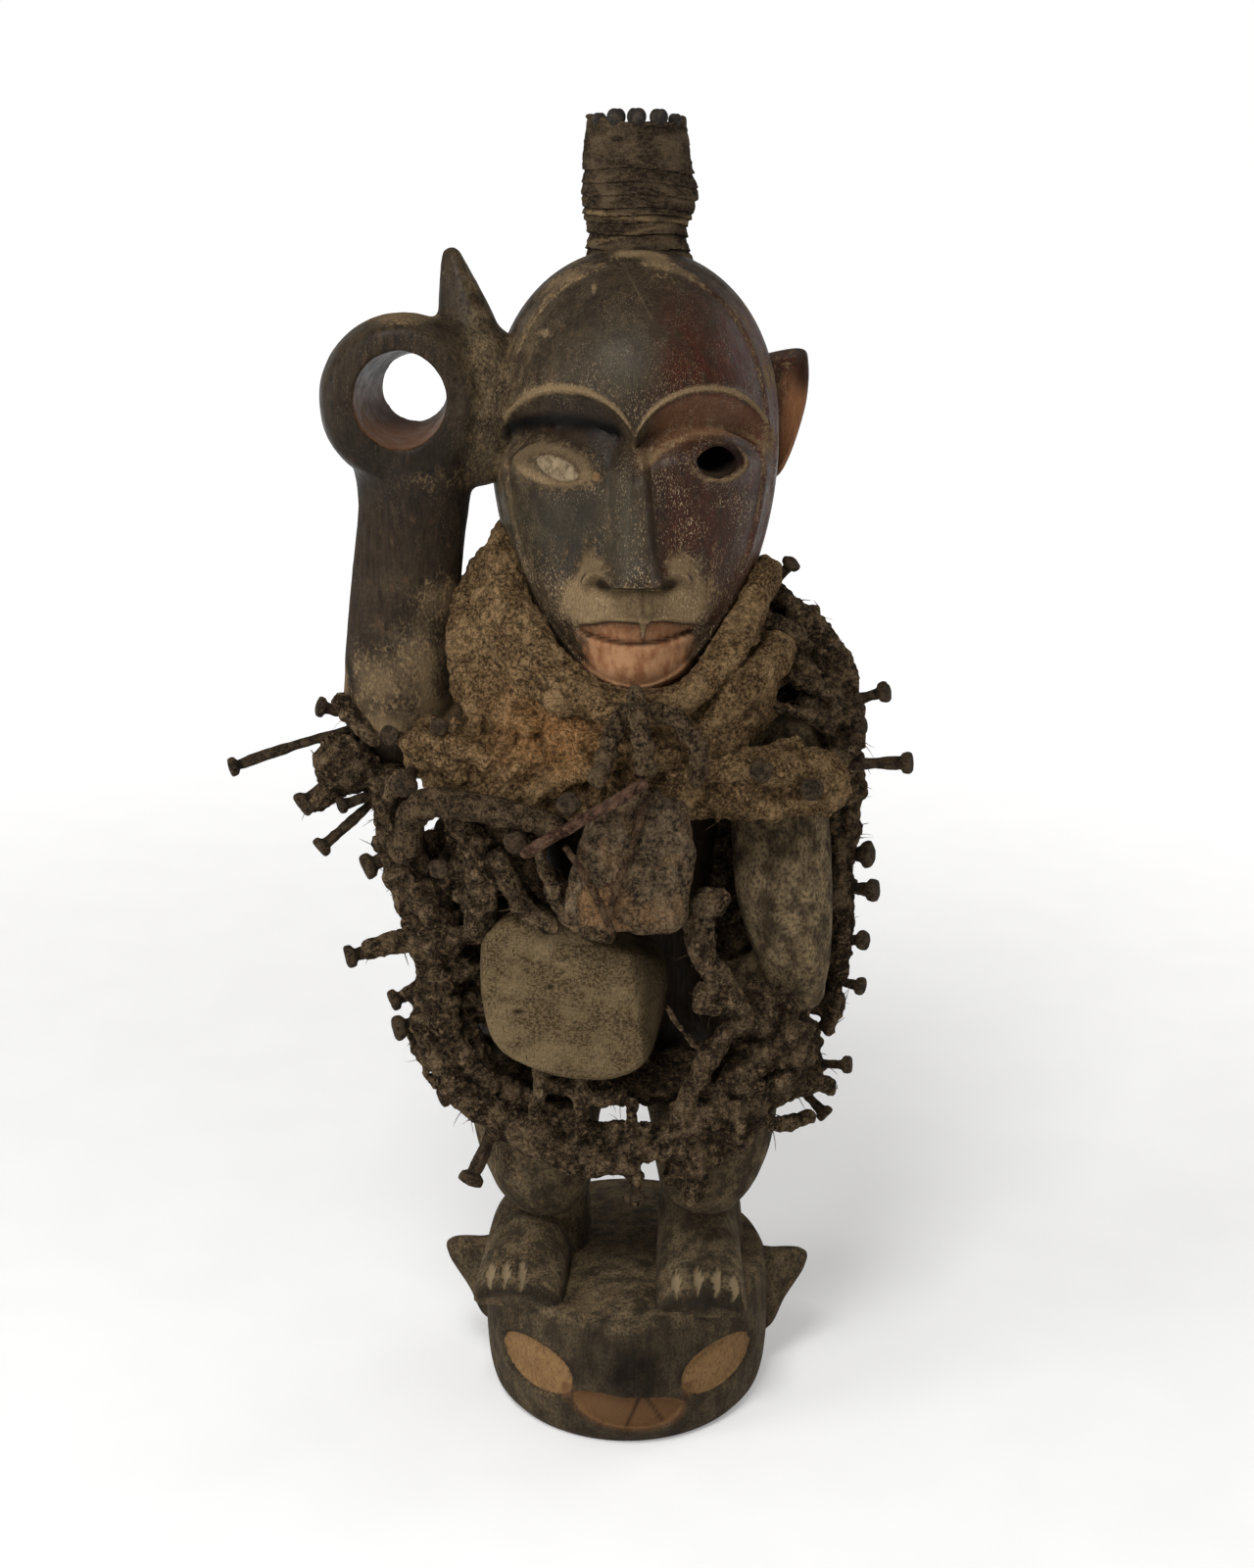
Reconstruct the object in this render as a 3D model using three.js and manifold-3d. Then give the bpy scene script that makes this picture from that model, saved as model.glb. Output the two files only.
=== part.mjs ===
// A standing power figure: one carved wooden body on a plinth shaped as a beast's head, dressed with
// rag and resin wads, a medicine packet, a belly box, a wrapped crown bundle and driven iron nails.
// Millimetres, +Z up, the face looks along -Y, and the origin is the middle of the plinth's underside.
import * as THREE from "three";
import { mergeVertices } from "three/addons/utils/BufferGeometryUtils.js";
import Module from "manifold-3d";

const wasm = await Module();
wasm.setup();

// Driving sizes. FIGURE_HEIGHT runs from the top of the plinth to the top of the head bundle.
const FIGURE_HEIGHT = 555;
const PLINTH_HEIGHT = 66;
const PLINTH_WIDTH = 142;
const PLINTH_DEPTH = 182;
const FIGURE_SET_BACK = 5;
const FIST_BORE_WIDTH = 43;
const FIST_BORE_HEIGHT = 48;
const FIST_BORE_BACK = 31;
const CROWN_WIDTH = 50;
const CROWN_DEPTH = 46;
const BELLY_BOX_WIDTH = 88;
const BELLY_BOX_HEIGHT = 84;
const BELLY_BOX_DEPTH = 44;
const PACKET_WIDTH = 58;
const PACKET_HEIGHT = 68;
const PACKET_DEPTH = 15;
const PACKET_LAP = 11;
const PACKET_STANDOFF = 2;
const NAIL_SHAFT = 5.6;
const NAIL_HEAD = 9.4;
const NAIL_HEAD_HEIGHT = 5;
const EYE_WIDTH = 17;
const EYE_HEIGHT = 11;
const EYE_DEPTH = 6;
const STRAND_WIDTH = 11;
const TWIG_WIDTH = 6;
const CROWN_BEAD = 8.6;
const CROWN_BEADS = 5;

// Pieces that touch keep this gap between their faces.
const GAP = 0.3;

// The free forms are drawn for a figure of 555 on a plinth of 66, and follow FIGURE_HEIGHT from there.
const DRAWN_HEIGHT = 555;
const DRAWN_PLINTH = 66;
const UNIT = FIGURE_HEIGHT / DRAWN_HEIGHT;

// Facets: how many sides and steps the faceted solids have.
const HEAD_FACETS = { front: 22, back: 6, rows: 26 };
const PLINTH_FRONT_COLUMNS = 20;
const PLINTH_BACK_COLUMNS = 6;
const LIMB_SIDES = 10;
const WAD_SIDES = 6;
const NAIL_SIDES = 5;
const BALL_SIDES = 9;

// The turn at which the one narrower ring of a swept form's rounded end stands.
const END_TURN = Math.PI * 0.28;

const wood = new THREE.MeshStandardMaterial({ color: 0x2a211b, roughness: 0.45, metalness: 0 });
const resin = new THREE.MeshStandardMaterial({ color: 0x5a4632, roughness: 0.95, metalness: 0 });
const rag = new THREE.MeshStandardMaterial({ color: 0x3b2e22, roughness: 1, metalness: 0 });
const iron = new THREE.MeshStandardMaterial({ color: 0x23211f, roughness: 0.7, metalness: 0.6 });
const clay = new THREE.MeshStandardMaterial({ color: 0x6b5c45, roughness: 0.95, metalness: 0 });
const shell = new THREE.MeshStandardMaterial({ color: 0x8d8468, roughness: 0.4, metalness: 0 });
const twigBark = new THREE.MeshStandardMaterial({ color: 0x5c3626, roughness: 0.85, metalness: 0 });

/** A drawn point in the part's own millimetres. */
function at(x, y, z) {
  return new THREE.Vector3(x * UNIT, FIGURE_SET_BACK + y * UNIT, PLINTH_HEIGHT + (z - DRAWN_PLINTH) * UNIT);
}

/** 0 below low, 1 above high, and smooth between; low may be the larger of the two. */
function smooth(low, high, value) {
  const share = Math.min(1, Math.max(0, (value - low) / (high - low)));
  return share * share * (3 - 2 * share);
}

/** A bell curve of height 1, from the square of the distance to its top. */
function bell(squared) {
  return Math.exp(-squared);
}

/** A smooth curve through [place, value] knots, as a function of the place. */
function profile(knots) {
  const slope = knots.map((_, i) => {
    const before = knots[Math.max(0, i - 1)];
    const after = knots[Math.min(knots.length - 1, i + 1)];
    return (after[1] - before[1]) / (after[0] - before[0]);
  });
  return (place) => {
    let i = 0;
    while (i < knots.length - 2 && place > knots[i + 1][0]) i += 1;
    const span = knots[i + 1][0] - knots[i][0];
    const t = Math.min(1, Math.max(0, (place - knots[i][0]) / span));
    const rise = knots[i + 1][1] - knots[i][1];
    const bend = t * (1 - t) * ((1 - t) * (slope[i] * span - rise) + t * (rise - slope[i + 1] * span));
    return knots[i][1] + t * rise + bend;
  };
}

/** The closed solid whose skin runs through rings of points, with a fan over each end ring. */
function solidThrough(rings, closed = false) {
  const sides = rings[0].length;
  const positions = rings.flat().flatMap((p) => [p.x, p.y, p.z]);
  const index = [];
  const bands = closed ? rings.length : rings.length - 1;
  for (let i = 0; i < bands; i += 1) {
    const next = (i + 1) % rings.length;
    for (let j = 0; j < sides; j += 1) {
      const k = (j + 1) % sides;
      const corner = i * sides + j;
      const beside = i * sides + k;
      index.push(corner, beside, next * sides + k);
      index.push(corner, next * sides + k, next * sides + j);
    }
  }
  if (!closed) {
    for (const end of [0, rings.length - 1]) {
      const middle = new THREE.Vector3();
      rings[end].forEach((p) => middle.addScaledVector(p, 1 / sides));
      const centre = positions.length / 3;
      positions.push(middle.x, middle.y, middle.z);
      for (let j = 0; j < sides; j += 1) {
        const k = (j + 1) % sides;
        const pair = end === 0 ? [k, j] : [end * sides + j, end * sides + k];
        index.push(centre, ...pair);
      }
    }
  }
  const geometry = new THREE.BufferGeometry();
  geometry.setAttribute("position", new THREE.Float32BufferAttribute(positions, 3));
  geometry.setIndex(index);
  return solidOf(geometry);
}

/** A closed geometry as a solid with its faces pointing out. */
function solidOf(geometry) {
  const bare = geometry.clone();
  bare.deleteAttribute("normal");
  bare.deleteAttribute("uv");
  const merged = mergeVertices(bare, 1e-4);
  const points = merged.attributes.position.array;
  const corners = new Uint32Array(merged.index.array);
  if (signedVolume(points, corners) < 0) corners.reverse();
  const mesh = new wasm.Mesh({ numProp: 3, vertProperties: points, triVerts: corners });
  return new wasm.Manifold(mesh);
}

/** The volume inside a triangle mesh, negative where its faces point inwards. */
function signedVolume(points, corners) {
  const [a, b, c] = [new THREE.Vector3(), new THREE.Vector3(), new THREE.Vector3()];
  let total = 0;
  for (let i = 0; i < corners.length; i += 3) {
    a.fromArray(points, corners[i] * 3);
    b.fromArray(points, corners[i + 1] * 3);
    c.fromArray(points, corners[i + 2] * 3);
    total += a.dot(b.cross(c)) / 6;
  }
  return total;
}

/** Rings of an oval section carried along a smooth path of drawn points.
    stops are {p: [x, y, z], a, b}: b is the half size along the reference, a across it. */
function sweptRings(stops, { steps, sides, reference = [0, 1, 0], round = 1, closed = false, grow = 0 }) {
  const path = new THREE.CatmullRomCurve3(stops.map((s) => at(...s.p)), closed, "catmullrom", 0.5);
  const sizes = new THREE.CatmullRomCurve3(
    stops.map((s) => new THREE.Vector3(s.a * UNIT + grow, (s.b ?? s.a) * UNIT + grow, 0)),
    closed,
    "catmullrom",
    0.5,
  );
  const along = new THREE.Vector3(...reference);
  const ring = (t, shrink, shift) => {
    const centre = path.getPoint(t);
    const tangent = path.getTangent(t);
    const size = sizes.getPoint(t);
    const across = new THREE.Vector3().crossVectors(along, tangent).normalize();
    const up = new THREE.Vector3().crossVectors(tangent, across);
    centre.addScaledVector(tangent, shift * Math.min(size.x, size.y) * round);
    return Array.from({ length: sides }, (_, j) => {
      const turn = (2 * Math.PI * j) / sides;
      return centre
        .clone()
        .addScaledVector(across, Math.cos(turn) * size.x * shrink)
        .addScaledVector(up, Math.sin(turn) * size.y * shrink);
    });
  };
  const count = closed ? steps : steps + 1;
  const rings = Array.from({ length: count }, (_, i) => ring(i / steps, 1, 0));
  if (closed) return rings;
  rings.unshift(ring(0, Math.cos(END_TURN), -Math.sin(END_TURN)));
  rings.push(ring(1, Math.cos(END_TURN), Math.sin(END_TURN)));
  return rings;
}

/** A limb, roll or wad: an oval section swept along a path, with rounded ends. */
function swept(stops, options) {
  return solidThrough(sweptRings(stops, options), options.closed);
}

/** An oval stop for a swept form. */
function stop(x, y, z, a, b = a) {
  return { p: [x, y, z], a, b };
}

/** A ball of three half sizes round a drawn point. */
function ball([x, y, z], [a, b, c], grow) {
  const geometry = new THREE.SphereGeometry(1, BALL_SIDES, 5);
  geometry.scale(a * UNIT + grow, b * UNIT + grow, c * UNIT + grow);
  geometry.translate(...at(x, y, z).toArray());
  return solidOf(geometry);
}

/** Several solids joined into one. */
function joined(solids) {
  return solids.reduce((whole, next) => whole.add(next));
}

/** The largest body of a solid that cutting may have parted. */
function largest(solid) {
  const bodies = solid.decompose();
  return bodies.reduce((best, next) => (next.volume() > best.volume() ? next : best));
}

// The head. Its front outline is an egg that is widest at the eyes.
const HEAD_MIDDLE_X = 3.5;
const EGG_LEVEL = 475;
const EGG_HALF_WIDTH = 64;
const EGG_ABOVE = 86;
const EGG_SQUARENESS = 2.35;
const EGG_BELOW = 113;
const CHIN_LEVEL = 363;
const HEAD_TOP_LEVEL = 560.5;
const headFront = profile([
  [362, -74], [371, -83], [388, -87], [421, -90], [474, -95], [505, -94], [528, -84], [548, -64],
  [561, -38],
]);
const headWidest = profile([[362, -60], [390, -42], [430, -28], [480, -24], [561, -26]]);
const headBack = profile([
  [362, -46], [380, -26], [405, 4], [435, 26], [475, 42], [510, 42], [540, 24], [561, -12],
]);
const BROW_LEVEL = 473;
const BROW_RISE = 29;
const LEFT_EYE = { x: -32, z: 471 };
const RIGHT_EYE = { x: 38, z: 472 };

/** The head's half width at a height, from the egg outline. */
function headHalfWidth(z) {
  if (z > EGG_LEVEL) {
    return EGG_HALF_WIDTH * Math.sqrt(Math.max(0, 1 - ((z - EGG_LEVEL) / EGG_ABOVE) ** EGG_SQUARENESS));
  }
  return EGG_HALF_WIDTH * Math.max(0, 1 - ((EGG_LEVEL - z) / EGG_BELOW) ** 2) ** 0.58;
}

/** How near a point of the front is to the egg outline: 0 at the middle and 1 on the outline. */
function eggShare(x, z) {
  if (z > EGG_LEVEL) return (x / EGG_HALF_WIDTH) ** 2 + ((z - EGG_LEVEL) / EGG_ABOVE) ** EGG_SQUARENESS;
  return Math.abs(x / EGG_HALF_WIDTH) ** 1.72 + ((EGG_LEVEL - z) / EGG_BELOW) ** 2;
}

/** The share of its height that the brow's arch has at a distance from the middle of the face. */
function browArch(side) {
  return Math.sqrt(Math.max(0, 1 - ((side - 30) / 31.5) ** 2));
}

/** How far the carving of the face stands out of the plain egg, at x from its middle and height z. */
function faceRelief(x, z) {
  const side = Math.abs(x);
  const arch = browArch(side);
  const brow = BROW_LEVEL + BROW_RISE * arch;
  const crease = BROW_LEVEL + 13 * arch;
  const within = smooth(63, 55, side);
  let out = 0;
  const down = (brow - z) / Math.max(1, brow - crease);
  if (down > 0 && down < 1) out -= 8.5 * down ** 0.7 * within;
  if (z <= crease) out -= 6 * smooth(24, 0, crease - z) * within;
  out += 1.2 * bell(((z - brow - 1.5) / 2.2) ** 2) * within * smooth(0, 0.2, arch);
  out += noseRelief(side, z);
  out += 4.5 * bell((x / 34) ** 2 + ((z - 406) / 20) ** 2);
  out += mouthRelief(x, z);
  for (const eye of [LEFT_EYE, RIGHT_EYE]) {
    const reach = ((x - eye.x) / 23) ** 2 + ((z - eye.z) / 9) ** 2;
    out += 4 * Math.max(0, 1 - reach) + 2 * bell(((Math.sqrt(reach) - 1) / 0.2) ** 2);
  }
  return out;
}

/** The nose: a flat-topped wedge that widens and rises to its tip, with a wing on each side. */
function noseRelief(side, z) {
  const fall = Math.min(1, Math.max(0, (477 - z) / 57));
  const halfWidth = 4.5 + 3.5 * fall;
  const height = 7 + 12 * fall;
  const wedge = height * smooth(halfWidth + 4 + 5 * fall, halfWidth, side);
  const ends = smooth(417.5, 421, z) * smooth(482, 474, z);
  const wings = 6 * bell(((side - 14) / 6.5) ** 2 + ((z - 425) / 6) ** 2) * smooth(416, 420, z);
  return wedge * ends + wings;
}

/** The mouth: parted lips with a strip of the upper lip hanging over the opening, and a full chin. */
function mouthRelief(x, z) {
  const share = Math.min(1, Math.abs(x) / 27);
  const upper = 400 - 2 * share ** 2;
  const lower = 388 + 6 * share ** 2;
  const open = smooth(lower - 1.5, lower + 1.5, z) * smooth(upper + 1.5, upper - 1.5, z);
  const opening = -6.5 * open * smooth(1, 0.8, share);
  const strip = 5 * bell((x / 2.4) ** 4) * smooth(389, 394, z) * smooth(417, 410, z);
  const chin = 5 * bell((x / 21) ** 2 + ((z - 380) / 8.5) ** 2);
  const lip = 1.6 * bell(((z - upper - 3) / 2.5) ** 2) * smooth(1, 0.7, share);
  return opening + strip + chin + lip;
}

/** The step from the face up to the skull cap that frames it. */
function capStep(x, z) {
  return 2.2 * smooth(0.83, 0.9, eggShare(x, z));
}

/** One point of the head's skin, at a turn from the front and a drawn height. */
function headPoint(turn, z, grow) {
  const width = Math.max(7, headHalfWidth(z));
  const wide = headWidest(z);
  const reach = Math.cos(turn) > 0 ? wide - headFront(z) : headBack(z) - wide;
  const x = width * Math.sin(turn);
  const y = wide - reach * Math.cos(turn);
  const normal = new THREE.Vector2(Math.sin(turn) / width, -Math.cos(turn) / reach).normalize();
  const front = smooth(0, 0.25, Math.cos(turn));
  const out = front * faceRelief(x, z) + (front > 0 ? capStep(x, z) : 2.2) + grow / UNIT;
  return at(HEAD_MIDDLE_X + x + normal.x * out, y + normal.y * out, z);
}

/** The turns of the head's columns, closer together over the face. */
function headTurns({ front, back }) {
  const half = Math.PI / 2;
  const ahead = Array.from({ length: front }, (_, i) => {
    const share = (2 * (i + 0.5)) / front - 1;
    return half * (0.55 * share + 0.45 * share ** 3);
  });
  const behind = Array.from({ length: back }, (_, i) => half + (Math.PI * (i + 0.5)) / back);
  return [...ahead, ...behind];
}

/** The head's solid, from the chin to the crown, with rows that bend to follow the brow. */
function head(grow = 0) {
  const level = profile([[0, CHIN_LEVEL], [0.33, 422], [0.42, 450], [0.72, 506], [1, HEAD_TOP_LEVEL]]);
  const follow = profile([[438, 0], [473, 1], [500, 0.75], [545, 0]]);
  const turns = headTurns(HEAD_FACETS);
  const rings = Array.from({ length: HEAD_FACETS.rows + 1 }, (_, i) => {
    const z = level(i / HEAD_FACETS.rows);
    const share = z > 438 && z < 545 ? Math.max(0, follow(z)) : 0;
    return turns.map((turn) => {
      const arch = Math.cos(turn) > 0 ? browArch(Math.abs(EGG_HALF_WIDTH * Math.sin(turn))) : 0;
      return headPoint(turn, z + BROW_RISE * arch * share, grow);
    });
  });
  return solidThrough(rings);
}

/** An ear of the head: a flap that stands out at the side and narrows downwards. side is 1 or -1. */
function headEar(side) {
  const x = (value) => HEAD_MIDDLE_X + side * value;
  const outline = [[54, 509], [77, 512], [80, 504], [79, 486], [71, 458], [64, 452], [54, 456]];
  const front = outline.map(([u, z]) => at(x(u), -7 - (u - 52) * 0.12, z));
  const back = outline.map(([u, z]) => at(x(u), 8 - (u - 52) * 0.2, z));
  return solidThrough([front, back]);
}

/** The trunk: chest, waist and hips, with the neck above. */
function trunk(grow = 0) {
  const body = [
    stop(-2, 4, 168, 40, 32),
    stop(-2, 2, 200, 45, 38),
    stop(-2, 0, 250, 42, 38),
    stop(-1, 0, 300, 48, 36),
    stop(0, -2, 345, 56, 32),
    stop(1, -6, 366, 38, 28),
    stop(2, -16, 392, 29, 27),
    stop(2, -20, 420, 27, 27),
  ];
  return swept(body, { steps: 8, sides: LIMB_SIDES, round: 0.2, grow });
}

/** The raised arm: out from the shoulder, bent at the elbow and up to the fist. */
function raisedArm(grow = 0) {
  const arm = [
    stop(-38, -4, 342, 22, 22),
    stop(-76, -12, 334, 22, 22),
    stop(-106, -22, 340, 25, 24),
    stop(-106, -28, 366, 26.5, 25),
    stop(-103, -31, 406, 25.5, 25),
    stop(-98, -36, 446, 25.5, 25),
    stop(-97, -41, 474, 30, 26),
  ];
  return swept(arm, { steps: 9, sides: LIMB_SIDES, round: 0.5, grow });
}

/** The fist: a drum across the arm that the bore goes through, with a web that carries it to the head. */
function fist(grow = 0) {
  const drum = [
    stop(-101, -64, 494, 32, 34),
    stop(-101.5, -56, 494.5, 36.5, 37.5),
    stop(-101, -42, 495, 38, 38.5),
    stop(-100, -26, 495, 36, 36.5),
    stop(-99, -18, 495, 31, 32),
  ];
  const web = [
    stop(-84, -42, 493, 24, 38),
    stop(-64, -36, 491, 20, 37),
    stop(-50, -32, 490, 18, 30),
  ];
  return joined([
    swept(drum, { steps: 4, sides: 14, reference: [0, 0, 1], round: 0.2, grow }),
    swept(web, { steps: 2, sides: 8, reference: [0, 0, 1], round: 0.2, grow }),
    thumb(grow),
  ]);
}

/** The raised thumb, upright and pointed. */
function thumb(grow = 0) {
  const stops = [
    stop(-70, -34, 506, 20, 18),
    stop(-73, -34, 528, 13.5, 13),
    stop(-77, -32, 546, 8.5, 9),
    stop(-79.5, -30, 558, 4.6, 5),
  ];
  return swept(stops, { steps: 4, sides: 8, round: 0.8, grow });
}

/** The hole through the fist, an oval wider at the front, that once held a blade. */
function fistBore() {
  const front = stop(-104, -78, 487, FIST_BORE_WIDTH / 2, FIST_BORE_HEIGHT / 2);
  const middle = stop(-98, -40, 497, FIST_BORE_WIDTH * 0.46, FIST_BORE_HEIGHT * 0.43);
  const back = stop(-93, -2, 506, FIST_BORE_BACK / 2);
  return swept([front, middle, back], { steps: 3, sides: 14, reference: [0, 0, 1], round: 0.1 });
}

/** A round rod between two points, with its own half width at each end. */
function rod(from, to, fromRadius, toRadius, sides) {
  const length = from.distanceTo(to);
  const geometry = new THREE.CylinderGeometry(toRadius, fromRadius, length, sides);
  const along = to.clone().sub(from).normalize();
  geometry.applyQuaternion(new THREE.Quaternion().setFromUnitVectors(new THREE.Vector3(0, 1, 0), along));
  geometry.translate(...from.clone().lerp(to, 0.5).toArray());
  return solidOf(geometry);
}

/** The lowered arm: it hangs to a rounded elbow, and the forearm turns back to the hip. */
function loweredArm(grow = 0) {
  const upper = [
    stop(46, -6, 348, 24, 22),
    stop(66, -18, 330, 25, 22),
    stop(72, -32, 298, 23.5, 22),
    stop(75, -38, 262, 23, 22),
    stop(80, -40, 228, 17.5, 18),
    stop(83, -39, 213, 12.5, 13),
  ];
  const fore = [
    stop(78, -30, 226, 14, 14),
    stop(62, -14, 208, 14, 14),
    stop(38, -4, 196, 15, 15),
  ];
  return joined([
    swept(upper, { steps: 8, sides: LIMB_SIDES, round: 0.9, grow }),
    swept(fore, { steps: 2, sides: 8, round: 0.4, grow }),
  ]);
}

/** A leg: a heavy thigh and a swelling knee over a narrow ankle. side is 1 or -1. */
function leg(side, grow = 0) {
  const wide = side > 0 ? 1 : 1.06;
  const x = (value) => side * value * wide;
  const stops = [
    stop(x(26), 2, 196, 28, 26),
    stop(x(38), -6, 172, 31, 28),
    stop(x(42), -20, 146, 28, 28),
    stop(x(39.5), -26, 122, 24, 26),
    stop(x(36.5), -16, 104, 19.5, 20),
    stop(x(36.5), -8, 86, 21, 21),
    stop(x(37), -6, 64, 22, 22),
  ];
  return swept(stops, { steps: 7, sides: LIMB_SIDES, round: 0.1, grow });
}

/** A foot: a low wedge from the ankle to blunt toes parted by cuts. side is 1 or -1. */
function foot(side) {
  const heel = 14;
  const toe = side > 0 ? -84 : -78;
  const middle = side > 0 ? 35.5 : -45;
  const swing = side > 0 ? 0 : -8;
  const halfWidth = profile([[0, 15], [0.2, 20], [0.6, 21.5], [0.9, 22], [1, 20]]);
  const height = profile([[0, 24], [0.3, 36], [0.5, 31], [0.75, 19], [0.93, 12.5], [1, 7]]);
  const stations = [0, 0.25, 0.45, 0.65, 0.85, 1];
  const rings = stations.map((share) => {
    const y = heel + (toe - heel) * share;
    return Array.from({ length: 9 }, (_, j) => {
      const turn = (Math.PI * j) / 8;
      const bulge = Math.max(0, Math.sin(turn)) ** 0.7;
      const x = middle + swing * share + halfWidth(share) * Math.cos(turn);
      const skew = side < 0 ? 10 * share * Math.max(0, -Math.cos(turn)) : 0;
      return at(x, y + skew, DRAWN_PLINTH - 3 + (height(share) + 3) * bulge);
    });
  });
  const cuts = [-0.5, 0, 0.5].map((share) => {
    const x = middle + swing + share * 40 * 0.55;
    return rod(at(x, toe - 3, 68), at(x, toe + 16, 86), 2.4 * UNIT, 0.6 * UNIT, 4);
  });
  return cuts.reduce((whole, cut) => whole.subtract(cut), solidThrough(rings));
}

/** The plinth's plan: the share of the full size that it has at a share of its height. */
const plinthSwell = profile([[0, 0.9], [0.08, 0.955], [0.3, 0.99], [0.62, 1], [0.92, 0.985], [1, 0.95]]);
const PLINTH_EYE = { turn: 0.62, level: 0.56, wide: 0.27, high: 0.2 };

/** How far the plinth's beast face stands out, as shares of the plinth's depth. */
function beastRelief(turn, level) {
  const side = Math.abs(turn);
  const snout = 0.045 * bell((turn / 0.34) ** 2 + ((level - 0.45) / 0.3) ** 2);
  const tilt = level - PLINTH_EYE.level - 0.55 * (side - PLINTH_EYE.turn);
  const eye = ((side - PLINTH_EYE.turn) / PLINTH_EYE.wide) ** 2 + (tilt / PLINTH_EYE.high) ** 2;
  const socket = -0.028 * smooth(1.25, 0.85, eye);
  const lid = 0.012 * bell(((Math.sqrt(eye) - 1.2) / 0.18) ** 2);
  const mouth = (turn / 0.42) ** 2 + ((level - 0.3) / 0.15) ** 2;
  const lips = -0.03 * smooth(1.2, 0.8, mouth) + 0.012 * bell(((Math.sqrt(mouth) - 1.2) / 0.2) ** 2);
  return snout + socket + lid + lips;
}

/** The plinth: an oval block carved as a beast's head, flat below, with a hump between the feet. */
function plinth() {
  const levels = [0, 0.1, 0.22, 0.36, 0.48, 0.62, 0.78, 0.92, 1];
  const [ahead, behind] = [PLINTH_FRONT_COLUMNS, PLINTH_BACK_COLUMNS];
  const front = Array.from({ length: ahead }, (_, i) => ((2 * i + 1) / ahead - 1) * (Math.PI / 2));
  const back = Array.from({ length: behind }, (_, i) => Math.PI / 2 + (Math.PI * (i + 0.5)) / behind);
  const rings = levels.map((level) => [...front, ...back].map((turn) => {
    const swell = plinthSwell(level);
    const relief = Math.cos(turn) > 0 ? beastRelief(turn, level) : 0;
    const x = (PLINTH_WIDTH / 2) * (swell + relief) * Math.sin(turn);
    const y = -(PLINTH_DEPTH / 2) * (swell + relief) * Math.cos(turn);
    return new THREE.Vector3(x, y, PLINTH_HEIGHT * level);
  }));
  return joined([solidThrough(rings), plinthHump(), plinthEar(1), plinthEar(-1)]);
}

/** The low ridge of the beast's forehead, between the figure's feet. */
function plinthHump() {
  const [long, wide] = [PLINTH_DEPTH / 2, PLINTH_WIDTH / 2];
  const geometry = new THREE.SphereGeometry(1, 12, 6);
  geometry.scale(wide * 0.34, long * 0.86, PLINTH_HEIGHT * 0.3);
  geometry.translate(-2, 0, PLINTH_HEIGHT * 0.77);
  return solidOf(geometry);
}

/** An ear of the plinth's beast: a pointed flap level with the plinth's top. side is 1 or -1. */
function plinthEar(side) {
  const half = PLINTH_WIDTH / 2;
  const outline = [[-14, 0.98], [4, 1.03], [18, 1.03], [19, 0.93], [9, 0.68], [1, 0.45], [-14, 0.4]];
  const drop = side > 0 ? 0.09 : 0;
  const face = (y, thin) => outline.map(([out, level]) => new THREE.Vector3(
    side * (half + out),
    y + out * thin,
    PLINTH_HEIGHT * (level - drop),
  ));
  return solidThrough([face(-10, 0.3), face(10, -0.1)]);
}

/** A flat-fronted block along Y with softened edges, from its outline in X and Z. */
function block(outline, front, back, bevel) {
  const shape = new THREE.Shape(outline.map(([x, z]) => new THREE.Vector2(x, z)));
  const geometry = new THREE.ExtrudeGeometry(shape, {
    depth: back - front - 2 * bevel,
    bevelSize: bevel,
    bevelOffset: -bevel,
    bevelThickness: bevel,
    bevelSegments: 1,
    steps: 1,
  });
  geometry.rotateX(Math.PI / 2);
  geometry.translate(0, back - bevel, 0);
  return solidOf(geometry);
}

/** The oval plug of the eye's inlay, square to the cheek's slope, or its seat when grown. */
function eyePlug(grow) {
  const seat = at(HEAD_MIDDLE_X + LEFT_EYE.x + 1.5, -82, LEFT_EYE.z);
  const out = new THREE.Vector3(-0.4, -1, 0.02).normalize();
  const across = new THREE.Vector3(0, 0, 1).cross(out).normalize();
  const up = new THREE.Vector3().crossVectors(out, across);
  const rings = [-EYE_DEPTH / 2 - grow, EYE_DEPTH / 2, EYE_DEPTH * 0.75 + grow].map((deep, i) => {
    const size = i === 2 ? 0.6 : 1;
    return Array.from({ length: 10 }, (_, j) => {
      const turn = (2 * Math.PI * j) / 10;
      return seat
        .clone()
        .addScaledVector(out, deep)
        .addScaledVector(across, (EYE_WIDTH / 2 + grow) * size * Math.cos(turn))
        .addScaledVector(up, (EYE_HEIGHT / 2 + grow) * size * Math.sin(turn));
    });
  });
  return solidThrough(rings);
}

/** The empty socket of the other eye. */
function eyeSocket() {
  const from = at(HEAD_MIDDLE_X + RIGHT_EYE.x - 2, -96, RIGHT_EYE.z);
  const to = at(HEAD_MIDDLE_X + RIGHT_EYE.x - 5, -66, RIGHT_EYE.z);
  return rod(from, to, EYE_WIDTH * 0.46, EYE_WIDTH * 0.42, 12);
}

/** The whole carved figure, before the nails are driven in. */
function carving() {
  const whole = joined([
    plinth(), foot(1), foot(-1), leg(1), leg(-1), trunk(), raisedArm(), fist(), loweredArm(),
    head(), headEar(1), headEar(-1),
  ]);
  return whole.subtract(fistBore()).subtract(eyeSocket()).subtract(eyePlug(GAP));
}

/** The carving's forms grown by the gap, that the wads are cut by. */
function carvingReach() {
  return [
    trunk(GAP), raisedArm(GAP), fist(GAP), loweredArm(GAP), leg(1, GAP), leg(-1, GAP),
    head(GAP),
  ];
}

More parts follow.
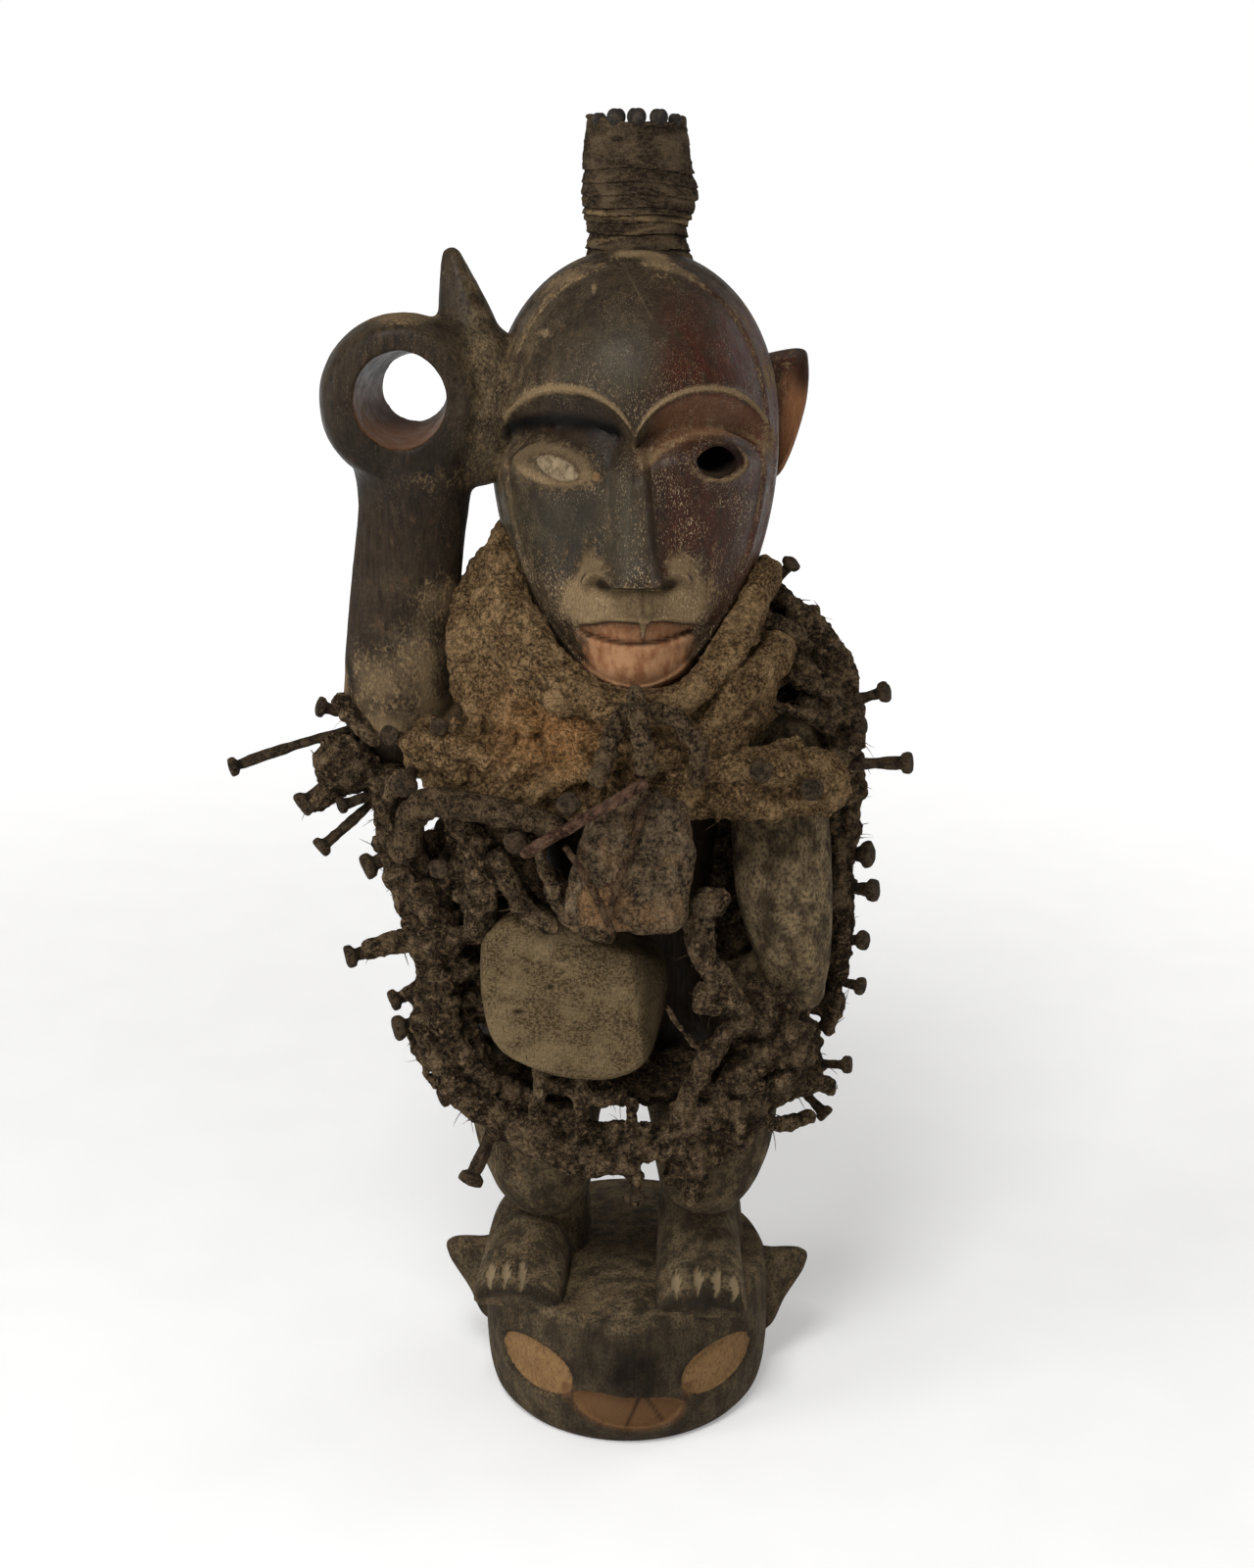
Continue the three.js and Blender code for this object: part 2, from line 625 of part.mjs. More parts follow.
/** The bundle on the crown: a round core wound with strips of cloth, whose edges step in and out. */
function crownBundle() {
  const base = at(4.5, -12, 553);
  const top = at(4.5, -12, 614);
  const swell = profile([
    [0, 0.93], [0.15, 0.9], [0.3, 0.95], [0.5, 1.05], [0.65, 1], [0.85, 0.99], [1, 0.93],
  ]);
  const strips = [0, 0.2, 0.26, 0.42, 0.48, 0.64, 0.7, 0.94, 1];
  const rings = strips.map((share, i) => {
    const size = swell(share) * (i % 2 ? 1 : 0.955);
    return Array.from({ length: 11 }, (_, j) => {
      const turn = (2 * Math.PI * j) / 11;
      return new THREE.Vector3(
        base.x + (CROWN_WIDTH / 2) * size * Math.cos(turn),
        base.y + (CROWN_DEPTH / 2) * size * Math.sin(turn),
        base.z + (top.z - base.z) * share + Math.sin(turn + 0.6) * (share > 0 && share < 0.9 ? 1 : 0),
      );
    });
  });
  return solidThrough(rings);
}

/** The dark beads stood along the front of the bundle's rim, each on its own turn. */
function crownBead(index) {
  const turn = (index - (CROWN_BEADS - 1) / 2) * 0.47;
  const seat = at(4.5, -12, 614);
  const geometry = new THREE.SphereGeometry(CROWN_BEAD / 2, 6, 4);
  geometry.translate(
    seat.x + CROWN_WIDTH * 0.42 * Math.sin(turn),
    seat.y - CROWN_DEPTH * 0.42 * Math.cos(turn),
    seat.z + GAP + CROWN_BEAD / 2,
  );
  return solidOf(geometry);
}

/** The rolled cloth tied round the neck under the chin. */
function neckRoll(grow = 0) {
  const ring = [
    stop(6, -92, 362, 8, 8),
    stop(33, -88, 370, 8, 8),
    stop(56, -71, 391, 7.5, 8),
    stop(66, -42, 410, 8, 8),
    stop(58, 0, 406, 10, 10),
    stop(24, 24, 402, 10, 10),
    stop(-20, 24, 402, 10, 10),
    stop(-52, 2, 408, 10, 10),
    stop(-63, -40, 418, 8.5, 11),
    stop(-56, -71, 394, 11, 12),
    stop(-26, -90, 366, 10, 10),
  ];
  return swept(ring, { steps: 18, sides: 6, reference: [0, 0, 1], closed: true, grow });
}

/** The resin mantle: a thick ring of crusted matter round the neck, deepest over the shoulders. */
function mantle(grow = 0) {
  const ring = [
    stop(-63, -32, 376, 14, 28),
    stop(-55, -61, 362, 13, 24),
    stop(-28, -76, 349, 12, 18),
    stop(10, -80, 343, 11, 14),
    stop(44, -72, 351, 12, 18),
    stop(60, -46, 370, 12, 19),
    stop(55, 0, 380, 12, 16),
    stop(20, 28, 376, 12, 22),
    stop(-30, 28, 378, 12, 24),
  ];
  return swept(ring, { steps: 14, sides: 6, reference: [0, 0, 1], closed: true, grow });
}

/** A wad swept along stops, as a solid that can be made again a little larger. */
function wad(stops, steps, reference = [0, 1, 0]) {
  return (grow) => swept(stops, { steps, sides: WAD_SIDES, reference, round: 0.8, grow });
}

/** A mass made of several wads grown into one. */
function mass(...forms) {
  return (grow) => joined(forms.map((form) => form(grow)));
}

/** The rags, rolls and wads: each one's name, its material and its form, the firmest first. */
function wads() {
  const band = wad([
    stop(-94, -61, 334, 13, 13), stop(-70, -68, 334, 17, 14), stop(-36, -76, 327, 18, 15),
    stop(0, -78, 321, 17, 14), stop(42, -75, 323, 17, 15), stop(74, -69, 326, 16, 14),
    stop(94, -58, 322, 13, 12),
  ], 6);
  const elbowKnob = (grow) => ball([-131, -40, 324], [15, 15, 14], grow);
  const leftOuter = wad([
    stop(-112, -40, 316, 12, 13), stop(-107, -48, 293, 10, 13), stop(-100, -52, 272, 9, 13),
    stop(-90, -54, 250, 9, 13), stop(-86, -54, 226, 9, 13), stop(-89, -56, 203, 12, 13),
    stop(-76, -58, 180, 13, 13),
  ], 9);
  const leftInner = wad([
    stop(-68, -32, 290, 25, 17), stop(-68, -34, 250, 25, 16), stop(-71, -40, 206, 20, 14),
  ], 2);
  const column = wad([
    stop(-69, -64, 298, 9, 20), stop(-68, -66, 281, 10, 22), stop(-68, -64, 264, 9, 20),
  ], 2);
  const shoulder = wad([
    stop(62, 2, 392, 12, 16), stop(82, -4, 374, 14, 20), stop(94, -8, 352, 14, 20),
    stop(99, -8, 326, 13, 19),
  ], 4);
  const rightOuter = wad([
    stop(100, 2, 322, 12, 18), stop(100, 2, 290, 12, 19), stop(96, 2, 240, 12, 19),
    stop(92, 0, 196, 12, 17),
  ], 4);
  const rightInner = wad([
    stop(66, 8, 300, 32, 12), stop(66, 10, 258, 34, 12), stop(66, 12, 222, 34, 11),
  ], 2);
  const hipLeft = wad([
    stop(-70, -58, 170, 13, 13), stop(-54, -66, 160, 13, 12), stop(-26, -72, 151, 10, 10),
    stop(6, -78, 150, 7, 7), stop(24, -76, 152, 8, 8),
  ], 8);
  const hipRight = wad([
    stop(54, -76, 216, 10, 10), stop(70, -64, 202, 16, 15), stop(64, -62, 182, 19, 16),
    stop(44, -68, 162, 17, 14), stop(32, -70, 142, 12, 10), stop(28, -68, 126, 7, 7),
  ], 9);
  const hipBack = wad([
    stop(86, -16, 164, 12, 12), stop(82, 20, 164, 12, 13), stop(50, 44, 164, 12, 13),
    stop(0, 50, 164, 12, 14), stop(-50, 44, 166, 12, 13), stop(-80, 14, 170, 12, 12),
    stop(-72, -46, 170, 12, 12),
  ], 8, [0, 0, 1]);
  return [
    ["neck_roll", resin, neckRoll],
    ["resin_mantle", resin, mass(mantle, band)],
    ["rag_mass_left", rag, mass(elbowKnob, leftOuter, leftInner, column)],
    ["rag_mass_right", rag, mass(shoulder, rightOuter, rightInner)],
    ["ribbed_roll", rag, wad([
      stop(-99, -78, 294, 6, 6), stop(-98, -84, 309, 7.5, 7), stop(-88, -90, 318, 7.5, 7),
      stop(-68, -98, 318, 7, 7), stop(-44, -103, 314, 6.5, 6), stop(-33, -104, 311, 6, 6),
    ], 6)],
    ["hip_rags", rag, mass(hipLeft, hipRight, hipBack)],
    ["back_rag", rag, wad([
      stop(66, 34, 300, 18, 12), stop(30, 48, 270, 24, 12), stop(0, 50, 258, 26, 12),
      stop(-34, 46, 272, 24, 12), stop(-70, 30, 302, 18, 12),
    ], 6)],
  ];
}

/** The middle of the belly box's face. */
function bellyBoxCentre() {
  return at(-25, -92, 226);
}

/** The belly box: a rounded block with a softly domed face. */
function bellyBox(grow = 0) {
  const [halfWidth, halfHeight] = [BELLY_BOX_WIDTH / 2 + grow, BELLY_BOX_HEIGHT / 2 + grow];
  const centre = bellyBoxCentre();
  const layers = [[0, 0.84], [0.08, 0.96], [0.25, 1], [1, 0.95]];
  const lean = 0.07;
  const rings = layers.map(([deep, size]) => Array.from({ length: 20 }, (_, j) => {
    const turn = (2 * Math.PI * j) / 20;
    const [c, s] = [Math.cos(turn), Math.sin(turn)];
    const power = 0.5;
    const x = halfWidth * size * Math.sign(c) * Math.abs(c) ** power;
    const z = halfHeight * size * Math.sign(s) * Math.abs(s) ** power;
    const y = (BELLY_BOX_DEPTH + 2 * grow) * deep - grow;
    return new THREE.Vector3(centre.x + x + lean * z, centre.y + y, centre.z + z);
  }));
  return solidThrough(rings);
}

/** The middle of the packet's face: it hangs in front of the belly box and laps over its top. */
function packetCentre() {
  const box = bellyBoxCentre();
  const rise = (BELLY_BOX_HEIGHT + PACKET_HEIGHT) / 2 - PACKET_LAP;
  return box.add(new THREE.Vector3(24 * UNIT, -PACKET_DEPTH - PACKET_STANDOFF, rise));
}

/** The medicine packet: a flat pouch with a gathered, pointed top. */
function packet(grow = 0) {
  const centre = packetCentre();
  const outline = [
    [-0.5, -0.46], [-0.1, -0.5], [0.42, -0.5], [0.47, -0.1], [0.52, 0.2], [0.44, 0.46],
    [0.2, 0.53], [-0.2, 0.52], [-0.42, 0.36], [-0.47, 0.05],
  ].map(([x, z]) => [
    centre.x + (PACKET_WIDTH + 2 * grow) * x,
    centre.z + (PACKET_HEIGHT + 2 * grow) * z,
  ]);
  return block(outline, centre.y - grow, centre.y + PACKET_DEPTH + grow, 3);
}

/** The cords tied round the packet, as thin straps on its face. */
function packetCord(index, grow = 0) {
  const centre = packetCentre();
  const lines = [
    [[-0.46, 0.18], [-0.28, -0.1], [-0.1, -0.44]],
    [[0.14, 0.34], [0.02, 0.12], [-0.06, -0.16]],
  ];
  const half = TWIG_WIDTH * 0.3;
  const corners = [[-1, -1], [1, -1], [1, 1], [-1, 1]];
  const rings = lines[index].map(([x, z]) => corners.map(([a, b]) => new THREE.Vector3(
    centre.x + PACKET_WIDTH * x + a * (half + grow),
    centre.y - GAP - half + b * (half + grow),
    centre.z + PACKET_HEIGHT * z,
  )));
  return solidThrough(rings);
}

/** The three twisted strands that hang from the neck roll, and the twig tied under them. */
function strand(index, grow = 0) {
  const width = STRAND_WIDTH / 2 / UNIT;
  const lines = [
    [stop(-4, -104, 360, width * 0.9), stop(-8, -108, 346, width * 1.05), stop(-12, -106, 335, width)],
    [stop(5, -106, 371, width * 0.9), stop(6, -113, 356, width), stop(8, -114, 341, width * 1.1)],
    [
      stop(16, -105, 361, width * 0.8), stop(26, -108, 355, width), stop(31, -108, 345, width),
      stop(31, -105, 335, width),
    ],
  ];
  return swept(lines[index], { steps: 2, sides: 6, round: 0.6, grow });
}

/** The reddish twig laid slantwise over the packet's top. */
function twig(grow = 0) {
  const half = TWIG_WIDTH / 2 + grow;
  return rod(at(-44, -114, 303), at(6, -121, 333), half, half * 0.8, 8);
}

/** A nail from its root to its spread head. */
function nail({ head: [hx, hy, hz], root: [rx, ry, rz], stout }) {
  const [tip, top] = [at(rx, ry, rz), at(hx, hy, hz)];
  const along = top.clone().sub(tip).normalize();
  const neck = top.clone().addScaledVector(along, -NAIL_HEAD_HEIGHT * stout);
  const rim = neck.clone().addScaledVector(along, NAIL_HEAD_HEIGHT * 0.3 * stout);
  const [shaft, wide] = [(NAIL_SHAFT / 2) * stout, (NAIL_HEAD / 2) * stout];
  const turned = new THREE.Quaternion().setFromUnitVectors(new THREE.Vector3(0, 0, 1), along);
  const rings = [[tip, shaft * 0.7], [neck, shaft], [rim, wide], [top, wide * 0.82]];
  return solidThrough(rings.map(([centre, radius]) => Array.from({ length: NAIL_SIDES }, (_, j) => {
    const turn = (2 * Math.PI * j) / NAIL_SIDES;
    const corner = new THREE.Vector3(radius * Math.cos(turn), radius * Math.sin(turn), 0);
    return corner.applyQuaternion(turned).add(centre);
  })));
}

// Where each nail's head stands and how deep its root goes, in drawn millimetres.
const NAILS = [
  { name: "elbow_top", head: [-145, -40, 352], root: [-124, -34, 346], stout: 1 },
  { name: "spike_long", head: [-187, -40, 322], root: [-126, -32, 340], stout: 1 },
  { name: "elbow_1", head: [-154, -44, 304], root: [-128, -34, 322], stout: 1.3 },
  { name: "elbow_2", head: [-145, -50, 285], root: [-116, -38, 309], stout: 1.05 },
  { name: "elbow_3", head: [-135, -50, 306], root: [-112, -40, 312], stout: 0.9 },
  { name: "flank_1", head: [-124, -52, 276], root: [-98, -46, 286], stout: 1.35 },
  { name: "flank_2", head: [-133, -56, 234], root: [-84, -46, 246], stout: 1.15 },
  { name: "flank_3", head: [-113, -50, 210], root: [-74, -40, 224], stout: 1.05 },
  { name: "flank_4", head: [-111, -56, 198], root: [-84, -48, 203], stout: 1.35 },
  { name: "flank_5", head: [-90, -56, 163], root: [-70, -52, 172], stout: 1 },
  { name: "thigh_left", head: [-76, -62, 122], root: [-60, -54, 158], stout: 1.3 },
  { name: "front_1", head: [-101, -88, 325], root: [-97, -58, 330], stout: 1.3 },
  { name: "front_2", head: [-109, -70, 345], root: [-104, -44, 338], stout: 1 },
  { name: "front_3", head: [-85, -84, 352], root: [-84, -58, 344], stout: 0.9 },
  { name: "front_4", head: [-86, -88, 286], root: [-84, -44, 283], stout: 1 },
  { name: "front_5", head: [-50, -107, 303], root: [-50, -92, 306], stout: 1.1 },
  { name: "front_6", head: [-26, -112, 323], root: [-25, -76, 320], stout: 1.15 },
  { name: "front_7", head: [60, -100, 335], root: [60, -64, 330], stout: 1.15 },
  { name: "front_8", head: [84, -88, 323], root: [80, -52, 322], stout: 1.15 },
  { name: "shoulder_1", head: [123, -30, 357], root: [86, -14, 344], stout: 1.1 },
  { name: "shoulder_2", head: [112, -34, 342], root: [92, -26, 336], stout: 1 },
  { name: "shoulder_3", head: [134, -38, 324], root: [88, -22, 318], stout: 1.15 },
  { name: "collar_right", head: [78, -20, 417], root: [63, -10, 396], stout: 0.95 },
  { name: "rib_1", head: [119, -14, 273], root: [98, -6, 271], stout: 1.35 },
  { name: "rib_2", head: [121, -20, 256], root: [98, -8, 254], stout: 1.2 },
  { name: "rib_3", head: [117, -16, 230], root: [95, -4, 228], stout: 1.1 },
  { name: "rib_4", head: [116, -16, 206], root: [92, -4, 208], stout: 1 },
  { name: "hip_1", head: [110, -22, 168], root: [88, -14, 166], stout: 1 },
  { name: "hip_2", head: [98, -32, 145], root: [82, -24, 161], stout: 1 },
  { name: "groin", head: [4, -84, 122], root: [2, -74, 150], stout: 1.1 },
];

/** A named mesh of a finished solid. */
function meshOf(name, solid, material) {
  const { numProp, numVert, vertProperties, triVerts } = solid.getMesh();
  const points = new Float32Array(numVert * 3);
  for (let i = 0; i < numVert; i += 1) {
    points.set(vertProperties.subarray(i * numProp, i * numProp + 3), i * 3);
  }
  const geometry = new THREE.BufferGeometry();
  geometry.setAttribute("position", new THREE.BufferAttribute(points, 3));
  geometry.setIndex(new THREE.BufferAttribute(triVerts, 1));
  const mesh = new THREE.Mesh(geometry, material);
  mesh.name = name;
  return mesh;
}

/** The firm pieces laid on the body: each one's name, its material and its form. */
function firmPieces() {
  return [
    ["packet_cord_1", rag, (grow) => packetCord(0, grow)],
    ["packet_cord_2", rag, (grow) => packetCord(1, grow)],
    ["medicine_packet", clay, packet],
    ["belly_box", clay, bellyBox],
    ["twig", twigBark, twig],
    ["collar_strand_left", rag, (grow) => strand(0, grow)],
    ["collar_strand_middle", rag, (grow) => strand(1, grow)],
    ["collar_strand_right", rag, (grow) => strand(2, grow)],
  ];
}

/** The whole figure as a group of named meshes: each piece is cut to the ones that it lies against. */
function figure() {
  const group = new THREE.Group();
  group.add(meshOf("carved_figure", largest(carving()), wood));
  group.add(meshOf("eye_inlay", eyePlug(0), shell));
  let taken = joined(carvingReach());
  for (const [name, material, form] of [...firmPieces(), ...wads()]) {
    group.add(meshOf(name, largest(form(0).subtract(taken)), material));
    taken = taken.add(form(GAP));
  }
  group.add(meshOf("crown_bundle", largest(crownBundle().subtract(head(GAP))), rag));
  for (let index = 0; index < CROWN_BEADS; index += 1) {
    group.add(meshOf(`crown_bead_${index + 1}`, crownBead(index), iron));
  }
  for (const one of NAILS) {
    group.add(meshOf(`nail_${one.name}`, largest(nail(one).subtract(taken)), iron));
  }
  return group;
}

export default figure();
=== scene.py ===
"""Dresses the standing power figure: carved wood, crusted rags, wrapped bundles and driven nails."""
import logging
import math
from dataclasses import dataclass, field
from enum import Enum
from typing import Callable

import bpy
import numpy as np
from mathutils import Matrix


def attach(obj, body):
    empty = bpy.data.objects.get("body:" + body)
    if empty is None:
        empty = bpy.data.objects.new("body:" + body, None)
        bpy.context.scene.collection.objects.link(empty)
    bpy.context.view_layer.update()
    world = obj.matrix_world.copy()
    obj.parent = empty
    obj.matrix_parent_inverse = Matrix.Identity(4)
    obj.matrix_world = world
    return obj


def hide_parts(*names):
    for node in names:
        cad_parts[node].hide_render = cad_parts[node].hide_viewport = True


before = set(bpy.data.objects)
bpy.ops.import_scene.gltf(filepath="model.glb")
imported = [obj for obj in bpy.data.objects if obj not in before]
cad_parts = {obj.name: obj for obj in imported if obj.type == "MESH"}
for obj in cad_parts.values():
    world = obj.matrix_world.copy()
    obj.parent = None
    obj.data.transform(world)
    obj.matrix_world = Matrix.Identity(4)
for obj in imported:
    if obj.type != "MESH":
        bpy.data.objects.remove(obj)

Array = np.ndarray
Colour = tuple[float, float, float]
Relief = Callable[[Array, Array], Array]
Object, Socket = bpy.types.Object, bpy.types.NodeSocket
Material, World = bpy.types.Material, bpy.types.World
log = logging.getLogger("figure")

# Forms are drawn in millimetres; the part's frame has them SET_BACK further back, in metres.
MM = 0.001
SET_BACK = 5.0
PLINTH_TOP = 66.0


# ---------------------------------------------------------------- curves and noise


def smooth(low: float, high: float, value: Array) -> Array:
    """0 below low and 1 above high, joined by 3s^2 - 2s^3 of the share s; low may be the larger.

    Args:
        low: Where the result is 0.
        high: Where the result is 1.
        value: The places asked for.

    Returns:
        One share for each place.
    """
    share = np.clip((np.asarray(value, float) - low) / (high - low), 0.0, 1.0)
    return share * share * (3.0 - 2.0 * share)


def bell(squared: Array) -> Array:
    """A bell of height 1: e to the minus squared distance."""
    return np.exp(-np.minimum(squared, 60.0))


def ridge(value: Array, middle: Array, half: Array) -> Array:
    """A bell across a value: 1 at the middle and 1/e at half away from it."""
    return bell(((value - middle) / half) ** 2)


def oval(x: Array, x0: float, half_x: float, z: Array, z0: float, half_z: float) -> Array:
    """A bell over a plane: 1 at x0, z0 and 1/e on the oval with the two half sizes."""
    return bell(((x - x0) / half_x) ** 2 + ((z - z0) / half_z) ** 2)


def turns(count: int) -> Array:
    """Even turns round a ring, in radians."""
    return 2 * np.pi * np.arange(count) / count


def spread(*parts: Array) -> Array:
    """Points from their coordinates, spread over each other's rows and columns."""
    return np.stack(np.broadcast_arrays(*parts), axis=-1)


def unit(rows: Array) -> Array:
    """Each row divided by its length."""
    return rows / np.maximum(np.linalg.norm(rows, axis=-1, keepdims=True), 1e-9)


class Profile:
    """A smooth curve through knots: a cubic on each span, with the slope between a knot's neighbours."""

    def __init__(self, *knots: tuple[float, float]) -> None:
        """Keeps the knots and works out their slopes.

        Args:
            knots: Pairs of place and value, by rising place.
        """
        self.places, self.values = np.array(knots, float).T
        last = len(knots) - 1
        before = np.maximum(np.arange(last + 1) - 1, 0)
        after = np.minimum(np.arange(last + 1) + 1, last)
        self.slopes = (self.values[after] - self.values[before]) / (self.places[after] - self.places[before])

    def __call__(self, place: Array) -> Array:
        """The curve's value at each place, held level beyond the end knots."""
        place = np.asarray(place, float)
        i = np.clip(np.searchsorted(self.places, place) - 1, 0, len(self.places) - 2)
        span = self.places[i + 1] - self.places[i]
        rise = self.values[i + 1] - self.values[i]
        t = np.clip((place - self.places[i]) / span, 0.0, 1.0)
        bend = t * (1 - t) * ((1 - t) * (self.slopes[i] * span - rise) + t * (rise - self.slopes[i + 1] * span))
        return self.values[i] + t * rise + bend


def lattice(cell: Array, seed: int) -> Array:
    """A fixed number from 0 to 1 for each whole-numbered cell, by mixing its three indices.

    Args:
        cell: Whole numbers with three columns.
        seed: Chooses another set of numbers.

    Returns:
        One number for each row.
    """
    word = cell.astype(np.int64)
    mixed = word[..., 0] * 73856093 ^ word[..., 1] * 19349663 ^ word[..., 2] * 83492791 ^ (seed + 1) * 2654435
    mixed = (mixed & 0xFFFFFFFF).astype(np.uint64)
    for shift, factor in ((16, 0x45D9F3B), (15, 0x2C1B3C6D), (16, 1)):
        mixed = ((mixed ^ (mixed >> np.uint64(shift))) * np.uint64(factor)) & np.uint64(0xFFFFFFFF)
    return mixed.astype(float) / 4294967295.0


def noise(points: Array, size: float | tuple[float, float, float], seed: int = 0) -> Array:
    """Smooth noise from 0 to 1: the lattice's numbers blended over each cell of the given size.

    Args:
        points: Points in millimetres.
        size: A cell's side, or its three sides.
        seed: Chooses another field.

    Returns:
        One value for each point.
    """
    spot = np.asarray(points, float) / np.asarray(size, float)
    base = np.floor(spot)
    part = spot - base
    part = part * part * (3 - 2 * part)
    total = np.zeros(spot.shape[:-1])
    for corner in np.ndindex(2, 2, 2):
        weight = np.prod(np.where(np.array(corner) == 1, part, 1 - part), axis=-1)
        total += weight * lattice(base + np.array(corner), seed)
    return total


def rough(points: Array, size: float, seed: int = 0, octaves: int = 3) -> Array:
    """Noise about 0, from -1 to 1: octaves of half the size and half the height, added up."""
    total, height = np.zeros(np.shape(points)[:-1]), 1.0
    for octave in range(octaves):
        total += height * (2 * noise(points, size / 2**octave, seed + 7 * octave) - 1)
        height *= 0.5
    return total / (2 - 0.5 ** (octaves - 1))


def nearest_grain(points: Array, size: float, seed: int = 0) -> Array:
    """Distance to the nearest of one strewn point a cell, as a share of the cell.

    Args:
        points: Points in millimetres.
        size: A cell's side.
        seed: Chooses another strewing.

    Returns:
        One distance for each point.
    """
    spot = np.asarray(points, float) / size
    nearest = np.full(spot.shape[:-1], 9.0)
    for offset in np.ndindex(3, 3, 3):
        cell = np.floor(spot) + np.array(offset) - 1
        strewn = cell + np.stack([lattice(cell, seed + k) for k in (11, 23, 37)], axis=-1)
        nearest = np.minimum(nearest, np.linalg.norm(strewn - spot, axis=-1))
    return nearest


# ---------------------------------------------------------------- skins


@dataclass
class Skin:
    """A closed surface in drawn millimetres: points, four-cornered faces and three-cornered faces."""

    points: Array
    quads: Array
    tris: Array

    def outward(self) -> "Skin":
        """The same skin with its faces turned out, judged by the sign of its volume."""
        halves = np.vstack([self.quads[:, [0, 1, 2]], self.quads[:, [0, 2, 3]], self.tris])
        a, b, c = (self.points[halves[:, k]] for k in range(3))
        if np.einsum("ij,ij->", a, np.cross(b, c)) < 0:
            return Skin(self.points, self.quads[:, ::-1], self.tris[:, ::-1])
        return self

    @staticmethod
    def through(grid: Array, closed: bool = False) -> "Skin":
        """The skin through rings of points, with a fan over each end unless the rings close on themselves.

        Args:
            grid: Points by ring and by place round the ring.
            closed: Whether the last ring joins the first.

        Returns:
            The closed skin.
        """
        rings, sides = grid.shape[:2]
        bands = rings if closed else rings - 1
        i, j = np.meshgrid(np.arange(bands), np.arange(sides), indexing="ij")
        ahead, beside = (i + 1) % rings, (j + 1) % sides
        quads = np.stack([i * sides + j, i * sides + beside, ahead * sides + beside, ahead * sides + j], -1)
        points = grid.reshape(-1, 3)
        tris = np.zeros((0, 3), int)
        if not closed:
            points = np.vstack([points, grid[0].mean(0), grid[-1].mean(0)])
            j = np.arange(sides)
            k, last = (j + 1) % sides, (rings - 1) * sides
            near = np.stack([np.full(sides, rings * sides), k, j], -1)
            far = np.stack([np.full(sides, rings * sides + 1), last + j, last + k], -1)
            tris = np.vstack([near, far])
        return Skin(points, quads.reshape(-1, 4), tris).outward()

    @staticmethod
    def together(skins: list["Skin"]) -> "Skin":
        """Several skins as one, each still its own shell."""
        starts = np.cumsum([0] + [len(s.points) for s in skins])
        return Skin(
            np.vstack([s.points for s in skins]),
            np.vstack([s.quads + at for s, at in zip(skins, starts)]),
            np.vstack([s.tris + at for s, at in zip(skins, starts)]),
        )

    def copies(self, points: Array) -> "Skin":
        """Many skins with this one's faces, each with its own row of points."""
        starts = (np.arange(len(points)) * len(self.points))[:, None, None]
        quads, tris = (self.quads + starts).reshape(-1, 4), (self.tris + starts).reshape(-1, 3)
        return Skin(points.reshape(-1, 3), quads, tris)

    def object(self, name: str) -> Object:
        """The skin as a Blender object in the part's frame, in metres.

        Args:
            name: The object's name.

        Returns:
            The object, linked to the scene.
        """
        mesh = bpy.data.meshes.new(name)
        corners = np.concatenate([self.quads.ravel(), self.tris.ravel()]).astype(np.int32)
        fours = np.arange(len(self.quads)) * 4
        threes = len(self.quads) * 4 + np.arange(len(self.tris)) * 3
        mesh.vertices.add(len(self.points))
        mesh.vertices.foreach_set("co", ((self.points + (0, SET_BACK, 0)) * MM).astype(np.float32).ravel())
        mesh.loops.add(len(corners))
        mesh.loops.foreach_set("vertex_index", corners)
        mesh.polygons.add(len(fours) + len(threes))
        mesh.polygons.foreach_set("loop_start", np.concatenate([fours, threes]).astype(np.int32))
        mesh.update(calc_edges=True)
        made = bpy.data.objects.new(name, mesh)
        bpy.context.scene.collection.objects.link(made)
        return made


def along_path(stops: Array, places: Array, closed: bool = False) -> tuple[Array, Array]:
    """Rows and their rates of change on the smooth curve through stops, by cubics with neighbour slopes.

    Args:
        stops: One row of any width for each stop.
        places: From 0 at the first stop to 1 at the last, or once round a closed curve.
        closed: Whether the curve closes.

    Returns:
        The rows, and how fast each grows.
    """
    stops = np.asarray(stops, float)
    count = len(stops)
    if closed:
        spot = np.mod(places, 1.0) * count
        first = np.minimum(np.floor(spot).astype(int), count - 1)
        p0, p1, p2, p3 = (stops[(first + k) % count] for k in (-1, 0, 1, 2))
    else:
        padded = np.vstack([2 * stops[0] - stops[1], stops, 2 * stops[-1] - stops[-2]])
        spot = np.clip(places, 0, 1) * (count - 1)
        first = np.minimum(np.floor(spot).astype(int), count - 2)
        p0, p1, p2, p3 = (padded[first + k] for k in range(4))
    w = (spot - first)[:, None]
    t0, t1 = 0.5 * (p2 - p0), 0.5 * (p3 - p1)
    c2, c3 = 3 * (p2 - p1) - 2 * t0 - t1, 2 * (p1 - p2) + t0 + t1
    return p1 + t0 * w + c2 * w**2 + c3 * w**3, t0 + 2 * c2 * w + 3 * c3 * w**2


def path_frame(stops: Array, places: Array, reference: Array, closed: bool) -> tuple[Array, ...]:
    """Rows, tangents and the two section directions of a swept form at each place.

    Args:
        stops: Rows of x, y, z and two half sizes.
        places: Places along the path.
        reference: The direction that the second half size is measured along.
        closed: Whether the path closes.

    Returns:
        Rows, tangents, across and up.
    """
    rows, rates = along_path(stops, places, closed)
    tangent = unit(rates[:, :3])
    across = unit(np.cross(np.asarray(reference, float), tangent))
    return rows, tangent, across, np.cross(tangent, across)


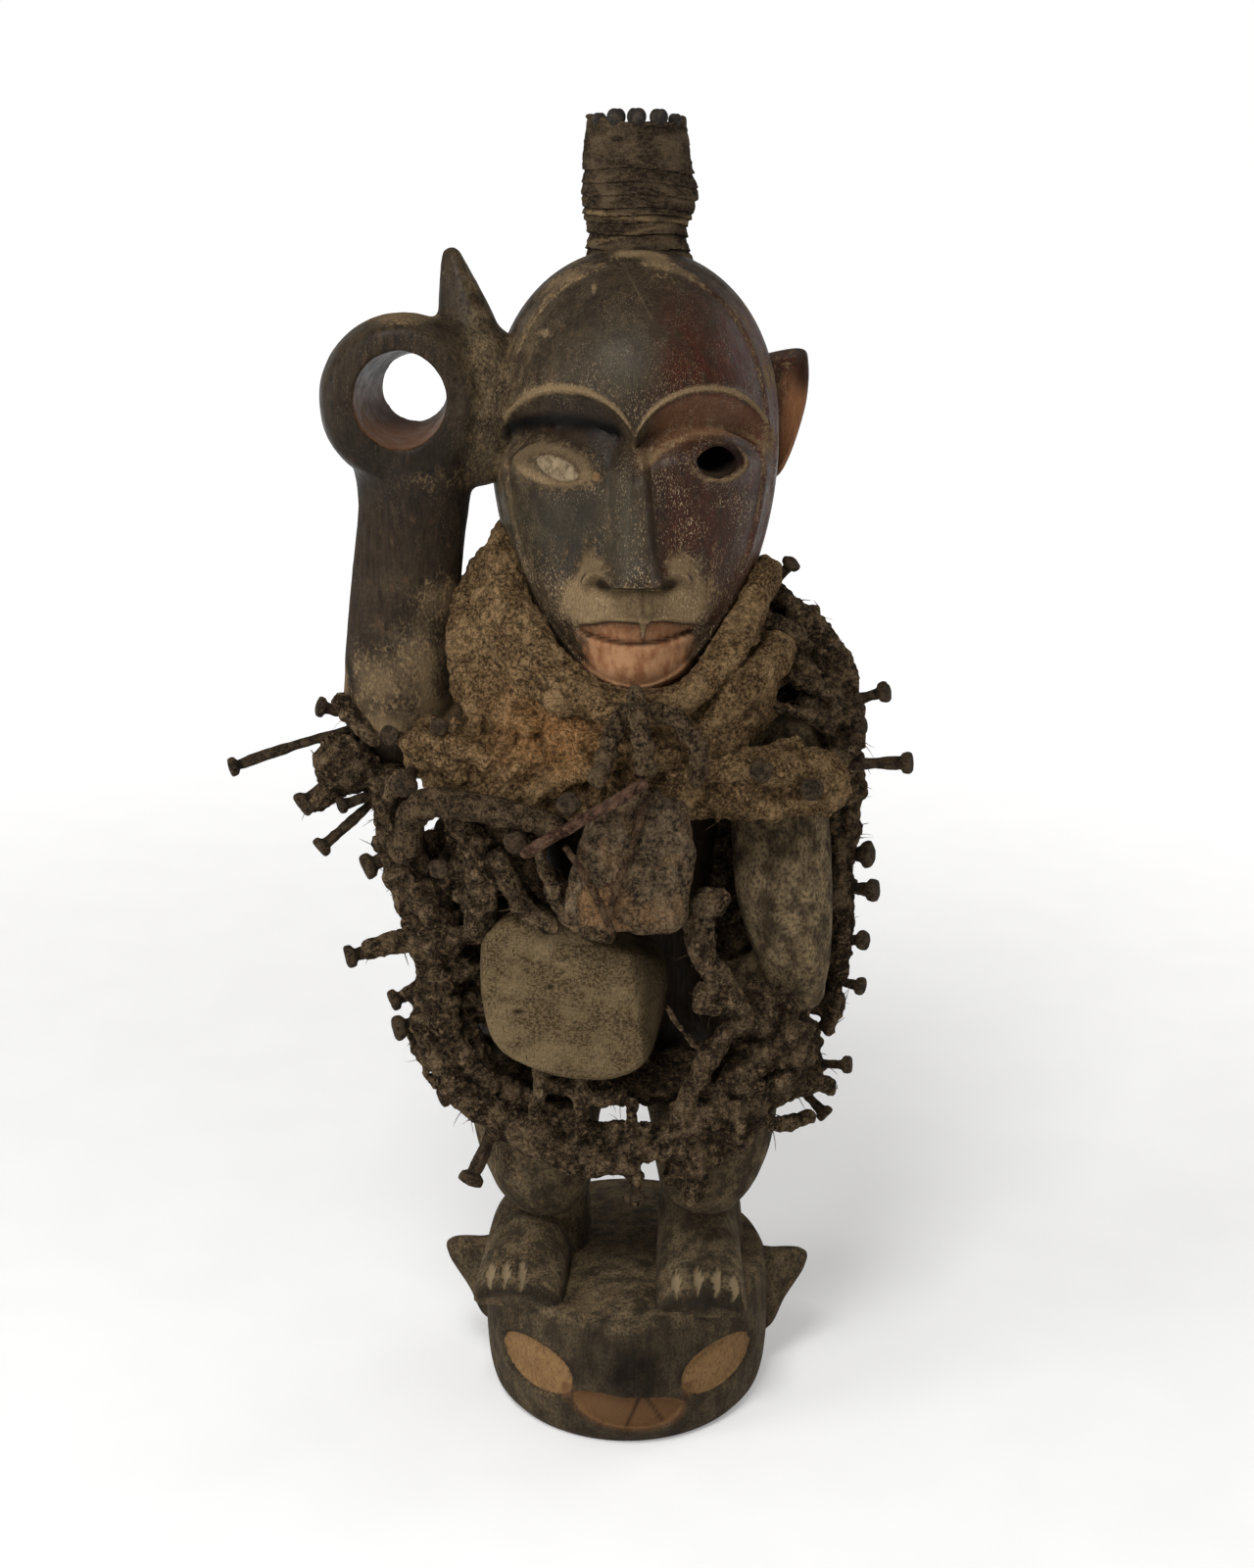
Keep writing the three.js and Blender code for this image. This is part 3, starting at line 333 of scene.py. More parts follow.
def on_ovals(rows: Array, across: Array, up: Array, turn: Array, out: Array) -> Array:
    """Points on a form's sections: centre + cos(turn) a out across + sin(turn) b out up.

    Args:
        rows: Rows of x, y, z and the half sizes a and b.
        across: The direction of a.
        up: The direction of b.
        turn: The angle round the section.
        out: How far out, as a share of the half sizes.

    Returns:
        The points.
    """
    a, b = np.cos(turn) * rows[..., 3] * out, np.sin(turn) * rows[..., 4] * out
    return rows[..., :3] + a[..., None] * across + b[..., None] * up


def lobes(depth: float, twist: float, count: int = 3) -> Relief:
    """Relief of lobes that wind twist times round a form over its length."""
    return lambda place, turn: 1 + depth * np.cos(count * (turn + 2 * np.pi * twist * place))


def swept(stops: list, steps: int, sides: int, reference: tuple = (0, 1, 0), rounding: float = 1.0,
          closed: bool = False, relief: Relief | None = None) -> Skin:
    """An oval section carried along a smooth path, its ends closed by domes.

    A point is centre + cos(turn) a across + sin(turn) b up; relief multiplies both half sizes.

    Args:
        stops: Rows of x, y, z and the half sizes a and b.
        steps: Spans along the path.
        sides: Points round the section.
        reference: The direction that b is measured along.
        rounding: How far the end domes stand out, as a share of the smaller half size.
        closed: Whether the path closes.
        relief: A factor for each place and turn.

    Returns:
        The closed skin.
    """
    places = np.arange(steps) / steps if closed else np.linspace(0, 1, steps + 1)
    shrink, shift = np.ones_like(places), np.zeros_like(places)
    if not closed:
        dome = np.radians([20.0, 42.0, 62.0, 78.0])
        places = np.concatenate([np.zeros(4), places, np.ones(4)])
        shrink = np.concatenate([np.cos(dome)[::-1], shrink, np.cos(dome)])
        shift = np.concatenate([-np.sin(dome)[::-1], shift, np.sin(dome)])
    rows, tangent, across, up = path_frame(stops, places, reference, closed)
    rows[:, :3] += tangent * (shift * np.minimum(rows[:, 3], rows[:, 4]) * rounding)[:, None]
    turn = turns(sides)[None, :]
    size = shrink[:, None] * (1.0 if relief is None else relief(places[:, None], turn))
    return Skin.through(on_ovals(rows[:, None], across[:, None], up[:, None], turn, size), closed)


def thread(points: list, thick: float, steps: int, sides: int, twist: float = 0.0, end: float = 1.0) -> Skin:
    """A round strand through points, its three lobes winding along it where twist is given.

    Args:
        points: Places that it runs through.
        thick: Its half width.
        steps: Spans along it.
        sides: Points round it.
        twist: Turns that the lobes make along its length.
        end: The half width at its last point, as a share of the first.

    Returns:
        The closed skin.
    """
    shares = np.linspace(1, end, len(points)) * thick
    stops = [(*p, s, s) for p, s in zip(points, shares)]
    return swept(stops, steps, sides, (0.3, 1.0, 0.15), relief=lobes(0.13, twist) if twist else None)


def scaled(stops: list, share: float) -> list:
    """Stops with their half sizes multiplied by share."""
    return [(x, y, z, a * share, b * share) for x, y, z, a, b in stops]


def wound(stops: list, count: int, seed: int, thick: float, laps: float, closed: bool = False,
          reference: tuple = (0, 1, 0), reach: float = 0.86) -> list[Skin]:
    """Seeded rag strands that wind over a swept form's skin, each along its own stretch of it.

    A strand's centre is the path plus reach times the section's oval, at an angle that grows along it.

    Args:
        stops: The form's stops.
        count: How many strands.
        seed: Fixes their places.
        thick: Their half width on average.
        laps: Turns round the form over its whole length.
        closed: Whether the form closes.
        reference: The form's reference direction.
        reach: How far out the strands lie, as a share of the form's half sizes.

    Returns:
        The strands' skins.
    """
    rng = np.random.default_rng(seed)
    strands = []
    for _ in range(count):
        start = rng.uniform(0, 1 if closed else 0.8)
        stretch = rng.uniform(0.18, 0.5)
        places = np.linspace(start, start + stretch if closed else min(1.0, start + stretch), 9)
        rows, _, across, up = path_frame(stops, places, reference, closed)
        spin = laps * rng.choice([-1.0, 1.0]) * rng.uniform(0.5, 1.2)
        angle = rng.uniform(0, 2 * np.pi) + 2 * np.pi * spin * (places - start)
        out = reach + 0.1 * np.sin(places * rng.uniform(20, 50) + rng.uniform(0, 6))
        centre = on_ovals(rows, across, up, angle, out)
        width = thick * rng.uniform(0.65, 1.3) * (0.6 + 0.4 * np.sin(np.linspace(0.25, np.pi - 0.25, 9)))
        rope = np.column_stack([centre, width, width * rng.uniform(0.7, 1.0)])
        strands.append(swept(rope, 18, 9, (0.3, 1.0, 0.15), relief=lobes(0.12, rng.uniform(1.5, 4.0))))
    return strands


def blobs(centres: Array, sizes: Array, seed: int) -> Skin:
    """Uneven balls, all worked out at once: a unit ball's points times each ball's three sizes, turned.

    Args:
        centres: One middle for each ball.
        sizes: Three half sizes for each ball.
        seed: Fixes how they are turned.

    Returns:
        All the balls as one skin.
    """
    rise, turn = np.linspace(0.3, np.pi - 0.3, 6)[:, None], turns(9)[None, :]
    one = Skin.through(spread(np.sin(rise) * np.cos(turn), np.sin(rise) * np.sin(turn), np.cos(rise)))
    axes = np.linalg.qr(np.random.default_rng(seed).normal(size=(len(centres), 3, 3)))[0]
    axes = axes * np.sign(np.linalg.det(axes))[:, None, None]
    return one.copies(centres[:, None] + np.einsum("npk,nkj->npj", one.points * sizes[:, None], axes))


def strewn(stops: list, count: int, seed: int, size: float, closed: bool = False,
           reference: tuple = (0, 1, 0), reach: float = 0.9) -> Skin:
    """Seeded lumps sunk in a swept form's skin: middles on reach times its ovals, sizes about size.

    Args:
        stops: The form's stops.
        count: How many lumps.
        seed: Fixes their places.
        size: Their half size on average.
        closed: Whether the form closes.
        reference: The form's reference direction.
        reach: How far out they sit, as a share of the form's half sizes.

    Returns:
        The lumps as one skin.
    """
    rng = np.random.default_rng(seed)
    rows, _, across, up = path_frame(stops, rng.uniform(0, 1, count), reference, closed)
    angle = rng.uniform(0, 2 * np.pi, count)
    out = reach * rng.uniform(0.85, 1.1, count)
    centres = on_ovals(rows, across, up, angle, out)
    sizes = size * rng.uniform(0.5, 1.45, (count, 1)) * rng.uniform(0.6, 1.4, (count, 3))
    return blobs(centres, sizes, seed + 1)


def fibres(points: Array, normals: Array, count: int, seed: int, long: float, thick: float) -> Skin:
    """Frayed fibres that stand on a skin, three-sided and pointed, all worked out at once.

    A fibre runs along p + d L t + b L t^2, with its direction d between the normal and a seeded one.

    Args:
        points: The skin's points.
        normals: Their normals.
        count: How many fibres.
        seed: Fixes their places and bends.
        long: Their length on average.
        thick: Their half width at the root.

    Returns:
        All the fibres as one skin.
    """
    rng = np.random.default_rng(seed)
    pick = rng.integers(0, len(points), count)
    lean = unit(normals[pick] * 0.8 + unit(rng.normal(size=(count, 3))) * 0.9)
    bend = unit(rng.normal(size=(count, 3)) + (0, 0, -0.7)) * 0.6
    length = (long * rng.uniform(0.35, 1.5, count) ** 1.3)[:, None, None]
    t = np.array([0, 0.3, 0.6, 0.85, 1.0])[:, None]
    path = points[pick][:, None] + length * (t * lean[:, None] + t**2 * bend[:, None]) - lean[:, None] * 0.6
    across = unit(np.cross(lean, rng.normal(size=(count, 3))))
    up = np.cross(lean, across)
    width = thick * rng.uniform(0.6, 1.3, count)[:, None] * np.array([1, 0.9, 0.75, 0.5, 0.2])
    turn = turns(3)[:, None]
    ring = np.cos(turn) * across[:, None, None] + np.sin(turn) * up[:, None, None]
    grid = path[:, :, None] + width[..., None, None] * ring
    ends = np.stack([grid[:, 0].mean(1), grid[:, -1].mean(1)], axis=1)
    return Skin.through(grid[0]).copies(np.concatenate([grid.reshape(count, 15, 3), ends], axis=1))


def layered(outline: list | tuple, count: int, middle: tuple | None, layers: list,
            place: Callable[..., tuple]) -> Skin:
    """A skin of layers: a closed outline drawn in about its middle, layer by layer, each set in its place.

    Args:
        outline: Points of the outline.
        count: Points in each layer.
        middle: What it is drawn in about; None for the mean of its points.
        layers: Each layer's size and depth.
        place: Gives x, y and z for a layer's two coordinates, its depth and its size.

    Returns:
        The closed skin.
    """
    edge, _ = along_path(np.array(outline), np.linspace(0, 1, count + 1)[:-1], True)
    middle = edge.mean(0) if middle is None else np.array(middle)
    rings = [spread(*place(*(middle + (edge - middle) * size).T, deep, size)) for size, deep in layers]
    return Skin.through(np.array(rings))


# ---------------------------------------------------------------- meshes in Blender


def settle(made: Object) -> None:
    """Applies an object's modifiers to its mesh."""
    graph = bpy.context.evaluated_depsgraph_get()
    mesh = bpy.data.meshes.new_from_object(made.evaluated_get(graph))
    made.modifiers.clear()
    before, made.data = made.data, mesh
    bpy.data.meshes.remove(before)


def modify(made: Object, kind: str, **settings: object) -> None:
    """Adds one modifier with its settings and applies it.

    Args:
        made: The object.
        kind: The modifier's type.
        settings: The modifier's values by name.
    """
    step = made.modifiers.new(kind.lower(), kind)
    for key, value in settings.items():
        setattr(step, key, value)
    settle(made)


def grown_together(made: Object, voxel: float, evening: int) -> None:
    """Remeshes crossing shells into one skin of even faces, then evens it out.

    Args:
        made: The object.
        voxel: The faces' size in millimetres.
        evening: How many smoothing rounds follow.
    """
    modify(made, "REMESH", mode="VOXEL", voxel_size=voxel * MM, adaptivity=0.0)
    modify(made, "SMOOTH", factor=0.5, iterations=evening)


def united(whole: Object, other: Object, kind: str = "UNION") -> None:
    """Joins another solid to this one, or cuts it out, and removes the other.

    Args:
        whole: The object that is kept.
        other: The object that is used up.
        kind: UNION or DIFFERENCE.
    """
    modify(whole, "BOOLEAN", operation=kind, object=other, solver="MANIFOLD")
    bpy.data.objects.remove(other, do_unlink=True)


def read(made: Object) -> tuple[Array, Array]:
    """A mesh's points in drawn millimetres, and its normals."""
    count = len(made.data.vertices)
    points, normals = np.empty(count * 3, np.float32), np.empty(count * 3, np.float32)
    made.data.vertices.foreach_get("co", points)
    made.data.vertex_normals.foreach_get("vector", normals)
    return points.reshape(-1, 3).astype(float) / MM - (0, SET_BACK, 0), normals.reshape(-1, 3).astype(float)


def shift(made: Object, out: Callable[[Array, Array], Array]) -> None:
    """Moves each point along its normal.

    Args:
        made: The object.
        out: Gives millimetres for points and normals.
    """
    points, normals = read(made)
    moved = points + normals * out(points, normals)[:, None]
    made.data.vertices.foreach_set("co", ((moved + (0, SET_BACK, 0)) * MM).astype(np.float32).ravel())
    made.data.update()


def hollows(made: Object, rounds: int) -> Array:
    """How deep each point lies under its neighbourhood, in millimetres; crests are negative.

    The points are averaged with their neighbours over and over, and the way from a point to its
    average is measured along the normal.

    Args:
        made: The object.
        rounds: How many averages, so how wide a neighbourhood.

    Returns:
        One depth for each point.
    """
    points, normals = read(made)
    edges = np.empty(len(made.data.edges) * 2, np.int32)
    made.data.edges.foreach_get("vertices", edges)
    one, two = edges[0::2], edges[1::2]
    count = len(points)
    near = np.maximum(np.bincount(one, minlength=count) + np.bincount(two, minlength=count), 1)
    even = points.copy()
    for _ in range(rounds):
        total = np.stack([
            np.bincount(one, even[two, k], count) + np.bincount(two, even[one, k], count) for k in range(3)
        ], axis=-1)
        even = 0.5 * even + 0.5 * total / near[:, None]
    return np.einsum("ij,ij->i", even - points, normals)


def mark(made: Object, name: str, values: Array) -> None:
    """Stores one number a point, from 0 to 1, for the materials to read."""
    layer = made.data.attributes.new(name, "FLOAT", "POINT")
    layer.data.foreach_set("value", np.clip(values, 0, 1).astype(np.float32))


def soften(made: Object, angle: float) -> None:
    """Shades an object smooth except over edges sharper than the angle in degrees."""
    made.data.shade_smooth()
    made.data.set_sharp_from_angle(angle=math.radians(angle))


# ---------------------------------------------------------------- finishes


class Recipe:
    """One node tree, written step by step: tone laid over tone, and relief over relief."""

    def __init__(self, owner: Material | World) -> None:
        """Starts an empty tree for a material or the world, with its object coordinates."""
        owner.use_nodes = True
        self.owner, self.tree = owner, owner.node_tree
        self.tree.nodes.clear()
        self.place = self.add("ShaderNodeTexCoord", {}, "Object")
        self.colour = self.normal = None

    def add(self, kind: str, inputs: dict, output: int | str = 0, **settings: object) -> Socket:
        """Adds a node, sets or links its inputs, and returns one output.

        Args:
            kind: The node's type.
            inputs: Values or sockets by input name or number.
            output: The wanted output.
            settings: The node's own values.

        Returns:
            The output socket.
        """
        node = self.tree.nodes.new(kind)
        for key, value in settings.items():
            setattr(node, key, value)
        for key, value in inputs.items():
            if isinstance(value, Socket):
                self.tree.links.new(value, node.inputs[key])
            else:
                node.inputs[key].default_value = value
        return node.outputs[output] if node.outputs else None

    def grain(self, size: float, stretch: Colour = (1, 1, 1), detail: float = 4.0,
              wander: float = 0.0) -> Socket:
        """Noise whose features are size millimetres across, longer along an axis by its stretch."""
        place = self.add("ShaderNodeMapping", {"Vector": self.place, "Scale": tuple(1.0 / s for s in stretch)})
        return self.add("ShaderNodeTexNoise", {"Vector": place, "Scale": 1.0 / (size * MM), "Detail": detail,
                                               "Roughness": 0.6, "Distortion": wander})

    def knots(self, size: float) -> tuple[Socket, ...]:
        """Lumps of a size in millimetres with wandering walls: the distance to the middle and to the wall."""
        noise_in = {"Vector": self.place, "Scale": 0.9 / (size * MM), "Detail": 4.0}
        wander = self.add("ShaderNodeTexNoise", noise_in, "Color")
        bent = self.add("ShaderNodeVectorMath", {0: wander, 1: (0.5, 0.5, 0.5)}, operation="SUBTRACT")
        bent = self.add("ShaderNodeVectorMath", {0: bent, 1: (3.6 * size * MM,) * 3, 2: self.place},
                        operation="MULTIPLY_ADD")
        lumps = "ShaderNodeTexVoronoi", {"Vector": bent, "Scale": 1.0 / (size * MM)}
        return self.add(*lumps, feature="F1"), self.add(*lumps, feature="DISTANCE_TO_EDGE")

    def marked(self, name: str) -> Socket:
        """A stored number of the piece."""
        return self.add("ShaderNodeAttribute", {}, "Fac", attribute_name=name)

    def level(self, value: Socket, low: float, high: float, to_low: float = 0.0,
              to_high: float = 1.0) -> Socket:
        """A value brought smoothly from low..high to to_low..to_high."""
        return self.add("ShaderNodeMapRange", {0: value, 1: low, 2: high, 3: to_low, 4: to_high},
                        interpolation_type="SMOOTHSTEP")

    def math(self, how: str, one: object, two: object) -> Socket:
        """Two values joined by a math operation, kept from 0 to 1."""
        return self.add("ShaderNodeMath", {0: one, 1: two}, operation=how, use_clamp=True)

    def times(self, one: object, two: object) -> Socket:
        """The product of two values."""
        return self.math("MULTIPLY", one, two)

    def plus(self, one: object, two: object) -> Socket:
        """The sum of two values, at most 1."""
        return self.math("ADD", one, two)

    def mix(self, share: object, one: object, two: object, how: str = "MIX") -> Socket:
        """Two colours mixed by a share."""
        one, two = (c if isinstance(c, Socket) else (*c, 1.0) for c in (one, two))
        return self.add("ShaderNodeMix", {0: share, 6: one, 7: two}, 2, data_type="RGBA", blend_type=how)

    def lay(self, share: object, tone: object) -> None:
        """Lays a tone over the colour so far, by a share."""
        self.colour = self.mix(share, self.colour, tone)

    def raised(self, height: object, depth: float) -> None:
        """Lays relief of a height from 0 to 1, depth millimetres deep, over the relief so far."""
        inputs = {"Height": height, "Distance": depth * MM, "Strength": 1.0}
        if self.normal:
            inputs["Normal"] = self.normal
        self.normal = self.add("ShaderNodeBump", inputs)

    def done(self, roughness: object, specular: float, glow: object = 0.0) -> Material:
        """Joins the colour and relief so far to the shader.

        Args:
            roughness: How matt it is.
            specular: The strength of its gloss.
            glow: How strongly it shines by itself, in white.

        Returns:
            The material.
        """
        return self.shaded(self.add("ShaderNodeBsdfPrincipled", {
            "Base Color": self.colour, "Roughness": roughness, "Normal": self.normal,
            "Specular IOR Level": specular, "Emission Color": (1.0, 1.0, 1.0, 1.0), "Emission Strength": glow,
        }))

    def shaded(self, shader: Socket) -> Material | World:
        """Links a shader to the output, and hands back what the tree belongs to."""
        world = isinstance(self.owner, World)
        self.add("ShaderNodeOutputWorld" if world else "ShaderNodeOutputMaterial", {"Surface": shader})
        return self.owner


@dataclass(frozen=True)
class CarvedWoodFinish:
    """Dark polished wood, red where it is rubbed, with dust in the cuts, bare wood where it is worn, a painted
    grey sheen and painted shade.
    """

    deep: Colour = (0.0088, 0.0062, 0.0042)
    brown: Colour = (0.0240, 0.0158, 0.0094)
    grey: Colour = (0.0300, 0.0255, 0.0165)
    red: Colour = (0.050, 0.0108, 0.0054)
    warm: Colour = (0.205, 0.092, 0.040)
    earth: Colour = (0.098, 0.066, 0.036)
    dust: Colour = (0.170, 0.117, 0.061)
    worn: Colour = (0.100, 0.050, 0.022)
    bare: Colour = (0.205, 0.119, 0.051)
    lip: Colour = (0.160, 0.066, 0.030)
    chin: Colour = (0.268, 0.142, 0.071)
    haze: Colour = (0.176, 0.127, 0.069)
    fleck: Colour = (0.330, 0.240, 0.145)
    pale: Colour = (0.215, 0.160, 0.092)

    def make(self, name: str) -> Material:
        """The material: grain and mottling, then red, painted grey sheen, dust, flecks, bare wood and painted
        shade by the stored marks.

        Args:
            name: The material's name.

        Returns:
            The material.
        """
        r = Recipe(bpy.data.materials.new(name))
        grain = r.grain(1.9, (1, 1, 10), 5)
        fine = r.grain(0.55, (1, 1, 4), 3)
        mottle = r.grain(22, detail=4)
        speck = r.grain(0.5, (1, 1, 2.6), 3)
        cloud = r.grain(5.0, (1, 1, 1.6), 6)
        powder = r.grain(1.3, (1, 1, 1.3), 5)
        r.colour = r.mix(r.level(grain, 0.34, 0.68), self.deep, self.brown)
        r.lay(r.times(r.level(mottle, 0.4, 0.66), 0.3), self.brown)
        # Painted grey sheen on the forehead, left cheek and nose ridge, and a grey tone on the legs and plinth.
        r.lay(r.times(r.marked("grey"), r.level(mottle, 0.2, 0.6, 0.5, 1.0)), self.grey)
        reddened = r.times(r.marked("red"), r.level(r.grain(8, (1, 1, 2.5), 4), 0.22, 0.6))
        r.lay(reddened, r.mix(r.level(fine, 0.3, 0.62), self.deep, self.red))
        warmed = r.times(r.marked("warm"), r.level(fine, 0.15, 0.55, 0.55, 1.0))
        r.lay(warmed, r.mix(r.level(grain, 0.35, 0.62), self.lip, self.warm))
        hazy = r.times(r.marked("haze"), r.level(r.grain(9, (1, 1, 1.4), 6), 0.36, 0.64, 0.12, 1.0))
        hazy = r.times(hazy, r.level(powder, 0.38, 0.56, 0.25, 1.0))
        r.lay(hazy, self.haze)
        dusty = r.plus(r.marked("dust"), r.times(r.marked("hollow"), 0.12))
        spread = r.plus(r.level(cloud, 0.25, 0.75, -0.42, 0.42), r.level(powder, 0.25, 0.75, -0.55, 0.55))
        dusted = r.level(r.plus(dusty, r.times(spread, r.level(dusty, 0.0, 0.3))), 0.16, 0.92, 0.0, 0.95)
        r.lay(dusted, r.mix(r.level(fine, 0.32, 0.62), self.earth, self.dust))
        sown = r.level(speck, 0.575, 0.625, 0.0, 0.95)
        sown = r.times(sown, r.level(r.grain(11, (1, 1, 1.5), 4), 0.40, 0.60, 0.12, 1.0))
        flecked = r.times(sown, r.marked("fleck"))
        r.lay(flecked, self.fleck)
        bared = r.level(r.marked("bare"), 0.4, 0.62)
        bare_tone = r.mix(r.level(r.grain(1.5, (1, 1, 1.6), 7), 0.22, 0.6), self.worn, self.bare)
        bare_tone = r.mix(r.times(r.level(mottle, 0.46, 0.62), 0.3), bare_tone, self.worn)
        bare_tone = r.mix(r.times(r.level(powder, 0.42, 0.34), 0.6), bare_tone, self.earth)
        bare_tone = r.mix(r.times(r.marked("warm"), 1.0), bare_tone, self.worn)
        r.lay(bared, bare_tone)
        fleshed = r.level(r.plus(r.marked("chin"), r.level(cloud, 0.25, 0.75, -0.25, 0.25)), 0.1, 0.8)
        flesh = r.mix(r.level(r.grain(9, (0.6, 1, 1), 6), 0.36, 0.6), self.lip, self.chin)
        r.lay(fleshed, flesh)
        r.lay(r.marked("pale"), self.pale)
        cracks = r.level(r.grain(1.3, (1, 1, 18), 2), 0.32, 0.28)
        dry = r.times(cracks, r.plus(r.times(bared, 0.2), 0.3))
        r.lay(r.times(dry, 0.7), self.deep)
        # Painted shade: near black where the dark mark is set.
        r.lay(r.marked("dark"), (0.003, 0.0024, 0.002))
        dull = dusted
        for other in (r.marked("dull"), fleshed, bared):
            dull = r.math("MAXIMUM", dull, other)
        gloss = r.level(r.grain(6, detail=5), 0.3, 0.7, 0.34, 0.52)
        roughness = r.plus(gloss, r.level(dull, 0.0, 0.7, 0.0, 0.5))
        r.raised(grain, 0.14)
        r.raised(cloud, 0.35)
        r.raised(powder, 0.16)
        r.raised(r.math("SUBTRACT", 1.0, dry), 0.3)
        r.raised(dusted, 0.12)
        return r.done(roughness, 0.09)


@dataclass(frozen=True)
class MatterFinish:
    """Crusted, fibrous or earthy matter: three tones by noise, painted shade in hollows and between knots,
    lighter on crests by dust and painted highlight.
    """

    dark: Colour
    middle: Colour
    light: Colour
    tint: Colour
    lump: float = 9.0
    crumb: float = 1.6
    stretch: Colour = (1, 1, 1)
    relief: float = 1.3
    tangle: float = 2.5
    pitted: float = 0.85
    gloss: float = 0.9
    tinted: float = 0.0
    crest: float = 0.6
    shine: float = 0.06
    knot: float = 4.2
    knotted: float = 0.0

    def make(self, name: str) -> Material:
        """The material: tones by lump and crumb noise, tint by its mark, painted shade in hollows, relief by
        crumb and cracks.

        Args:
            name: The material's name.

        Returns:
            The material.
        """
        r = Recipe(bpy.data.materials.new(name))
        lump = r.grain(self.lump, self.stretch, 4)
        crumb = r.grain(self.crumb * 1.5, self.stretch, 6, 0.3)
        fine = r.grain(self.crumb * 0.5, self.stretch, 3)
        hair = r.grain(self.crumb * 0.8, (1, 1, 5), 4, self.tangle)
        r.colour = r.mix(r.level(crumb, 0.40, 0.60), self.dark, self.middle)
        r.lay(r.times(r.level(lump, 0.44, 0.64), 0.65), self.light)
        r.lay(r.times(r.marked("tint"), r.level(crumb, 0.3, 0.55)), self.tint)
        if self.tinted:
            r.lay(r.times(r.level(r.grain(self.lump * 1.7, detail=3), 0.5, 0.66), self.tinted), self.tint)
        # Lighter on crests: partly dust, partly a painted highlight.
        lit = r.times(r.level(r.marked("crest"), 0.1, 0.8), r.level(crumb, 0.42, 0.58))
        r.lay(r.times(lit, self.crest), self.light)
        grit = r.times(r.level(fine, 0.58, 0.70), 0.75)
        r.lay(grit, tuple(c * 1.35 for c in self.light))
        pits = r.times(r.level(r.math("MINIMUM", fine, hair), 0.43, 0.33), self.pitted)
        r.lay(pits, tuple(c * 0.45 for c in self.dark))
        # Painted shade: darker where the skin lies in a hollow.
        sunk = r.times(r.marked("hollow"), 0.85)
        r.lay(sunk, tuple(c * 0.35 for c in self.dark))
        r.raised(crumb, self.crumb * self.relief)
        r.raised(hair, self.crumb * self.relief * 0.6)
        if self.knotted:
            # Painted shade in the gaps between the knots and a painted highlight on their tops.
            middle, wall = r.knots(self.knot)
            gap = r.times(r.level(wall, 0.13, 0.02), self.knotted)
            r.lay(gap, tuple(c * 0.4 for c in self.dark))
            top = r.times(r.level(middle, 0.42, 0.1), 0.45 * self.knotted)
            r.lay(top, self.light)
            r.raised(r.level(middle, 0.0, 0.75, 1.0, 0.0), 0.5 * self.knot * self.knotted)
        r.raised(fine, self.crumb * self.relief * 0.35)
        return r.done(r.level(crumb, 0.3, 0.7, self.gloss, min(1.0, self.gloss + 0.12)), self.shine)


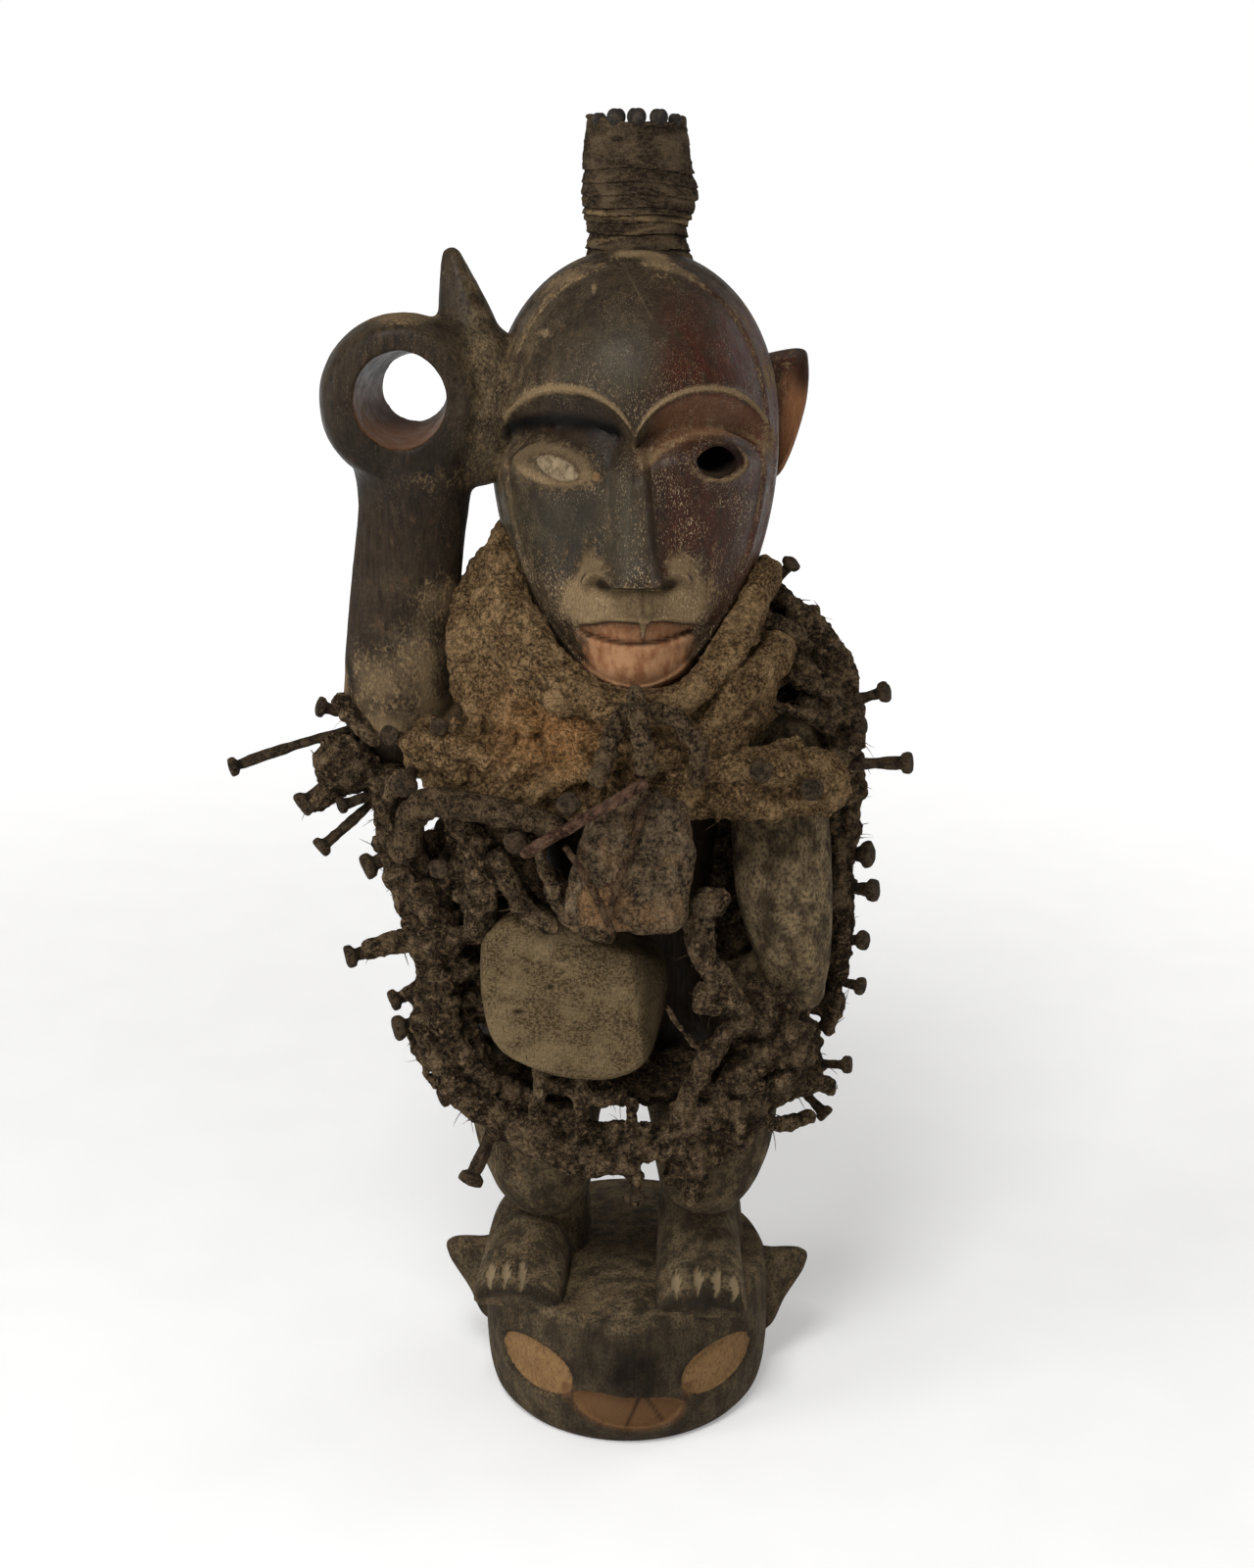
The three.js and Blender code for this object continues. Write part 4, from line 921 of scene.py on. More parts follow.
class Finish(Enum):
    """Every finish of the figure, by the material slot that it answers to."""

    CARVED_WOOD = CarvedWoodFinish()
    EYE_INLAY = MatterFinish(
        (0.075, 0.052, 0.027), (0.150, 0.110, 0.062), (0.24, 0.182, 0.108), (0.10, 0.05, 0.02), 6, 1.2,
        relief=0.3, pitted=0.3, gloss=0.5, crest=0.3, shine=0.15)
    CORD = MatterFinish(
        (0.015, 0.0085, 0.005), (0.062, 0.034, 0.019), (0.135, 0.086, 0.048), (0.12, 0.07, 0.03), 6, 0.8,
        gloss=0.8)
    PACKET_CLAY = MatterFinish(
        (0.018, 0.0125, 0.008), (0.122, 0.084, 0.049), (0.215, 0.153, 0.091), (0.265, 0.146, 0.067), 7, 1.2,
        tinted=0.3, gloss=0.85, knot=9.0, knotted=0.35)
    BOX_CLAY = MatterFinish(
        (0.040, 0.027, 0.013), (0.140, 0.098, 0.051), (0.205, 0.148, 0.078), (0.062, 0.044, 0.023), 17, 0.7,
        (1.3, 1, 1), 1.2, 1.0, 0.95, 0.92, tinted=0.18)
    TWIG = MatterFinish(
        (0.018, 0.009, 0.006), (0.070, 0.033, 0.021), (0.150, 0.088, 0.055), (0.03, 0.02, 0.01), 5, 1.0,
        (2, 1, 2), gloss=0.75)
    TWISTED_RAG = MatterFinish(
        (0.012, 0.008, 0.0045), (0.075, 0.049, 0.027), (0.165, 0.112, 0.062), (0.13, 0.08, 0.04), 6, 1.0,
        knot=3.0, knotted=0.4)
    RESIN_CRUST = MatterFinish(
        (0.046, 0.028, 0.013), (0.235, 0.142, 0.066), (0.395, 0.256, 0.125), (0.380, 0.184, 0.067), 12, 1.0,
        gloss=0.92, relief=1.9, pitted=0.8, knot=5.5, knotted=0.55)
    RAG = MatterFinish(
        (0.0085, 0.0057, 0.0034), (0.067, 0.044, 0.0245), (0.240, 0.164, 0.092), (0.165, 0.10, 0.05), 9, 1.0,
        gloss=0.88, relief=1.9, crest=0.85, knot=5.2, knotted=0.62)
    CROWN_WRAP = MatterFinish(
        (0.014, 0.0092, 0.0056), (0.050, 0.0345, 0.0205), (0.122, 0.086, 0.05), (0.230, 0.155, 0.075), 8, 0.8,
        (2, 2, 1), gloss=0.9, relief=1.6)
    BEAD = MatterFinish(
        (0.0055, 0.0046, 0.0038), (0.018, 0.0145, 0.0110), (0.060, 0.046, 0.032), (0.03, 0.02, 0.01), 4, 0.8,
        relief=0.9, gloss=0.7, crest=0.3, shine=0.2)
    NAIL_IRON = MatterFinish(
        (0.0072, 0.005, 0.0032), (0.036, 0.025, 0.015), (0.090, 0.062, 0.036), (0.085, 0.042, 0.019), 4, 0.8,
        tinted=0.35, gloss=0.8, shine=0.1)

    def material(self) -> Material:
        """The finish's material, made once."""
        if self not in _made:
            _made[self] = self.value.make(self.name.lower() + "_finish")
        return _made[self]


_made: dict[Finish, Material] = {}


@dataclass
class Piece:
    """One sub-assembly: it builds its mesh, stands for its solids and takes its finish."""

    name: str
    stands_for: tuple[str, ...]
    slot: str
    finish: Finish

    def place(self, made: Object) -> Object:
        """Lets a built mesh ride on the root body in the place of its solids, with its finish.

        Args:
            made: The built object.

        Returns:
            The same object.
        """
        made.data.materials.clear()
        made.data.materials.append(self.finish.material())
        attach(made, "root")
        if self.stands_for:
            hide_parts(*self.stands_for)
        faces = sum(len(p.vertices) - 2 for p in made.data.polygons)
        log.info("%s: %d triangles", made.name, faces)
        return made

    def marked_and_placed(self, made: Object, depth: float, rounds: int, angle: float = 50.0,
                  tint: Callable[[Array], Array] | None = None,
                  shade: Callable[[Array], Array] | None = None) -> Object:
        """Marks hollows for painted shade, crests for dust and painted highlight, and the tint where the piece
        has one, then shades and places it.

        Args:
            made: The object.
            depth: The depth in millimetres that counts as a full hollow.
            rounds: How wide the neighbourhood is.
            angle: Edges sharper than this, in degrees, stay sharp.
            tint: Gives the tint's share for points.
            shade: Gives a further share of the hollows' painted shade for points.

        Returns:
            The same object.
        """
        deep = hollows(made, rounds)
        darker = 0 if shade is None else shade(read(made)[0])
        mark(made, "hollow", np.clip(smooth(0.05 * depth, depth, deep) + darker, 0, 1))
        mark(made, "crest", smooth(0.0, depth, -deep))
        mark(made, "tint", np.zeros(len(deep)) if tint is None else tint(read(made)[0]))
        soften(made, angle)
        return self.place(made)


# ---------------------------------------------------------------- the carving


@dataclass
class Head:
    """The head, chin to crown: an egg in front view, carved with the face and framed by a skull cap."""

    middle: float = 3.5
    level: float = 475.0
    half: float = 64.0
    above: float = 86.0
    squareness: float = 2.35
    below: float = 113.0
    brow_level: float = 473.0
    brow_rise: float = 29.0
    left_eye: tuple[float, float] = (-36.5, 469.5)
    right_eye: tuple[float, float] = (36.0, 471.8)
    columns: int = 190
    behind: int = 28
    rows: int = 198
    front: Profile = Profile(
        (362, -74), (371, -83), (388, -87), (421, -90), (474, -95), (505, -94), (528, -84), (548, -64),
        (561, -38))
    widest: Profile = Profile(
        (362, -60), (390, -42), (430, -28), (480, -24), (561, -26))
    back: Profile = Profile(
        (362, -46), (380, -26), (405, 4), (435, 26), (475, 42), (510, 42), (540, 24), (561, -12))

    def width(self, z: Array) -> Array:
        """The half width at a height: a squared egg above its widest level and a pointed one below."""
        over = np.clip((z - self.level) / self.above, 0, 1)
        under = np.clip((self.level - z) / self.below, 0, 1)
        return self.half * np.where(z > self.level, np.sqrt(1 - over**self.squareness), (1 - under**2) ** 0.58)

    def share(self, x: Array, z: Array) -> Array:
        """0 at the middle of the front view and 1 on the egg's outline."""
        over = (x / self.half) ** 2 + np.clip((z - self.level) / self.above, 0, 2) ** self.squareness
        under = np.abs(x / self.half) ** 1.72 + (np.clip(self.level - z, 0, 999) / self.below) ** 2
        return np.where(z > self.level, over, under)

    def arch(self, side: Array) -> Array:
        """The share of its rise that a brow has at a distance from the middle: half an oval."""
        return np.sqrt(np.clip(1 - ((side - 30) / 31.5) ** 2, 0, 1))

    def brow(self, x: Array) -> Array:
        """The brow's height at x from the middle."""
        return self.brow_level + self.brow_rise * self.arch(np.abs(x))

    def lid(self, x: Array) -> Array:
        """The height of the open eye's upper lid, an arc from the nose to the temple."""
        return 484.5 - 12.0 * np.clip(np.abs(x - 33.0) / 27.0, 0, 1.2) ** 2.3

    def rim_reach(self, x: Array, z: Array) -> Array:
        """1 on the rim round the open eye's almond hole, and less inside."""
        along = x - self.right_eye[0]
        rise = z - self.right_eye[1] + 0.12 * along
        return np.sqrt(np.abs(along / 12.6) ** 1.9 + np.abs(rise / 8.4) ** 1.9)

    def relief(self, x: Array, z: Array) -> Array:
        """How far the carving stands out of the egg: brows, sockets, lids, nose, lips and chin, added up."""
        side = np.abs(x)
        arch = self.arch(side)
        brow, crease = self.brow_level + self.brow_rise * arch, self.brow_level + 13 * arch
        within = smooth(63, 55, side)
        down = (brow - z) / np.maximum(1, brow - crease)
        out = np.where((down > 0) & (down < 1), -8.5 * np.clip(down, 0, 1) ** 0.7, 0) * within
        out -= np.where(z <= crease, 8.5 * smooth(17, -2, crease - z) / smooth(17, -2, 0 * z) * within, 0)
        out -= 0.8 * ridge(z, crease, 1.3) * within * smooth(0, 0.3, arch)
        out += 1.5 * ridge(z - brow, 1.3, 1.5) * within * smooth(0, 0.2, arch)
        out = out + self.nose(x, z) + self.mouth(x, z)
        out += 4.5 * oval(x, 0, 34, z, 406, 20)
        return out + self.closed_eye(x, z) + self.open_eye(x, z)

    def closed_reach(self, x: Array, z: Array) -> Array:
        """1 on the closed eye's outer lids, an almond that leans down to the right, and less inside."""
        along, rise = x - self.left_eye[0], z - self.left_eye[1] + 0.06 * (x - self.left_eye[0])
        return np.sqrt(np.abs(along / 17.0) ** 1.8 + np.abs(rise / 8.3) ** 1.8)

    def closed_eye(self, x: Array, z: Array) -> Array:
        """The inlaid eye: a low lens with a thin lid round it, sunk a little inside the lid."""
        reach = self.closed_reach(x, z)
        lens = 4.2 * np.clip(1 - ((x - self.left_eye[0]) / 24) ** 2 - ((z - self.left_eye[1]) / 11) ** 2, 0, 1)
        return lens + 1.0 * ridge(reach, 1, 0.09) - 0.8 * smooth(1.0, 0.86, reach)

    def open_eye(self, x: Array, z: Array) -> Array:
        """The open eye: an arched upper lid over a low lens, the rim and depth of the almond hole."""
        along, rise = x - self.right_eye[0], z - self.right_eye[1]
        lens = 4.2 * np.clip(1 - (along / 24) ** 2 - ((rise + 1) / 13) ** 2, 0, 1)
        inside = smooth(4, 12, x) * smooth(62, 56, x)
        gap = z - self.lid(x)
        lid = (2.3 * ridge(gap, 0, 1.7) - 2.2 * smooth(-0.5, 2.5, gap) * smooth(16, 5, gap)) * inside
        reach = self.rim_reach(x, z)
        return lens + lid + 0.9 * ridge(reach, 1, 0.13) - 1.2 * smooth(0.92, 0.8, reach)

    def nose(self, x: Array, z: Array) -> Array:
        """A wedge that widens to a rounded tip, soft on its left, with a curled wing on each side."""
        side = np.abs(x - 0.8)
        fall = np.clip((477 - z) / 57, 0, 1)
        half = 1.8 + 2.4 * fall
        soft = np.where(x < 0.8, 10 + 1.5 * fall, 3.6 + 2.4 * fall)
        top = 417.2 + 2.0 * np.clip(side / 20, 0, 1) ** 2
        ramp = np.clip((half + soft - side) / soft, 0, 1)
        wedge = (7 + 12 * fall) * (0.7 * ramp + 0.3 * smooth(0, 1, ramp)) * (1 + 0.07 * ridge(z, 424, 7))
        ends = smooth(top - 0.6, top + 3.0, z) * smooth(482, 474, z)
        reach = np.hypot((side - 14.2) / 1.1, z - 417.5)
        curl = 5.6 * ridge(reach, 6.0, 2.1) * smooth(415.5, 418.5, z) * (1 - 0.5 * smooth(9, 4, side))
        pit = -2.4 * bell((reach / 3.0) ** 4)
        crease = -1.4 * ridge(side + 0.42 * (z - 424), 24.5, 1.8) * smooth(404, 416, z) * smooth(442, 430, z)
        under = -2.6 * bell(((side - 9) / 10) ** 4 + ((z - 415.2) / 1.8) ** 2)
        return wedge * ends + curl + pit + crease + under

    def lip_lines(self, x: Array) -> tuple[Array, Array]:
        """The heights of the mouth's upper and lower edge at x."""
        share = np.clip(np.abs(x - 1) / 27, 0, 1)
        upper = 400.5 - 3.2 * share**2 + 1.0 * ridge(np.abs(x - 1), 11, 6)
        return upper, 390.6 + 5.0 * share**2

    def tooth(self, x: Array, z: Array) -> Array:
        """1 on the strip of lip that hangs over the opening, wide above and pointed below."""
        half = 0.5 + 0.17 * np.clip(z - 393, 0, 16)
        return smooth(half + 0.5, half - 0.5, np.abs(x - 3.2 - 0.06 * (z - 393))) * smooth(392, 394, z)

    def mouth(self, x: Array, z: Array) -> Array:
        """Parted lips, a strip of the upper lip that hangs over the opening, the philtrum and the chin."""
        share = np.clip(np.abs(x - 1) / 27, 0, 1)
        upper, lower = self.lip_lines(x)
        ends = smooth(1, 0.86, share)
        opened = smooth(lower - 0.5, lower + 0.8, z) * smooth(upper + 0.7, upper - 0.6, z) * ends
        strip = self.tooth(x, z) * (4.6 * smooth(405, 400, z) + 1.1 * smooth(400, 405, z) * smooth(413, 408, z))
        philtrum = -0.8 * ridge(x, 3.8, 1.0) * smooth(404, 407, z) * smooth(418, 414, z)
        chin = 5 * oval(x, 0, 22, z, 378, 9.5)
        lips = 1.9 * ridge(z - upper, 2.0, 1.8) + 0.8 * ridge(z - lower, -3.0, 2.8)
        seam = -0.9 * ridge(z - lower, 0.3, 0.8) * ends
        return -3.6 * opened + strip + philtrum + chin + seam + lips * smooth(1, 0.75, share)

    def cap(self, x: Array, z: Array) -> Array:
        """The two low steps from the face up to the skull cap."""
        share = self.share(x, z)
        return 1.5 * smooth(0.835, 0.862, share) + 1.0 * smooth(0.94, 0.965, share)

    def spot(self, u: float, z: float) -> tuple[Array, Array]:
        """A point of the front at u from the middle and height z, and the skin's outward direction there.

        Args:
            u: Millimetres from the middle.
            z: The height.

        Returns:
            The point and the direction.
        """
        def place(a: float, b: float) -> Array:
            """The skin's point for one u and z."""
            a_, b_ = np.array([a]), np.array([b])
            width, wide = self.width(b_), self.widest(b_)
            turn = np.arcsin(a_ / width)
            reach = wide - self.front(b_)
            nx, ny = np.sin(turn) / width, -np.cos(turn) / reach
            out = (self.relief(a_, b_) + self.cap(a_, b_)) / np.hypot(nx, ny)
            return np.array([self.middle + a + (nx * out)[0], (wide - reach * np.cos(turn) + ny * out)[0], b])

        middle = place(u, z)
        out = np.cross(place(u + 6, z) - place(u - 6, z), place(u, z + 4) - place(u, z - 4))
        return middle, unit(out * (-1 if out[1] > 0 else 1))

    def eye_hole(self) -> Skin:
        """The almond hole of the open eye, carried straight back and narrowing."""
        x, z = self.middle + self.right_eye[0], self.right_eye[1]
        power = 1.75

        def almond(place: Array, turn: Array) -> Array:
            """The reach of an oval with that power, which is pointed at its ends."""
            return (np.abs(np.cos(turn)) ** power + np.abs(np.sin(turn)) ** power) ** (-1 / power)

        stops = [(x + 2.5, -104, z - 1, 10.6, 7.4), (x + 1.5, -88, z - 1, 10.8, 7.0),
                 (x, -80, z - 0.5, 9.8, 6.4), (x - 3, -62, z + 1, 7.5, 5.2), (x - 6, -48, z + 2, 2.5, 2)]
        return swept(stops, 22, 40, (0.14, 0, 1), 0.3, relief=almond)

    def skin(self) -> Skin:
        """The head's skin: points by turn and height, rows bent to follow the brows.

        A point is the section oval at its height plus the relief along the oval's normal.

        Returns:
            The closed skin.
        """
        level = Profile((0, 363), (0.33, 422), (0.42, 450), (0.72, 506), (1, 560.5))
        follow = Profile((438, 0), (473, 1), (500, 0.75), (545, 0))
        share = (2 * (np.arange(self.columns) + 0.5)) / self.columns - 1
        ahead = np.pi / 2 * (0.62 * share + 0.38 * share**3)
        behind = np.pi / 2 + np.pi * (np.arange(self.behind) + 0.5) / self.behind
        turn = np.concatenate([ahead, behind])[None, :]
        rows = level(np.linspace(0, 1, self.rows))[:, None]
        facing = np.cos(turn) > 0
        bend = np.where((rows > 438) & (rows < 545), np.clip(follow(rows), 0, 1), 0)
        z = rows + self.brow_rise * np.where(facing, self.arch(np.abs(self.half * np.sin(turn))), 0) * bend
        width, wide = np.maximum(7, self.width(z)), self.widest(z)
        reach = np.where(facing, wide - self.front(z), self.back(z) - wide)
        x, y = width * np.sin(turn), wide - reach * np.cos(turn)
        nx, ny = np.sin(turn) / width, -np.cos(turn) / reach
        long = np.hypot(nx, ny)
        out = smooth(0, 0.25, np.cos(turn)) * self.relief(x, z) + np.where(facing, self.cap(x, z), 2.4)
        return Skin.through(spread(self.middle + x + nx / long * out, y + ny / long * out, z))


@dataclass
class Limbs:
    """The trunk, arms, fist, legs and feet: oval sections swept along the figure's own paths."""

    voxel: float = 1.45
    keep: float = 0.285
    sides: int = 40

    def trunk(self) -> Skin:
        """Hips, waist, chest and neck."""
        return swept([(-2, 4, 168, 40, 32), (-2, 2, 200, 45, 38), (-2, 0, 250, 42, 38), (-1, 0, 300, 48, 36),
                      (0, -2, 345, 56, 32), (1, -6, 366, 38, 28), (2, -16, 392, 29, 27), (2, -20, 420, 27, 27)],
                     36, self.sides, rounding=0.2)

    def raised_arm(self) -> Skin:
        """The arm from the shoulder over the bent elbow up to the fist."""
        return swept([(-38, -4, 342, 22, 22), (-76, -12, 334, 22, 22), (-106, -22, 340, 25, 24),
                      (-106, -28, 366, 26.5, 25), (-103, -31, 406, 25.5, 25), (-98, -36, 446, 25.5, 25),
                      (-97, -41, 474, 30, 26)], 48, self.sides, rounding=0.5)

    def fist(self) -> list[Skin]:
        """The drum of the fist, its web to the head and the raised thumb with a groove down it."""
        drum = swept([(-101, -64, 494, 32.5, 34.5), (-101.5, -56, 494.5, 36.5, 37.5),
                      (-101, -42, 495, 38, 38.5), (-100, -26, 495, 36, 36.5), (-99, -18, 495, 31, 32)],
                     24, 60, (0, 0, 1), 0.12)
        web = swept([(-84, -42, 493, 24, 38), (-64, -36, 491, 20, 37), (-50, -32, 490, 18, 30)],
                    14, self.sides, (0, 0, 1), 0.2)
        groove = lambda place, turn: 1 - 0.16 * ridge(np.mod(turn, 2 * np.pi), 4.35, 0.3)
        thumb = swept([(-70, -34, 506, 20, 18), (-73, -34, 528, 13.5, 13), (-77, -32, 546, 8.5, 9),
                       (-79.5, -30, 558, 4.6, 5)], 24, 32, rounding=0.8, relief=groove)
        return [drum, web, thumb]

    def bore(self) -> Skin:
        """The hole through the fist, wider at the front."""
        stops = [(-101.5, -78, 496, 21.4, 23.2), (-99.5, -40, 497, 18.5, 19), (-97.4, -2, 497.5, 12.8, 13)]
        return swept(stops, 16, 48, (0, 0, 1), 0.1)

    def lowered_arm(self) -> list[Skin]:
        """The upper arm down to the rounded elbow, and the forearm back to the hip."""
        upper = swept([(46, -6, 348, 24, 22), (66, -18, 330, 25, 22), (72, -32, 298, 23.5, 22),
                       (75, -38, 262, 23, 22), (80, -40, 228, 17.5, 18), (83, -39, 213, 12.5, 13)],
                      44, self.sides, rounding=0.9)
        fore = swept([(78, -30, 226, 14, 14), (62, -14, 208, 14, 14), (38, -4, 196, 15, 15)],
                     14, 24, rounding=0.4)
        return [upper, fore]

    def leg(self, side: int) -> Skin:
        """Thigh and knee with a cuffed lower edge over the narrow ankle. side is 1 or -1."""
        wide = 1.0 if side > 0 else 1.06
        x = lambda value: side * value * wide
        stops = [(x(26), 2, 196, 28, 26), (x(38), -6, 172, 31, 28), (x(42), -20, 146, 28, 28),
                 (x(39.5), -26, 122, 24, 26), (x(36.5), -16, 104, 19.5, 20), (x(36.5), -8, 86, 21, 21),
                 (x(37), -6, 64, 22, 22)]
        cuff = lambda place, turn: 1 + 0.07 * smooth(0.62, 0.44, place) + 0.075 * smooth(0.672, 0.655, place)
        return swept(stops, 76, self.sides, rounding=0.1, relief=cuff)

    def toe_cuts(self, x: Array, open_: Array) -> Array:
        """1 in the middle of each leaf-shaped cut between two toes, which widens as open_ goes from 0 to 1."""
        wide = 0.2 + 2.1 * open_
        cuts = (-66, -58.5, -50.5, 23.5, 34, 43, 51.5)
        return sum(bell(((x - spot) / wide) ** 4) for spot in cuts) * (open_ > 0.04)

    def toe_share(self, x: Array, y: Array) -> Array:
        """How far along its foot a point lies: 0 at the heel and 1 at the toes' ends."""
        return (14 - y) / np.where(x > 0, 98, 92 - 10 * np.clip((-52.2 - x) / 22, 0, 1))

    def leaf(self, share: Array) -> Array:
        """How far the cuts between the toes are open at a share of the foot's length."""
        return np.clip(1 - ((share - 0.91) / 0.08) ** 2, 0, 1)

    def foot(self, side: int) -> Skin:
        """A low wedge from the ankle to blunt toes, parted by four cuts. side is 1 or -1.

        Each section is half a rounded arch: x = middle + half width cos(turn), z = height sin(turn)^0.7.

        Args:
            side: 1 for the viewer's right, -1 for the left.

        Returns:
            The closed skin.
        """
        heel, toe = 14.0, (-84.0 if side > 0 else -78.0)
        middle, swing = (35.5, 0.0) if side > 0 else (-45.0, -8.0)
        half = Profile((0, 15), (0.2, 20), (0.6, 21.5), (0.9, 22), (0.97, 21), (1, 18.5))
        height = Profile((0, 24), (0.3, 36), (0.5, 31), (0.75, 19), (0.93, 13), (0.985, 10.5), (1, 7))
        share = np.linspace(0, 1, 52)[:, None]
        turn = np.linspace(0, np.pi, 58)[None, :]
        bulge = np.clip(np.sin(turn), 0, 1) ** 0.7
        x = middle + swing * share + half(share) * np.cos(turn)
        y = heel + (toe - heel) * share + (10 * share * np.clip(-np.cos(turn), 0, 1) if side < 0 else 0)
        z = PLINTH_TOP - 3 + (height(share) + 3) * bulge
        z -= 2.0 * self.toe_cuts(x, self.leaf(share)) * bulge
        y += np.cumsum(np.full_like(y, 1e-6), axis=1)
        return Skin.through(spread(x, y, z))

    def build(self) -> Object:
        """All limbs grown together, the bore cut, and the faces thinned where the skin is plain."""
        skins = [self.trunk(), self.raised_arm(), *self.fist(), *self.lowered_arm(), self.leg(1), self.leg(-1)]
        made = Skin.together(skins).object("limbs")
        grown_together(made, self.voxel, 4)
        united(made, self.bore().object("bore"), "DIFFERENCE")
        grown_together(made, self.voxel, 3)
        shift(made, lambda p, n: 0.45 * rough(p, 17, 3) + 0.2 * rough(p * (1, 1, 0.4), 4, 4))
        modify(made, "DECIMATE", decimate_type="COLLAPSE", ratio=self.keep)
        for side in (1, -1):
            united(made, self.foot(side).object("foot"))
        return made


@dataclass
class Plinth:
    """The oval block under the feet, carved as a beast's head with a domed forehead."""

    width: float = 142.0
    depth: float = 182.0
    columns: int = 184
    swell: Profile = Profile(
        (0, 0.9), (0.08, 0.955), (0.3, 0.99), (0.62, 1), (0.92, 0.985), (1, 0.95))

    def eye(self, x: Array, z: Array) -> Array:
        """Reach from an eye's middle; 1 lies on its rim, and the outer ends are higher."""
        side = np.abs(x) - 43.0
        along, rise = side * 0.975 + (z - 34.5) * 0.22, (z - 34.5) * 0.975 - side * 0.22
        return np.sqrt(np.abs(along / 17.4) ** 2.1 + np.abs(rise / 12.3) ** 2.1)

    def lips(self, x: Array, z: Array) -> Array:
        """Reach from the mouth's middle; 1 lies on its rim, which is flat on top and round below."""
        rise = z - 23 + 0.10 * x
        high = np.where(rise > 0, 6.5, 13.5)
        return np.sqrt(np.abs((x - 0.5) / 26.5) ** 2.3 + np.abs(rise / high) ** 2.3)

    def relief(self, turn: Array, level: Array) -> Array:
        """Snout, forehead ridge, sunk eyes, lids and lips, as shares of the block's size."""
        snout = 0.045 * oval(turn, 0, 0.34, level, 0.47, 0.24)
        crest = 0.022 * ridge(turn, 0, 0.26) * smooth(0.55, 0.85, level)
        x, z = self.width / 2 * self.swell(level) * np.sin(turn), PLINTH_TOP * level
        eye, mouth = self.eye(x, z), self.lips(x, z)
        sunk = (-0.026 + 0.016 * np.clip(1 - eye, 0, 1)) * smooth(1.07, 0.95, eye)
        sunk += 0.011 * ridge(eye, 1.16, 0.11)
        lips = -0.026 * smooth(1.07, 0.95, mouth) + 0.013 * ridge(mouth, 1.16, 0.12)
        furrows = -0.010 * ridge(np.abs(x) - 14 - 0.35 * (z - 40), 0, 1.6) * smooth(28, 34, z)
        nose = 0.030 * bell((x / 11) ** 4 + ((z - 38) / 7) ** 2)
        return np.where(np.cos(turn) > 0, snout + crest + sunk + lips + furrows + nose, 0)

    def skin(self) -> Skin:
        """Rings up the side from a closed foot, then rings inwards over the top with its dome."""
        turn = turns(self.columns)
        denser = turn + 0.34 * np.sin(2 * turn) * np.where(np.cos(turn) > 0, -1, 0)
        turn = np.sort((denser + np.pi) % (2 * np.pi) - np.pi)[None, :]
        level = np.concatenate([[0.0, 0.012], np.linspace(0.03, 0.97, 56), [0.992]])[:, None]
        size = self.swell(level) + self.relief(turn, level)
        x, y = self.width / 2 * size * np.sin(turn), -self.depth / 2 * size * np.cos(turn)
        sides = spread(x, y, PLINTH_TOP * level)
        inward = np.linspace(0.985, 0.04, 34)[:, None]
        rim = sides[-1][None]
        x, y = rim[..., 0] * inward, rim[..., 1] * inward
        dome = np.sqrt(np.clip(1 - ((x + 2) / 27) ** 2 - (y / 84) ** 2, 0, 1)) ** 0.9
        top = spread(x, y, PLINTH_TOP + 5.2 * dome + 0.3 * (1 - inward))
        return Skin.through(np.concatenate([sides, top]) - (0, SET_BACK, 0))

    def ear(self, side: int) -> Skin:
        """A pointed flap level with the plinth's top: layers across its thickness. side is 1 or -1."""
        outline = [[-14, 0.98], [4, 1.03], [18, 1.03], [19.5, 0.93], [9, 0.68], [1, 0.45], [-14, 0.4]]
        half, drop = self.width / 2, 0.09 if side > 0 else 0.0

        def place(out: Array, level: Array, deep: float, size: float) -> tuple:
            """A layer's place: swept back outwards, with a scoop in its face."""
            scoop = 3.0 * oval(out, 8, 7, level, 0.86, 0.12) * (deep < -9)
            y = deep + out * (0.3 if deep < 0 else -0.1) + scoop
            return side * (half + out), y - SET_BACK, PLINTH_TOP * (level - drop)

        layers = [(0.1, -10), (0.8, -10), (0.94, -8.6), (1, -5), (1, 5), (0.94, 8.6), (0.8, 10), (0.1, 10)]
        return layered(outline, 56, None, layers, place)


